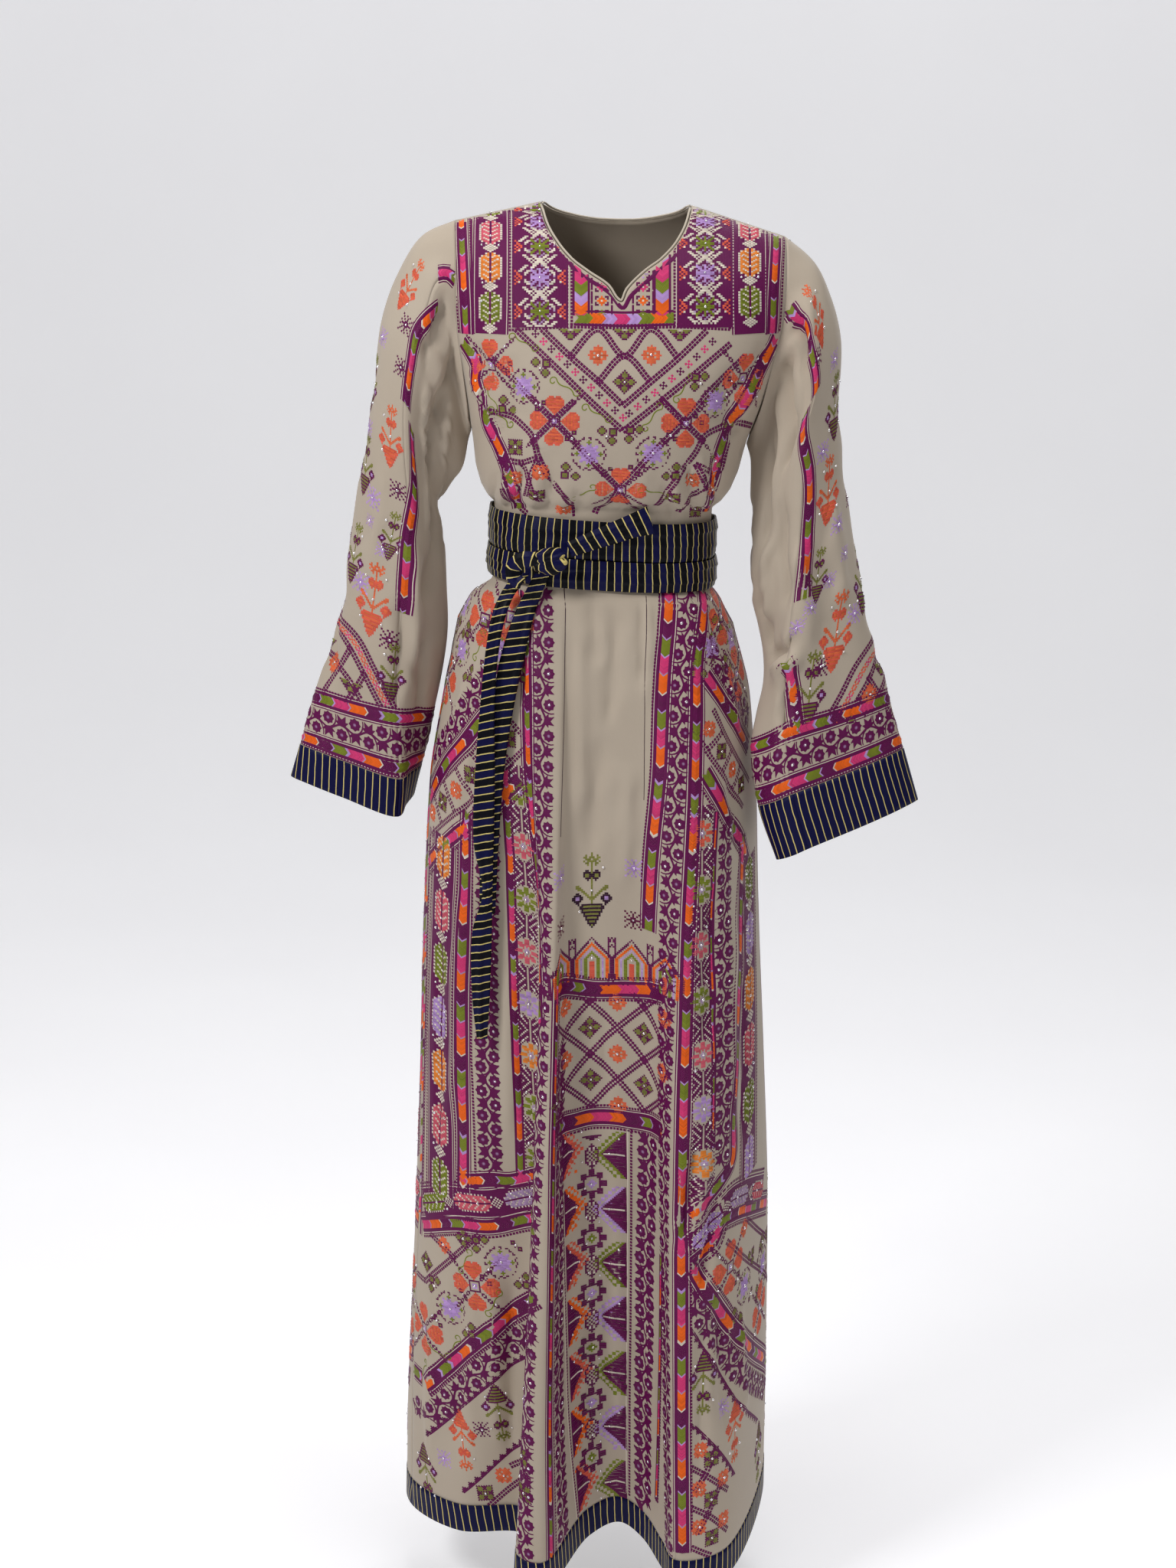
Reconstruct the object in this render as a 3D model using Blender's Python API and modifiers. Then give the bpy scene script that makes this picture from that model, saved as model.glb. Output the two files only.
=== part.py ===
"""Worn abaya: long embroidered dress with wide sleeves, striped sash and striped cuffs and hem.

Metres, +Z up, front of the garment towards -Y.  The origin is the point between the
shoulders, level with the neck ends of the shoulder seams, where the wearer carries it.
Every cloth piece is an open surface worked out from section tables and thickened to a wall.
"""
import bpy
import bmesh
import numpy as np
from math import pi, sin, cos, sqrt

# ------------------------------------------------------------------ driving sizes (m)
CLOTH = 0.0020          # wall of the body cloth
SASH_WALL = 0.0022      # folded sash cloth
SEAM = 0.0003           # gap between sewn pieces
WAIST_Z = -0.360        # seam hidden under the sash
HEM_BAND = 0.029        # height of the striped band on the hem
CUFF_BAND = 0.040       # height of the striped band on the cuffs
SUPER = 2.4             # roundness of the torso sections (2 = ellipse)
SHOULDER_ROLL = 0.095   # height over which the front rolls over the shoulder
BODICE_ROWS = 14         # rows of the bodice grids, shoulder to waist
ARM_ROWS = 8             # of which on the armhole
SHOULDER_STEPS = 4       # columns along each shoulder seam
BLOUSE_SHIFT = 0.06      # rows sit a little lower where the bodice tucks into the sash
SLEEVE_ROWS = 13         # rows of the sleeve grids
NECK_PIPE = 0.0012       # radius of the piping at the neck
NECK_OFFSET = 0.0022     # its distance from the cloth's edge
NAME = "abaya"

# ------------------------------------------------------------------ torso sections
TORSO_COLS = ("z", "centre_x", "half_width", "front_depth", "back_depth")
TORSO = (
    (0.030, 0.006, 0.200, 0.062, 0.052),
    (-0.050, 0.006, 0.196, 0.082, 0.074),
    (-0.100, 0.006, 0.192, 0.094, 0.088),
    (-0.150, 0.006, 0.181, 0.104, 0.096),
    (-0.200, 0.003, 0.165, 0.110, 0.096),
    (-0.244, 0.000, 0.149, 0.109, 0.090),
    (-0.280, -0.002, 0.1420, 0.1030, 0.085),
    (-0.300, -0.003, 0.1350, 0.0980, 0.081),
    (-0.312, -0.004, 0.1270, 0.0915, 0.076),
    (-0.321, -0.005, 0.1180, 0.0840, 0.072),
    (-0.335, -0.005, 0.1175, 0.0835, 0.072),
    (-0.360, -0.005, 0.1175, 0.0835, 0.072),
)

# edges of the front and back bodice, seen from the front
SHOULDER_L = (-0.172, -0.022)
SHOULDER_R = (0.182, -0.030)
NECK_L = (-0.081, 0.000)
NECK_R = (0.081, 0.000)
NECK_FRONT_COLS = ("x", "z")
NECK_FRONT = (          # left neck point, V with a small notch, right neck point
    (-0.081, 0.000), (-0.075, -0.021), (-0.063, -0.041), (-0.046, -0.060), (-0.026, -0.074),
    (-0.007, -0.086), (0.0035, -0.100), (0.0095, -0.102), (0.0155, -0.089), (0.034, -0.070),
    (0.050, -0.058), (0.066, -0.040), (0.077, -0.018), (0.081, 0.000),
)
NECK_BACK = (
    (-0.081, 0.000), (-0.068, -0.007), (-0.050, -0.012), (-0.026, -0.016), (0.0, -0.017),
    (0.026, -0.016), (0.050, -0.012), (0.068, -0.007), (0.081, 0.000),
)
ARMHOLE_COLS = ("x", "z")
ARMHOLE_L = (
    (-0.172, -0.022), (-0.169, -0.050), (-0.1675, -0.080), (-0.167, -0.111), (-0.164, -0.143),
    (-0.158, -0.175), (-0.1525, -0.208), (-0.150, -0.230), (-0.149, -0.244),
)
ARMHOLE_R = (
    (0.182, -0.030), (0.183, -0.052), (0.183, -0.080), (0.182, -0.102), (0.178, -0.134),
    (0.168, -0.175), (0.158, -0.216), (0.151, -0.238), (0.149, -0.250),
)

# ------------------------------------------------------------------ skirt sections
SKIRT_COLS = ("side_l", "panel_l", "valley_l", "fold_l", "crest_l", "root_l", "centre",
              "root_r", "flank_r", "crest_r", "bend_r", "side_r")
SKIRT_Z = (-0.360, -0.404, -0.420, -0.450, -0.520, -0.620, -0.780, -0.950, -1.120, -1.300, -1.480)
SKIRT_X = (
    (-0.1225, -0.113, -0.093, -0.081, -0.050, -0.040, -0.004, 0.040, 0.068, 0.084, 0.102, 0.1125),
    (-0.1230, -0.114, -0.093, -0.081, -0.050, -0.041, -0.003, 0.041, 0.070, 0.086, 0.103, 0.1130),
    (-0.1450, -0.128, -0.091, -0.081, -0.048, -0.040, -0.001, 0.043, 0.075, 0.096, 0.114, 0.1240),
    (-0.1600, -0.130, -0.088, -0.079, -0.047, -0.040, 0.001, 0.044, 0.078, 0.099, 0.119, 0.1400),
    (-0.1720, -0.136, -0.085, -0.075, -0.045, -0.038, 0.002, 0.046, 0.080, 0.100, 0.126, 0.1600),
    (-0.1860, -0.142, -0.076, -0.067, -0.045, -0.035, 0.006, 0.050, 0.080, 0.098, 0.132, 0.1720),
    (-0.1900, -0.138, -0.062, -0.058, -0.045, -0.033, 0.010, 0.055, 0.079, 0.096, 0.138, 0.1810),
    (-0.1910, -0.136, -0.058, -0.059, -0.045, -0.028, 0.016, 0.062, 0.081, 0.096, 0.143, 0.1930),
    (-0.1920, -0.136, -0.059, -0.061, -0.045, -0.020, 0.024, 0.068, 0.085, 0.097, 0.149, 0.2040),
    (-0.1960, -0.138, -0.061, -0.065, -0.045, -0.010, 0.032, 0.070, 0.090, 0.104, 0.156, 0.2090),
    (-0.1950, -0.138, -0.064, -0.070, -0.041, 0.010, 0.044, 0.071, 0.094, 0.109, 0.163, 0.2120),
)
SKIRT_Y = (
    (-0.0040, -0.040, -0.0620, -0.0700, -0.0805, -0.0825, -0.0835, -0.0790, -0.0700, -0.060, -0.040, -0.004),
    (-0.0040, -0.040, -0.0625, -0.0705, -0.0810, -0.0830, -0.0840, -0.0795, -0.0705, -0.061, -0.041, -0.004),
    (-0.0050, -0.050, -0.0780, -0.0850, -0.0920, -0.0920, -0.0930, -0.0910, -0.0850, -0.074, -0.054, -0.004),
    (-0.0060, -0.066, -0.088, -0.0940, -0.1000, -0.0980, -0.0985, -0.0975, -0.0960, -0.090, -0.068, -0.004),
    (-0.0080, -0.074, -0.098, -0.1050, -0.1110, -0.1050, -0.1040, -0.1045, -0.1080, -0.104, -0.084, 0.000),
    (-0.0120, -0.080, -0.104, -0.1140, -0.1210, -0.1100, -0.1080, -0.1090, -0.1180, -0.118, -0.098, 0.004),
    (-0.0160, -0.084, -0.105, -0.1240, -0.1320, -0.1080, -0.1060, -0.1070, -0.1230, -0.130, -0.108, 0.008),
    (-0.0200, -0.084, -0.102, -0.1330, -0.1420, -0.1040, -0.1010, -0.1030, -0.1260, -0.138, -0.116, 0.011),
    (-0.0240, -0.083, -0.098, -0.1420, -0.1500, -0.0980, -0.0940, -0.0970, -0.1260, -0.146, -0.124, 0.014),
    (-0.0270, -0.083, -0.094, -0.1490, -0.1570, -0.0920, -0.0870, -0.0900, -0.1240, -0.152, -0.132, 0.017),
    (-0.0300, -0.082, -0.088, -0.1560, -0.1640, -0.0860, -0.0800, -0.0850, -0.1220, -0.158, -0.138, 0.020),
)
# how low each column of the hem hangs
HEM_Z = (-1.485, -1.490, -1.490, -1.515, -1.520, -1.490, -1.475, -1.490, -1.508, -1.515, -1.510, -1.460)
# back of the skirt: depth, and how far its soft folds stand out
BACK_Z = (-0.360, -0.404, -0.420, -0.450, -0.520, -0.620, -0.780, -0.950, -1.120, -1.300, -1.480)
BACK_DEPTH = (0.072, 0.073, 0.084, 0.096, 0.108, 0.117, 0.126, 0.134, 0.142, 0.150, 0.157)
BACK_FOLD = (0.000, 0.000, 0.002, 0.005, 0.007, 0.009, 0.012, 0.015, 0.018, 0.021, 0.024)
BACK_FOLD_AT = (0.10, 0.22, 0.31, 0.43, 0.56, 0.66, 0.78, 0.90)   # crests and valleys, right to left
HEM_BACK_Z = -1.475

# ------------------------------------------------------------------ sleeves
# outer edge, front seam and inner edge of each section, its front fullness and the depth of its back
SLEEVE_COLS = ("outer_x", "outer_y", "outer_z", "seam_x", "seam_y", "seam_z", "inner_x", "inner_y", "inner_z",
               "front_bulge", "back_y")
SLEEVE_L = (
    (-0.205, 0.000, -0.038, -0.187, -0.053, -0.086, -0.1545, -0.002, -0.254, 0.010, 0.062),
    (-0.233, 0.000, -0.082, -0.199, -0.060, -0.120, -0.160, -0.002, -0.283, 0.014, 0.066),
    (-0.249, 0.000, -0.131, -0.212, -0.062, -0.158, -0.172, -0.002, -0.305, 0.016, 0.066),
    (-0.256, 0.000, -0.197, -0.220, -0.060, -0.215, -0.184, -0.002, -0.326, 0.016, 0.064),
    (-0.264, 0.000, -0.250, -0.219, -0.057, -0.270, -0.181, 0.000, -0.348, 0.016, 0.060),
    (-0.273, 0.000, -0.310, -0.214, -0.053, -0.330, -0.178, 0.000, -0.376, 0.016, 0.056),
    (-0.280, 0.000, -0.364, -0.219, -0.050, -0.380, -0.176, 0.000, -0.412, 0.015, 0.053),
    (-0.290, 0.000, -0.430, -0.223, -0.047, -0.445, -0.174, 0.002, -0.462, 0.014, 0.051),
    (-0.302, 0.000, -0.485, -0.225, -0.044, -0.500, -0.179, 0.006, -0.508, 0.013, 0.050),
    (-0.316, 0.000, -0.530, -0.225, -0.040, -0.545, -0.187, 0.012, -0.550, 0.012, 0.050),
    (-0.327, 0.000, -0.568, -0.223, -0.036, -0.588, -0.194, 0.018, -0.588, 0.011, 0.052),
    (-0.334, 0.000, -0.597, -0.222, -0.032, -0.628, -0.202, 0.020, -0.618, 0.010, 0.054),
    (-0.344, 0.000, -0.633, -0.2235, -0.030, -0.670, -0.210, 0.020, -0.650, 0.010, 0.055),
)
SLEEVE_R = (
    (0.212, 0.000, -0.054, 0.204, -0.056, -0.112, 0.155, -0.002, -0.268, 0.010, 0.062),
    (0.232, -0.001, -0.090, 0.212, -0.064, -0.145, 0.156, -0.004, -0.300, 0.014, 0.064),
    (0.245, -0.003, -0.134, 0.216, -0.068, -0.188, 0.156, -0.007, -0.330, 0.015, 0.061),
    (0.247, -0.005, -0.195, 0.207, -0.070, -0.235, 0.157, -0.010, -0.356, 0.016, 0.056),
    (0.252, -0.007, -0.247, 0.208, -0.070, -0.284, 0.157, -0.012, -0.387, 0.016, 0.048),
    (0.260, -0.010, -0.306, 0.207, -0.071, -0.341, 0.161, -0.016, -0.418, 0.016, 0.040),
    (0.268, -0.013, -0.353, 0.204, -0.075, -0.386, 0.169, -0.022, -0.447, 0.015, 0.031),
    (0.279, -0.017, -0.399, 0.201, -0.079, -0.425, 0.175, -0.028, -0.476, 0.014, 0.023),
    (0.291, -0.022, -0.441, 0.198, -0.086, -0.465, 0.176, -0.036, -0.507, 0.013, 0.014),
    (0.303, -0.026, -0.482, 0.196, -0.092, -0.511, 0.169, -0.048, -0.541, 0.012, 0.006),
    (0.313, -0.030, -0.522, 0.198, -0.096, -0.554, 0.164, -0.060, -0.576, 0.011, 0.000),
    (0.331, -0.033, -0.578, 0.208, -0.099, -0.620, 0.174, -0.070, -0.639, 0.010, -0.005),
    (0.349, -0.035, -0.634, 0.227, -0.100, -0.679, 0.196, -0.074, -0.697, 0.010, -0.008),
)

# ------------------------------------------------------------------ sash
SASH_UPPER = (-0.323, -0.3645)      # top and bottom of the upper turn at the left side
SASH_LOWER = (-0.3648, -0.3960)
SASH_DROP_R = -0.008                # the right side sits lower
SASH_DROP_F = -0.006                # and so does the front
KNOT = (-0.060, -0.1130, -0.373)
KNOT_SIZE = (0.036, 0.021, 0.026)
END_COLS = ("x", "z", "half_width", "out")
SASH_END = (            # the short end, tucked through the knot, points up to the right
    (-0.040, -0.362, 0.0080, 0.0080), (-0.018, -0.353, 0.0095, 0.0060),
    (0.005, -0.344, 0.0110, 0.0050), (0.028, -0.335, 0.0125, 0.0045), (0.046, -0.329, 0.0150, 0.0045),
)
TAIL_COLS = ("z", "x", "half_width", "out")
TAIL_FRONT = (          # the tail that starts left of the knot
    (-0.389, -0.090, 0.0080, 0.0110), (-0.425, -0.110, 0.0070, 0.0110), (-0.470, -0.119, 0.0065, 0.0110),
    (-0.530, -0.123, 0.0075, 0.0110), (-0.600, -0.124, 0.0100, 0.0110), (-0.680, -0.124, 0.0105, 0.0110),
    (-0.735, -0.119, 0.0050, 0.0110), (-0.780, -0.124, 0.0105, 0.0110), (-0.850, -0.124, 0.0095, 0.0110),
    (-0.900, -0.122, 0.0055, 0.0110),
)
TAIL_BACK = (           # the tail from under the knot, which runs in behind the first
    (-0.389, -0.068, 0.0075, 0.0050), (-0.430, -0.085, 0.0100, 0.0058), (-0.480, -0.098, 0.0125, 0.0046),
    (-0.530, -0.106, 0.0110, 0.0044), (-0.600, -0.114, 0.0100, 0.0044), (-0.680, -0.118, 0.0095, 0.0044),
    (-0.760, -0.119, 0.0080, 0.0044),
)
ROW_Z = (-0.360, -0.404, -0.420, -0.450, -0.520, -0.610, -0.730, -0.860, -1.000, -1.150, -1.300, -1.480 + HEM_BAND)
HEM_ROWS = (-1.480,)     # below the band's top edge


# ------------------------------------------------------------------ curves
def spline(points, at):
    """Centripetal Catmull-Rom through points; at = positions in index units."""
    p = np.asarray(points, float)
    n = len(p)
    p = np.vstack((2 * p[0] - p[1], p, 2 * p[-1] - p[-2]))
    out = []
    for s in np.atleast_1d(at):
        i = int(min(max(np.floor(s), 0), n - 2))
        f = s - i
        q = p[i:i + 4]
        d = [max(np.linalg.norm(q[j + 1] - q[j]) ** 0.5, 1e-5) for j in range(3)]
        t = np.array((0.0, d[0], d[0] + d[1], d[0] + d[1] + d[2]))
        u = t[1] + f * (t[2] - t[1])
        a = [(t[j + 1] - u) / (t[j + 1] - t[j]) * q[j] + (u - t[j]) / (t[j + 1] - t[j]) * q[j + 1] for j in range(3)]
        b = [(t[j + 2] - u) / (t[j + 2] - t[j]) * a[j] + (u - t[j]) / (t[j + 2] - t[j]) * a[j + 1] for j in range(2)]
        out.append((t[2] - u) / (t[2] - t[1]) * b[0] + (u - t[1]) / (t[2] - t[1]) * b[1])
    return np.array(out)


def even(points, share):
    """Points at even shares (0..1) of the length of a polyline through the spline."""
    fine = spline(points, np.linspace(0, len(points) - 1, 12 * len(points)))
    step = np.r_[0, np.cumsum(np.linalg.norm(np.diff(fine, axis=0), axis=1))]
    return np.stack([np.interp(np.asarray(share) * step[-1], step, fine[:, k]) for k in range(fine.shape[1])], 1)


def smooth_table(zs, rows, z):
    """Rows of a table read at height z along a smooth curve."""
    zs = np.asarray(zs)
    k = np.interp(-z, -zs, np.arange(len(zs)))
    return spline(rows, [k])[0]


def ease(v):
    v = np.clip(v, 0, 1)
    return v * v * (3 - 2 * v)


# ------------------------------------------------------------------ torso surface
TORSO_Z = [r[0] for r in TORSO]
TORSO_ROWS = [r[1:] for r in TORSO]


def shoulder_z(x):
    """Height of the shoulder line over x."""
    neck, arm = (NECK_L, SHOULDER_L) if x < 0 else (NECK_R, SHOULDER_R)
    slope = (neck[1] - arm[1]) / abs(arm[0] - neck[0])
    reach = abs(neck[0])
    over = max(abs(x) - reach, 0.0)
    inside = max(reach - abs(x), 0.0)
    return neck[1] - slope * over + 0.10 * inside


def torso_point(x, z, back=False):
    """Point of the front or back bodice over (x, z)."""
    cx, w, df, db = smooth_table(TORSO_Z, TORSO_ROWS, z)
    r = min(abs(x - cx) / w, 1.0)
    body = (1 - r ** SUPER) ** (1 / SUPER)
    q = np.clip((shoulder_z(x) - z) / SHOULDER_ROLL, 0, 1)
    roll = (1 - (1 - q) ** 2.2) ** (1 / 2.2)
    y = (db if back else -df) * body * roll
    return np.array((x, y, z))


def torso_angle(x, z):
    cx, w, _, _ = smooth_table(TORSO_Z, TORSO_ROWS, z)
    r = min(abs(x - cx) / w, 1.0) ** (SUPER / 2)
    return np.sign(x - cx) * np.arcsin(min(r, 1.0))


def torso_x(phi, z):
    cx, w, _, _ = smooth_table(TORSO_Z, TORSO_ROWS, z)
    return cx + w * np.sign(phi) * abs(sin(phi)) ** (2 / SUPER)


def bodice_edges(back, fine=1):
    """Top edge of a bodice panel: shares across and points, on the neck's own points."""
    neck = NECK_BACK if back else NECK_FRONT
    steps = SHOULDER_STEPS * fine
    at = np.arange((len(neck) - 1) * fine + 1) / fine
    mid = spline(neck, at)
    share, top = [], []
    for k in range(steps):
        f = k / steps
        share.append(0.25 * f)
        top.append((SHOULDER_L[0] + f * (NECK_L[0] - SHOULDER_L[0]), SHOULDER_L[1] + f * (NECK_L[1] - SHOULDER_L[1])))
    for p in mid:
        share.append(0.25 + 0.5 * (p[0] - NECK_L[0]) / (NECK_R[0] - NECK_L[0]))
        top.append((p[0], p[1]))
    for k in range(1, steps + 1):
        f = k / steps
        share.append(0.75 + 0.25 * f)
        top.append((NECK_R[0] + f * (SHOULDER_R[0] - NECK_R[0]), NECK_R[1] + f * (SHOULDER_R[1] - NECK_R[1])))
    return np.array(share), np.array(top)


def side_line(arm, m):
    """Armhole and side seam from the shoulder to the waist: m points as (angle, height)."""
    sgn = np.sign(arm[0][0])
    share = np.linspace(0, 1, m)
    cut = ARM_ROWS / (BODICE_ROWS - 1)    # share of the rows that lie on the armhole
    pts = even(arm, np.clip(share / cut, 0, 1))
    out = []
    for s, p in zip(share, pts):
        if s <= cut + 1e-9:
            out.append((torso_angle(p[0], p[1]), p[1]))
        else:
            f = (s - cut) / (1 - cut)
            z = arm[-1][1] + (f + BLOUSE_SHIFT * sin(pi * min(f * 1.05, 1)) ** 2) * (WAIST_Z - arm[-1][1])
            out.append((sgn * pi / 2, z))
    for i in range(m):                    # the foot of the armhole runs into the side seam
        if share[i] > cut - 0.01:
            out[i] = (sgn * pi / 2, out[i][1])
    return out


def bodice_grid(back, m, fine=1):
    """Grid of points of a bodice panel, rows from the top edge down to the waist."""
    share, edge = bodice_edges(back, fine)
    n = len(share)
    top = [(torso_angle(x, z), z) for x, z in edge]
    left, right = side_line(ARMHOLE_L, m), side_line(ARMHOLE_R, m)
    bottom = [(-pi / 2 + pi * a, WAIST_Z) for a in share]
    grid = np.zeros((m, n, 3))
    for i in range(m):
        t = i / (m - 1)
        for j, a in enumerate(share):
            v = [(1 - t) * top[j][k] + t * bottom[j][k] + (1 - a) * left[i][k] + a * right[i][k]
                 - ((1 - a) * (1 - t) * top[0][k] + a * (1 - t) * top[-1][k]
                    + (1 - a) * t * bottom[0][k] + a * t * bottom[-1][k]) for k in (0, 1)]
            x = edge[j][0] if i == 0 else torso_x(v[0], v[1])
            grid[i, j] = torso_point(x, v[1], back)
    return grid


# ------------------------------------------------------------------ skirt surface
NCOL = len(SKIRT_COLS)
COL = {name: k for k, name in enumerate(SKIRT_COLS)}
NBACK = len(BACK_FOLD_AT)


def skirt_ring(z):
    """Closed ring of control points at nominal height z: front columns, then the back."""
    xs = smooth_table(SKIRT_Z, SKIRT_X, z)
    ys = smooth_table(SKIRT_Z, SKIRT_Y, z)
    low = (z - WAIST_Z) / (-1.480 - WAIST_Z)
    ring = [(xs[k], ys[k], WAIST_Z + low * (HEM_Z[k] - WAIST_Z)) for k in range(NCOL)]
    depth = float(np.interp(-z, [-v for v in BACK_Z], BACK_DEPTH))
    fold = float(np.interp(-z, [-v for v in BACK_Z], BACK_FOLD))
    xr, xl, yr, yl = xs[-1], xs[0], ys[-1], ys[0]
    for k, s in enumerate(BACK_FOLD_AT):
        ang = pi * s
        c = (xr + xl) / 2
        w = (xr - xl) / 2
        y0 = yr + (yl - yr) * s
        sign = 1 if k % 2 else -1
        r = 1.0 + sign * fold / 0.16
        x = c + w * np.sign(cos(ang)) * abs(cos(ang)) ** (2 / 2.3) * (1 + 0.4 * (r - 1))
        y = y0 + (depth - y0) * abs(sin(ang)) ** (2 / 2.3) * r
        hem = HEM_BACK_Z - (0.010 if sign > 0 else -0.004)
        ring.append((x, y, WAIST_Z + low * (hem - WAIST_Z)))
    return np.array(ring)


def skirt_line(z, start, stop, n):
    """n points of the ring between two control indices (may pass the end and wrap)."""
    ring = skirt_ring(z)
    k = len(ring)
    closed = np.vstack((ring, ring, ring))
    return spline(closed, k + np.linspace(start, stop, n))


def skirt_panel(z_top, z_low, start, stop, m, n, tops=None):
    """Grid of a skirt panel between two heights."""
    zs = np.linspace(z_top, z_low, m)
    if tops is not None:
        zs = np.asarray(tops)
    return np.array([skirt_line(z, start, stop, n) for z in zs])


# ------------------------------------------------------------------ sleeve surface
def sleeve_ring(row, seam_row, fine_f, fine_u):
    """One closed section: top, front seam, inner edge, back seam and round to the top."""
    ox, oy, oz, sx, sy, sz, ix, iy, iz, bulge, by = row
    top, seam, inner = np.array((ox, oy, oz)), np.array((sx, sy, sz)), np.array((ix, iy, iz))
    mid_f = (top + seam) / 2 + np.array((0, -bulge, 0))
    near_f = top + (mid_f - top) * 0.42 + np.array((np.sign(ox) * 0.003, -0.008, 0.002))
    mid_u = (seam + inner) / 2 + np.array((0, -0.008, 0))
    across = inner - top

    def behind(share, depth):
        p = top + across * share
        p[1] += (by - p[1]) * depth
        return p
    share = np.clip(((sx - ox) / (ix - ox) + (sz - oz) / (iz - oz)) / 2, 0.22, 0.66)
    ctrl = np.array((top, near_f, mid_f, seam, mid_u, inner, behind((1 + share) / 2, 0.80), behind(share, 1.0),
                     behind(share * 0.35, 0.62)))
    k = len(ctrl)
    c3 = np.vstack((ctrl, ctrl, ctrl))
    nf = seam_row * fine_f
    nu = (ARM_ROWS - seam_row) * fine_u
    at = np.r_[np.linspace(0, 3, nf + 1)[:-1], np.linspace(3, 5, nu + 1)[:-1],
               np.linspace(5, 7, nu + 1)[:-1], np.linspace(7, 9, nf + 1)[:-1]]
    return spline(c3, k + at)


def sleeve_first(front, back, nf_grid, nb_grid, col, seam_row, fine_f, fine_u):
    """The ring that is sewn to the armhole, with its normals, in the order of sleeve_ring."""
    def edge(grid, nrm):
        inner = 1 if col == 0 else -2
        pts, nor = [], []
        for i in range(ARM_ROWS + 1):
            p, n = grid[i, col], nrm[i, col]
            out = p - grid[i, inner]
            out = out / np.linalg.norm(out)
            low = ease((i / ARM_ROWS - 0.55) / 0.40)
            gap = SEAM * 1.2 * (1 - low) + 0.0012 * sin(pi * low)     # wider where the cloth turns over
            pts.append(p + out * gap + n * 0.0029 * low)
            nor.append(n * (1 - low))
        return np.array(pts), np.array(nor)

    def fill(a, at):
        return np.stack([np.interp(at, np.arange(len(a)), a[:, k]) for k in range(3)], 1)
    fp, fn = edge(front, nf_grid)
    bp, bn = edge(back, nb_grid)
    nf, nu = seam_row * fine_f, (ARM_ROWS - seam_row) * fine_u
    down = np.r_[np.linspace(0, seam_row, nf + 1)[:-1], np.linspace(seam_row, ARM_ROWS, nu + 1)[:-1]]
    up = np.r_[np.linspace(ARM_ROWS, seam_row, nu + 1)[:-1], np.linspace(seam_row, 0, nf + 1)[:-1]]
    return (np.vstack((fill(fp, down), fill(bp, up))), np.vstack((fill(fn, down), fill(bn, up))))


def loft_rows(rows, count):
    """Rows resampled along a smooth curve through the matching points of each row."""
    rows = np.asarray(rows)
    at = np.linspace(0, len(rows) - 1, count)
    return np.stack([spline(rows[:, j], at) for j in range(rows.shape[1])], 1)


# ------------------------------------------------------------------ normals and shells
def normals(grid, closed=False):
    """Unit normals of a grid of points, pointing away from its middle line."""
    g = np.asarray(grid)
    du = np.gradient(g, axis=1)
    if closed:
        du = (np.roll(g, -1, axis=1) - np.roll(g, 1, axis=1)) / 2
    dv = np.gradient(g, axis=0)
    n = np.cross(du, dv)
    n /= np.maximum(np.linalg.norm(n, axis=2), 1e-12)[..., None]
    return n


def face_out(grid, n):
    """Flip normals as one so that they point away from the middle of each row."""
    mid = grid.mean(axis=1, keepdims=True)
    return n if np.sum((grid - mid) * n) > 0 else -n


def unit(v):
    return v / np.maximum(np.linalg.norm(v, axis=-1), 1e-12)[..., None]


def trim(grid, edges, wide=1.0):
    """Pull edges of a grid back by half a seam; wide opens the side seams where cloth bends at them."""
    g = np.array(grid)
    gap = SEAM * 0.55
    if "top" in edges:
        g[0] += unit(g[1] - g[0]) * gap
    if "low" in edges:
        g[-1] += unit(g[-2] - g[-1]) * gap
    if "first" in edges:
        g[:, 0] += unit(g[:, 1] - g[:, 0]) * gap * wide
    if "last" in edges:
        g[:, -1] += unit(g[:, -2] - g[:, -1]) * gap * wide
    return g


def material(name, rgb, rough, sheen=0.0):
    mat = bpy.data.materials.new(name)
    mat.use_nodes = True
    bsdf = mat.node_tree.nodes["Principled BSDF"]
    bsdf.inputs["Base Color"].default_value = (*rgb, 1)
    bsdf.inputs["Roughness"].default_value = rough
    bsdf.inputs["Metallic"].default_value = 0.0
    bsdf.inputs["Sheen Weight"].default_value = sheen
    return mat


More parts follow.
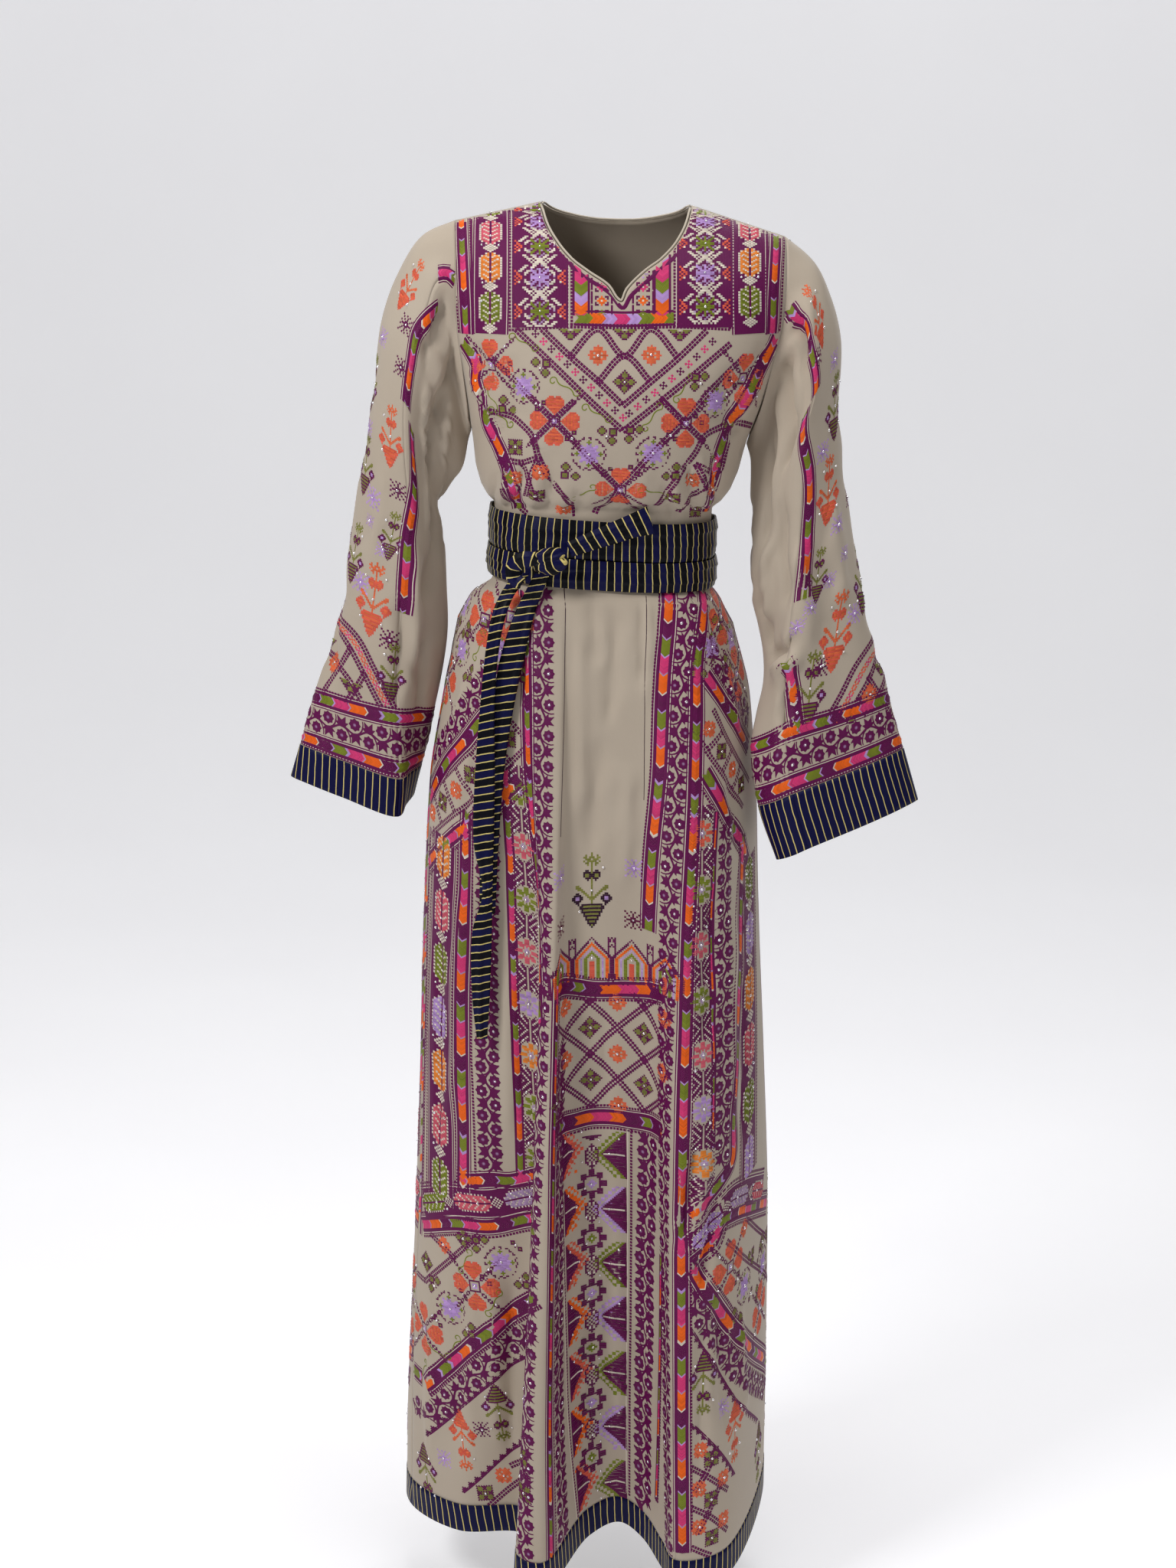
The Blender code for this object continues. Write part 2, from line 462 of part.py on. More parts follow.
def shell(name, grid, nor, mat, wall=CLOTH, closed=False):
    """Closed wall lofted between the two faces of a cloth surface."""
    m, n, _ = grid.shape
    faces = [tuple(p) for p in (grid + nor * wall / 2).reshape(-1, 3)]
    verts = faces + [tuple(p) for p in (grid - nor * wall / 2).reshape(-1, 3)]
    off = m * n
    quads = []
    cols = n if closed else n - 1
    for i in range(m - 1):
        for j in range(cols):
            k = (j + 1) % n
            a, b, c, d = i * n + j, i * n + k, (i + 1) * n + k, (i + 1) * n + j
            quads.append((a, b, c, d))
            quads.append((off + d, off + c, off + b, off + a))
    for i, up in ((0, True), (m - 1, False)):
        for j in range(cols):
            k = (j + 1) % n
            a, b = i * n + j, i * n + k
            quads.append((a, off + a, off + b, b) if up else (b, off + b, off + a, a))
    if not closed:
        for j, left in ((0, True), (n - 1, False)):
            for i in range(m - 1):
                a, b = i * n + j, (i + 1) * n + j
                quads.append((b, off + b, off + a, a) if left else (a, off + a, off + b, b))
    mesh = bpy.data.meshes.new(name)
    mesh.from_pydata(verts, [], quads)
    work = bmesh.new()
    work.from_mesh(mesh)
    bmesh.ops.recalc_face_normals(work, faces=work.faces)
    work.to_mesh(mesh)
    work.free()
    mesh.shade_smooth()
    mesh.set_sharp_from_angle(angle=0.9)
    obj = bpy.data.objects.new(name, mesh)
    parts.objects.link(obj)
    mesh.materials.append(mat)
    return obj


# ------------------------------------------------------------------ build
for old in list(bpy.data.objects):
    bpy.data.objects.remove(old, do_unlink=True)
parts = bpy.data.collections.new(NAME)
bpy.context.scene.collection.children.link(parts)

BEIGE = (0.48, 0.42, 0.34)
NAVY = (0.012, 0.012, 0.045)


def beige(name):
    return material(name + "_cloth", BEIGE, 0.8, 0.2)


def navy(name):
    return material(name + "_cloth", NAVY, 0.5, 0.1)


# bodice, front and back, with shared normals where they are sewn together
front, back = bodice_grid(False, BODICE_ROWS), bodice_grid(True, BODICE_ROWS)
n_front, n_back = face_out(front, normals(front)), face_out(back, normals(back))
if n_front[6, front.shape[1] // 2, 1] > 0:
    n_front = -n_front
if n_back[6, back.shape[1] // 2, 1] < 0:
    n_back = -n_back
for i in range(ARM_ROWS, BODICE_ROWS):
    for cf in (0, -1):
        n = n_front[i, cf] + n_back[i, cf]
        n_front[i, cf] = n_back[i, cf] = n / np.linalg.norm(n)
for k in range(SHOULDER_STEPS + 1):
    for j in (k, -1 - k):
        n = n_front[0, j] + n_back[0, j]
        n_front[0, j] = n_back[0, j] = n / np.linalg.norm(n)
shell("bodice_front", trim(front, ("top", "low", "first", "last")), n_front, beige("bodice_front"))
shell("bodice_back", trim(back, ("top", "low", "first", "last")), n_back, beige("bodice_back"))

# skirt: one ring grid, cut into panels and hem bands
PANELS = (("front_left", COL["side_l"], COL["fold_l"], 8), ("front_centre", COL["fold_l"], COL["crest_r"], 18),
          ("front_right", COL["crest_r"], COL["side_r"], 7), ("back", COL["side_r"], NCOL + NBACK, 19))
at, start = [], []
for name, c0, c1, steps in PANELS:
    start.append(len(at))
    at += list(np.linspace(c0, c1, steps + 1)[:-1])
rows = []
for z in ROW_Z + HEM_ROWS:
    ring = skirt_ring(z)
    rows.append(spline(np.vstack((ring, ring, ring)), len(ring) + np.array(at)))
rows = np.array(rows)
n_rows = face_out(rows, normals(rows, closed=True))
nr = len(ROW_Z)
for (name, c0, c1, steps), s in zip(PANELS, start):
    cols = [(s + k) % len(at) for k in range(steps + 1)]
    shell("skirt_" + name, trim(rows[:nr, cols], ("top", "low", "first", "last"), 1.8), n_rows[:nr, cols], beige("skirt_" + name))
    shell("hem_" + name, trim(rows[nr - 1:, cols], ("top", "first", "last"), 1.8), n_rows[nr - 1:, cols], navy("hem_" + name))

# sleeves: an embroidered outer piece, a plain under piece and a striped cuff on each
for side, col, table, seam_row in (("left", 0, SLEEVE_L, 2), ("right", -1, SLEEVE_R, 3)):
    fine_f, fine_u = (3, 1) if seam_row == 2 else (2, 1)
    first, n_first = sleeve_first(front, back, n_front, n_back, col, seam_row, fine_f, fine_u)
    ring_rows = [first] + [sleeve_ring(r, seam_row, fine_f, fine_u) for r in table]
    g = loft_rows(ring_rows, 2 * SLEEVE_ROWS + 1)
    keep = [0] + list(range(2, 2 * SLEEVE_ROWS - 2, 2)) + [2 * SLEEVE_ROWS - 2, 2 * SLEEVE_ROWS]
    keep = sorted(set(keep))
    g = g[keep]
    n_g = face_out(g, normals(g, closed=True))
    w = np.clip(np.linalg.norm(n_first, axis=1), 0, 1)[:, None]
    n_g[0] = unit(n_first + n_g[0] * (1 - w))
    cut = len(keep) - 2
    nf, nu = seam_row * fine_f, (ARM_ROWS - seam_row) * fine_u
    total = 2 * (nf + nu)
    outer = [(total - nf + k) % total for k in range(2 * nf + 1)]
    under = [nf + k for k in range(2 * nu + 1)]
    for tag, cols in (("outer", outer), ("under", under)):
        shell("sleeve_%s_%s" % (side, tag), trim(g[:cut + 1, cols], ("low", "first", "last"), 2.6), n_g[:cut + 1, cols],
              beige("sleeve_%s_%s" % (side, tag)))
        shell("cuff_%s_%s" % (side, tag), trim(g[cut:, cols], ("top", "first", "last"), 2.0), n_g[cut:, cols],
              navy("cuff_%s_%s" % (side, tag)))


# sash: two turns round the waist, a knot, a short end and two tails
def sash_section(a, z, out):
    """Point of the sash at angle a, height z, at a distance from the body cloth."""
    cx, w, df, db = smooth_table(TORSO_Z, TORSO_ROWS, -0.350)
    d = (db if sin(a) > 0 else df) + out
    x = cx + (w + out) * np.sign(cos(a)) * abs(cos(a)) ** (2 / SUPER)
    y = d * np.sign(sin(a)) * abs(sin(a)) ** (2 / SUPER)
    return np.array((x, y, z + SASH_DROP_R * (x + w) / (2 * w) + SASH_DROP_F * max(-y / d, 0)))


for name, (z0, z1), out in (("sash_turn_upper", SASH_UPPER, 0.0056), ("sash_turn_lower", SASH_LOWER, 0.0068)):
    g = np.array([[sash_section(2 * pi * j / 32, z0 + i / 2 * (z1 - z0), out + 0.0010 * sin(pi * i / 2))
                   for j in range(32)] for i in range(3)])
    shell(name, g, face_out(g, normals(g, closed=True)), navy(name), SASH_WALL, closed=True)


def sash_front_y(x, out):
    """Depth of the sash's front face over x."""
    cx, w, df, db = smooth_table(TORSO_Z, TORSO_ROWS, -0.350)
    r = min(abs(x - cx) / (w + out), 1.0)
    return -(df + out) * (1 - r ** SUPER) ** (1 / SUPER)


end_rows = spline(SASH_END, np.linspace(0, len(SASH_END) - 1, 9))
g = []
for k, (x, z, hw, out) in enumerate(end_rows):
    d = end_rows[min(k + 1, 8)][:2] - end_rows[max(k - 1, 0)][:2]
    d = d / np.linalg.norm(d)
    row = []
    for s in (-1, -0.4, 0.4, 1):
        px, pz = x - d[1] * hw * s, z + d[0] * hw * s
        row.append((px, sash_front_y(px, 0.0096) - out, pz))
    g.append(row)
g = np.array(g)
n_g = normals(g)
shell("sash_end_short", g, n_g if n_g[4, 1, 1] < 0 else -n_g, navy("sash_end_short"), 0.0020)


def skirt_front_y(z):
    """Foremost depth of the skirt under the tails."""
    line = spline(skirt_ring(z), np.linspace(0, COL["crest_l"], 50))
    near = (line[:, 0] > -0.140) & (line[:, 0] < -0.084)
    return float(line[near, 1].min())


for name, table, m in (("sash_tail_front", TAIL_FRONT, 21), ("sash_tail_back", TAIL_BACK, 18)):
    rows_t = spline(table, np.linspace(0, len(table) - 1, m))
    g = []
    for (z, x, hw, out) in rows_t:
        y_skirt = skirt_front_y(z)
        y_sash = sash_front_y(x, 0.0096) - 0.0045
        y0 = y_skirt + (min(y_sash, y_skirt) - y_skirt) * ease((z + 0.445) / 0.035)
        g.append([(x + s * hw, y0 - out - 0.0012 * (1 - s * s), z) for s in (-1, -0.35, 0.35, 1)])
    g = np.array(g)
    n_g = normals(g)
    shell(name, g, n_g if n_g[4, 1, 1] < 0 else -n_g, navy(name), 0.0020)

bpy.ops.mesh.primitive_cube_add(size=1.0, location=KNOT)
knot = bpy.context.active_object
knot.name = "sash_knot"
knot.data.name = "sash_knot"
knot.scale = tuple(v * 1.25 for v in KNOT_SIZE)
bpy.ops.object.transform_apply(location=False, rotation=False, scale=True)
for coll in list(knot.users_collection):
    coll.objects.unlink(knot)
parts.objects.link(knot)
knot.data.materials.append(navy("sash_knot"))
sub = knot.modifiers.new("soft", "SUBSURF")
sub.levels = 2
sub.render_levels = 2

# neck binding: a fine piped edge just outside the neckline, front and back in one loop
lo, hi = SHOULDER_STEPS, -1 - SHOULDER_STEPS


def rim(grid, nor, a, b):
    """Neckline points moved out past the cloth's edge, square to the neckline."""
    cols = list(range(a, grid.shape[1] + b + 1))
    line = grid[0, cols]
    out = []
    for k, j in enumerate(cols):
        along = line[min(k + 1, len(line) - 1)] - line[max(k - 1, 0)]
        d = unit(np.cross(along, nor[0, j]))
        inner = grid[1, j] - grid[0, j] if 0 < k < len(line) - 1 else np.array((grid[0, j, 0], 0.0, 0.0))
        out.append(grid[0, j] + (d if d @ inner < 0 else -d) * NECK_OFFSET)
    return out


loop = rim(front, n_front, lo, hi)
loop += rim(back, n_back, lo, hi)[1:-1][::-1]
cu = bpy.data.curves.new("neck_binding", "CURVE")
cu.dimensions = "3D"
cu.bevel_depth = NECK_PIPE
cu.bevel_resolution = 1
sp = cu.splines.new("POLY")
sp.points.add(len(loop) - 1)
for q, p in zip(sp.points, loop):
    q.co = (*p, 1)
sp.use_cyclic_u = True
cu.materials.append(material("neck_binding_cloth", (0.62, 0.56, 0.46), 0.7, 0.1))
binding = bpy.data.objects.new("neck_binding", cu)
parts.objects.link(binding)
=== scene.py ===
"""Looks of a worn abaya with a sash: cloth shells with folds, cross-stitch banding, rhinestones and striped trims."""

import bpy
import numpy as np
from math import pi, sin, cos, sqrt, radians, atan, atan2, degrees
from mathutils import Matrix, Vector


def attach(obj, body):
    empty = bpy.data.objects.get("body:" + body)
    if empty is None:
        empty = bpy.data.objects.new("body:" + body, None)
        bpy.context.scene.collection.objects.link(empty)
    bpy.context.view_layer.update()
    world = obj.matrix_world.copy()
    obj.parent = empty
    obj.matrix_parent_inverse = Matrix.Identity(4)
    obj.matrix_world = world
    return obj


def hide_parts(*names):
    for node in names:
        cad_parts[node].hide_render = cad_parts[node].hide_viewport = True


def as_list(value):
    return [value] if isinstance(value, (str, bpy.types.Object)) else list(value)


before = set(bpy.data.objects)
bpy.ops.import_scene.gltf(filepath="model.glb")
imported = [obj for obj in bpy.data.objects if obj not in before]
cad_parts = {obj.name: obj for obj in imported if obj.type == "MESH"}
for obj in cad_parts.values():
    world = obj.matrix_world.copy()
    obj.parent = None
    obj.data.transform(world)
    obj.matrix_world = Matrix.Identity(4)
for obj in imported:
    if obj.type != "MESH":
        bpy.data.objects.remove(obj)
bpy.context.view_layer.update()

# ------------------------------------------------------------------ garment surfaces, as in the part's construction
CLOTH = 0.0020
SEAM = 0.0003
WAIST_Z = -0.360
HEM_Z0 = -1.480
HEM_BAND = 0.029
SUPER = 2.4
SHOULDER_ROLL = 0.095
BODICE_ROWS = 14
ARM_ROWS = 8
SHOULDER_STEPS = 4
BLOUSE_SHIFT = 0.06

# z, centre_x, half_width, front_depth, back_depth
TORSO = (
    (0.030, 0.006, 0.200, 0.062, 0.052),
    (-0.050, 0.006, 0.196, 0.082, 0.074),
    (-0.100, 0.006, 0.192, 0.094, 0.088),
    (-0.150, 0.006, 0.181, 0.104, 0.096),
    (-0.200, 0.003, 0.165, 0.110, 0.096),
    (-0.244, 0.000, 0.149, 0.109, 0.090),
    (-0.280, -0.002, 0.1420, 0.1030, 0.085),
    (-0.300, -0.003, 0.1350, 0.0980, 0.081),
    (-0.312, -0.004, 0.1270, 0.0915, 0.076),
    (-0.321, -0.005, 0.1180, 0.0840, 0.072),
    (-0.335, -0.005, 0.1175, 0.0835, 0.072),
    (-0.360, -0.005, 0.1175, 0.0835, 0.072),
)
SHOULDER_L = (-0.172, -0.022)
SHOULDER_R = (0.182, -0.030)
NECK_L = (-0.081, 0.000)
NECK_R = (0.081, 0.000)
# x, z of the neckline, front and back
NECK_FRONT = (
    (-0.081, 0.000), (-0.075, -0.021), (-0.063, -0.041), (-0.046, -0.060), (-0.026, -0.074),
    (-0.007, -0.086), (0.0035, -0.100), (0.0095, -0.102), (0.0155, -0.089), (0.034, -0.070),
    (0.050, -0.058), (0.066, -0.040), (0.077, -0.018), (0.081, 0.000),
)
NECK_BACK = (
    (-0.081, 0.000), (-0.068, -0.007), (-0.050, -0.012), (-0.026, -0.016), (0.0, -0.017),
    (0.026, -0.016), (0.050, -0.012), (0.068, -0.007), (0.081, 0.000),
)
# x, z of the armholes
ARMHOLE_L = (
    (-0.172, -0.022), (-0.169, -0.050), (-0.1675, -0.080), (-0.167, -0.111), (-0.164, -0.143),
    (-0.158, -0.175), (-0.1525, -0.208), (-0.150, -0.230), (-0.149, -0.244),
)
ARMHOLE_R = (
    (0.182, -0.030), (0.183, -0.052), (0.183, -0.080), (0.182, -0.102), (0.178, -0.134),
    (0.168, -0.175), (0.158, -0.216), (0.151, -0.238), (0.149, -0.250),
)
SKIRT_COLS = ("side_l", "panel_l", "valley_l", "fold_l", "crest_l", "root_l", "centre",
              "root_r", "flank_r", "crest_r", "bend_r", "side_r")
SKIRT_Z = (-0.360, -0.404, -0.420, -0.450, -0.520, -0.620, -0.780, -0.950, -1.120, -1.300, -1.480)
SKIRT_X = (
    (-0.1225, -0.113, -0.093, -0.081, -0.050, -0.040, -0.004, 0.040, 0.068, 0.084, 0.102, 0.1125),
    (-0.1230, -0.114, -0.093, -0.081, -0.050, -0.041, -0.003, 0.041, 0.070, 0.086, 0.103, 0.1130),
    (-0.1450, -0.128, -0.091, -0.081, -0.048, -0.040, -0.001, 0.043, 0.075, 0.096, 0.114, 0.1240),
    (-0.1600, -0.130, -0.088, -0.079, -0.047, -0.040, 0.001, 0.044, 0.078, 0.099, 0.119, 0.1400),
    (-0.1720, -0.136, -0.085, -0.075, -0.045, -0.038, 0.002, 0.046, 0.080, 0.100, 0.126, 0.1600),
    (-0.1860, -0.142, -0.076, -0.067, -0.045, -0.035, 0.006, 0.050, 0.080, 0.098, 0.132, 0.1720),
    (-0.1900, -0.138, -0.062, -0.058, -0.045, -0.033, 0.010, 0.055, 0.079, 0.096, 0.138, 0.1810),
    (-0.1910, -0.136, -0.058, -0.059, -0.045, -0.028, 0.016, 0.062, 0.081, 0.096, 0.143, 0.1930),
    (-0.1920, -0.136, -0.059, -0.061, -0.045, -0.020, 0.024, 0.068, 0.085, 0.097, 0.149, 0.2040),
    (-0.1960, -0.138, -0.061, -0.065, -0.045, -0.010, 0.032, 0.070, 0.090, 0.104, 0.156, 0.2090),
    (-0.1950, -0.138, -0.064, -0.070, -0.041, 0.010, 0.044, 0.071, 0.094, 0.109, 0.163, 0.2120),
)
SKIRT_Y = (
    (-0.0040, -0.040, -0.0620, -0.0700, -0.0805, -0.0825, -0.0835, -0.0790, -0.0700, -0.060, -0.040, -0.004),
    (-0.0040, -0.040, -0.0625, -0.0705, -0.0810, -0.0830, -0.0840, -0.0795, -0.0705, -0.061, -0.041, -0.004),
    (-0.0050, -0.050, -0.0780, -0.0850, -0.0920, -0.0920, -0.0930, -0.0910, -0.0850, -0.074, -0.054, -0.004),
    (-0.0060, -0.066, -0.088, -0.0940, -0.1000, -0.0980, -0.0985, -0.0975, -0.0960, -0.090, -0.068, -0.004),
    (-0.0080, -0.074, -0.098, -0.1050, -0.1110, -0.1050, -0.1040, -0.1045, -0.1080, -0.104, -0.084, 0.000),
    (-0.0120, -0.080, -0.104, -0.1140, -0.1210, -0.1100, -0.1080, -0.1090, -0.1180, -0.118, -0.098, 0.004),
    (-0.0160, -0.084, -0.105, -0.1240, -0.1320, -0.1080, -0.1060, -0.1070, -0.1230, -0.130, -0.108, 0.008),
    (-0.0200, -0.084, -0.102, -0.1330, -0.1420, -0.1040, -0.1010, -0.1030, -0.1260, -0.138, -0.116, 0.011),
    (-0.0240, -0.083, -0.098, -0.1420, -0.1500, -0.0980, -0.0940, -0.0970, -0.1260, -0.146, -0.124, 0.014),
    (-0.0270, -0.083, -0.094, -0.1490, -0.1570, -0.0920, -0.0870, -0.0900, -0.1240, -0.152, -0.132, 0.017),
    (-0.0300, -0.082, -0.088, -0.1560, -0.1640, -0.0860, -0.0800, -0.0850, -0.1220, -0.158, -0.138, 0.020),
)
HEM_Z = (-1.485, -1.490, -1.490, -1.515, -1.520, -1.490, -1.475, -1.490, -1.508, -1.515, -1.510, -1.460)
BACK_DEPTH = (0.072, 0.073, 0.084, 0.096, 0.108, 0.117, 0.126, 0.134, 0.142, 0.150, 0.157)
BACK_FOLD = (0.000, 0.000, 0.002, 0.005, 0.007, 0.009, 0.012, 0.015, 0.018, 0.021, 0.024)
BACK_FOLD_AT = (0.10, 0.22, 0.31, 0.43, 0.56, 0.66, 0.78, 0.90)
HEM_BACK_Z = -1.475
# outer_x, outer_y, outer_z, seam_x, seam_y, seam_z, inner_x, inner_y, inner_z, front_bulge, back_y
SLEEVE_L = (
    (-0.205, 0.000, -0.038, -0.187, -0.053, -0.086, -0.1545, -0.002, -0.254, 0.010, 0.062),
    (-0.233, 0.000, -0.082, -0.199, -0.060, -0.120, -0.160, -0.002, -0.283, 0.014, 0.066),
    (-0.249, 0.000, -0.131, -0.212, -0.062, -0.158, -0.172, -0.002, -0.305, 0.016, 0.066),
    (-0.256, 0.000, -0.197, -0.220, -0.060, -0.215, -0.184, -0.002, -0.326, 0.016, 0.064),
    (-0.264, 0.000, -0.250, -0.219, -0.057, -0.270, -0.181, 0.000, -0.348, 0.016, 0.060),
    (-0.273, 0.000, -0.310, -0.214, -0.053, -0.330, -0.178, 0.000, -0.376, 0.016, 0.056),
    (-0.280, 0.000, -0.364, -0.219, -0.050, -0.380, -0.176, 0.000, -0.412, 0.015, 0.053),
    (-0.290, 0.000, -0.430, -0.223, -0.047, -0.445, -0.174, 0.002, -0.462, 0.014, 0.051),
    (-0.302, 0.000, -0.485, -0.225, -0.044, -0.500, -0.179, 0.006, -0.508, 0.013, 0.050),
    (-0.316, 0.000, -0.530, -0.225, -0.040, -0.545, -0.187, 0.012, -0.550, 0.012, 0.050),
    (-0.327, 0.000, -0.568, -0.223, -0.036, -0.588, -0.194, 0.018, -0.588, 0.011, 0.052),
    (-0.334, 0.000, -0.597, -0.222, -0.032, -0.628, -0.202, 0.020, -0.618, 0.010, 0.054),
    (-0.344, 0.000, -0.633, -0.2235, -0.030, -0.670, -0.210, 0.020, -0.650, 0.010, 0.055),
)
SLEEVE_R = (
    (0.212, 0.000, -0.054, 0.204, -0.056, -0.112, 0.155, -0.002, -0.268, 0.010, 0.062),
    (0.232, -0.001, -0.090, 0.212, -0.064, -0.145, 0.156, -0.004, -0.300, 0.014, 0.064),
    (0.245, -0.003, -0.134, 0.216, -0.068, -0.188, 0.156, -0.007, -0.330, 0.015, 0.061),
    (0.247, -0.005, -0.195, 0.207, -0.070, -0.235, 0.157, -0.010, -0.356, 0.016, 0.056),
    (0.252, -0.007, -0.247, 0.208, -0.070, -0.284, 0.157, -0.012, -0.387, 0.016, 0.048),
    (0.260, -0.010, -0.306, 0.207, -0.071, -0.341, 0.161, -0.016, -0.418, 0.016, 0.040),
    (0.268, -0.013, -0.353, 0.204, -0.075, -0.386, 0.169, -0.022, -0.447, 0.015, 0.031),
    (0.279, -0.017, -0.399, 0.201, -0.079, -0.425, 0.175, -0.028, -0.476, 0.014, 0.023),
    (0.291, -0.022, -0.441, 0.198, -0.086, -0.465, 0.176, -0.036, -0.507, 0.013, 0.014),
    (0.303, -0.026, -0.482, 0.196, -0.092, -0.511, 0.169, -0.048, -0.541, 0.012, 0.006),
    (0.313, -0.030, -0.522, 0.198, -0.096, -0.554, 0.164, -0.060, -0.576, 0.011, 0.000),
    (0.331, -0.033, -0.578, 0.208, -0.099, -0.620, 0.174, -0.070, -0.639, 0.010, -0.005),
    (0.349, -0.035, -0.634, 0.227, -0.100, -0.679, 0.196, -0.074, -0.697, 0.010, -0.008),
)


def spline(points, at):
    """Centripetal Catmull-Rom through points; at = positions in index units."""
    p = np.asarray(points, float)
    n = len(p)
    p = np.concatenate((2 * p[:1] - p[1:2], p, 2 * p[-1:] - p[-2:-1]))
    s = np.atleast_1d(np.asarray(at, float))
    i = np.clip(np.floor(s), 0, n - 2).astype(int)
    f = (s - i)[:, None]
    q = [p[i + k] for k in range(4)]
    d = [np.maximum(np.sqrt(np.linalg.norm(q[k + 1] - q[k], axis=1)), 1e-5)[:, None] for k in range(3)]
    t1, t2, t3 = d[0], d[0] + d[1], d[0] + d[1] + d[2]
    u = t1 + f * d[1]
    a1 = (t1 - u) / t1 * q[0] + u / t1 * q[1]
    a2 = (t2 - u) / d[1] * q[1] + (u - t1) / d[1] * q[2]
    a3 = (t3 - u) / d[2] * q[2] + (u - t2) / d[2] * q[3]
    b1 = (t2 - u) / t2 * a1 + u / t2 * a2
    b2 = (t3 - u) / (t3 - t1) * a2 + (u - t1) / (t3 - t1) * a3
    return (t2 - u) / d[1] * b1 + (u - t1) / d[1] * b2


def even(points, share):
    """Points at even shares (0..1) of the length of the spline."""
    fine = spline(points, np.linspace(0, len(points) - 1, 12 * len(points)))
    step = np.r_[0, np.cumsum(np.linalg.norm(np.diff(fine, axis=0), axis=1))]
    return np.stack([np.interp(np.asarray(share) * step[-1], step, fine[:, k]) for k in range(fine.shape[1])], 1)


def ease(v):
    v = np.clip(v, 0, 1)
    return v * v * (3 - 2 * v)


def unit(v):
    return v / np.maximum(np.linalg.norm(v, axis=-1), 1e-12)[..., None]


T_Z = np.array([r[0] for r in TORSO])
T_ROWS = np.array([r[1:] for r in TORSO])


def torso_row(z):
    """centre_x, half_width, front_depth, back_depth at heights z."""
    k = np.interp(-np.ravel(z), -T_Z, np.arange(len(T_Z)))
    return spline(T_ROWS, k).T.reshape((4,) + np.shape(z))


def shoulder_z(x):
    ml = (NECK_L[1] - SHOULDER_L[1]) / abs(SHOULDER_L[0] - NECK_L[0])
    mr = (NECK_R[1] - SHOULDER_R[1]) / abs(SHOULDER_R[0] - NECK_R[0])
    slope = np.where(x < 0, ml, mr)
    reach = 0.081
    return -slope * np.maximum(abs(x) - reach, 0) + 0.10 * np.maximum(reach - abs(x), 0)


def torso_point(x, z, back=False):
    x, z = np.broadcast_arrays(np.asarray(x, float), np.asarray(z, float))
    cx, w, df, db = torso_row(z)
    r = np.minimum(abs(x - cx) / w, 1.0)
    body = np.maximum(1 - r ** SUPER, 0) ** (1 / SUPER)
    q = np.clip((shoulder_z(x) - z) / SHOULDER_ROLL, 0, 1)
    roll = (1 - (1 - q) ** 2.2) ** (1 / 2.2)
    y = (db if back else -df) * body * roll
    return np.stack((x, y, z), -1)


def torso_angle(x, z):
    cx, w, _, _ = torso_row(np.asarray(z, float))
    r = np.minimum(abs(x - cx) / w, 1.0) ** (SUPER / 2)
    return np.sign(x - cx) * np.arcsin(np.minimum(r, 1.0))


def torso_x(phi, z):
    cx, w, _, _ = torso_row(np.asarray(z, float))
    return cx + w * np.sign(phi) * abs(np.sin(phi)) ** (2 / SUPER)


def bodice_edges(back, fine):
    """Top edge of a bodice panel: shares across and points."""
    neck = np.array(NECK_BACK if back else NECK_FRONT)
    steps = SHOULDER_STEPS * fine
    mid = spline(neck, np.arange((len(neck) - 1) * fine + 1) / fine)
    f = np.arange(steps) / steps
    sl, nl, nr, sr = map(np.array, (SHOULDER_L, NECK_L, NECK_R, SHOULDER_R))
    left = sl + f[:, None] * (nl - sl)
    g = np.arange(1, steps + 1) / steps
    right = nr + g[:, None] * (sr - nr)
    share = np.r_[0.25 * f, 0.25 + 0.5 * (mid[:, 0] - NECK_L[0]) / (NECK_R[0] - NECK_L[0]), 0.75 + 0.25 * g]
    return share, np.vstack((left, mid, right))


def side_line(arm, m):
    """Armhole and side seam from the shoulder to the waist as (angle, height)."""
    sgn = np.sign(arm[0][0])
    share = np.linspace(0, 1, m)
    cut = ARM_ROWS / (BODICE_ROWS - 1)
    pts = even(arm, np.clip(share / cut, 0, 1))
    ang = torso_angle(pts[:, 0], pts[:, 1])
    f = (share - cut) / (1 - cut)
    low = arm[-1][1] + (f + BLOUSE_SHIFT * np.sin(pi * np.minimum(f * 1.05, 1)) ** 2) * (WAIST_Z - arm[-1][1])
    z = np.where(share <= cut + 1e-9, pts[:, 1], low)
    ang = np.where(share > cut - 0.01, sgn * pi / 2, ang)
    return ang, z


def bodice_grid(back, m, fine=1):
    """Points of a bodice panel, rows from the top edge down to the waist."""
    share, edge = bodice_edges(back, fine)
    top = (torso_angle(edge[:, 0], edge[:, 1]), edge[:, 1])
    left, right = side_line(ARMHOLE_L, m), side_line(ARMHOLE_R, m)
    low = (-pi / 2 + pi * share, np.full(len(share), WAIST_Z))
    t = np.linspace(0, 1, m)[:, None]
    a = share[None, :]
    v = [(1 - t) * top[k][None] + t * low[k][None] + (1 - a) * left[k][:, None] + a * right[k][:, None]
         - ((1 - a) * (1 - t) * top[k][0] + a * (1 - t) * top[k][-1] + (1 - a) * t * low[k][0] + a * t * low[k][-1])
         for k in (0, 1)]
    x = torso_x(v[0], v[1])
    x[0] = edge[:, 0]
    return torso_point(x, v[1], back)


NCOL = len(SKIRT_COLS)
COL = {name: k for k, name in enumerate(SKIRT_COLS)}
NBACK = len(BACK_FOLD_AT)
SKIRT_Z = np.array(SKIRT_Z)


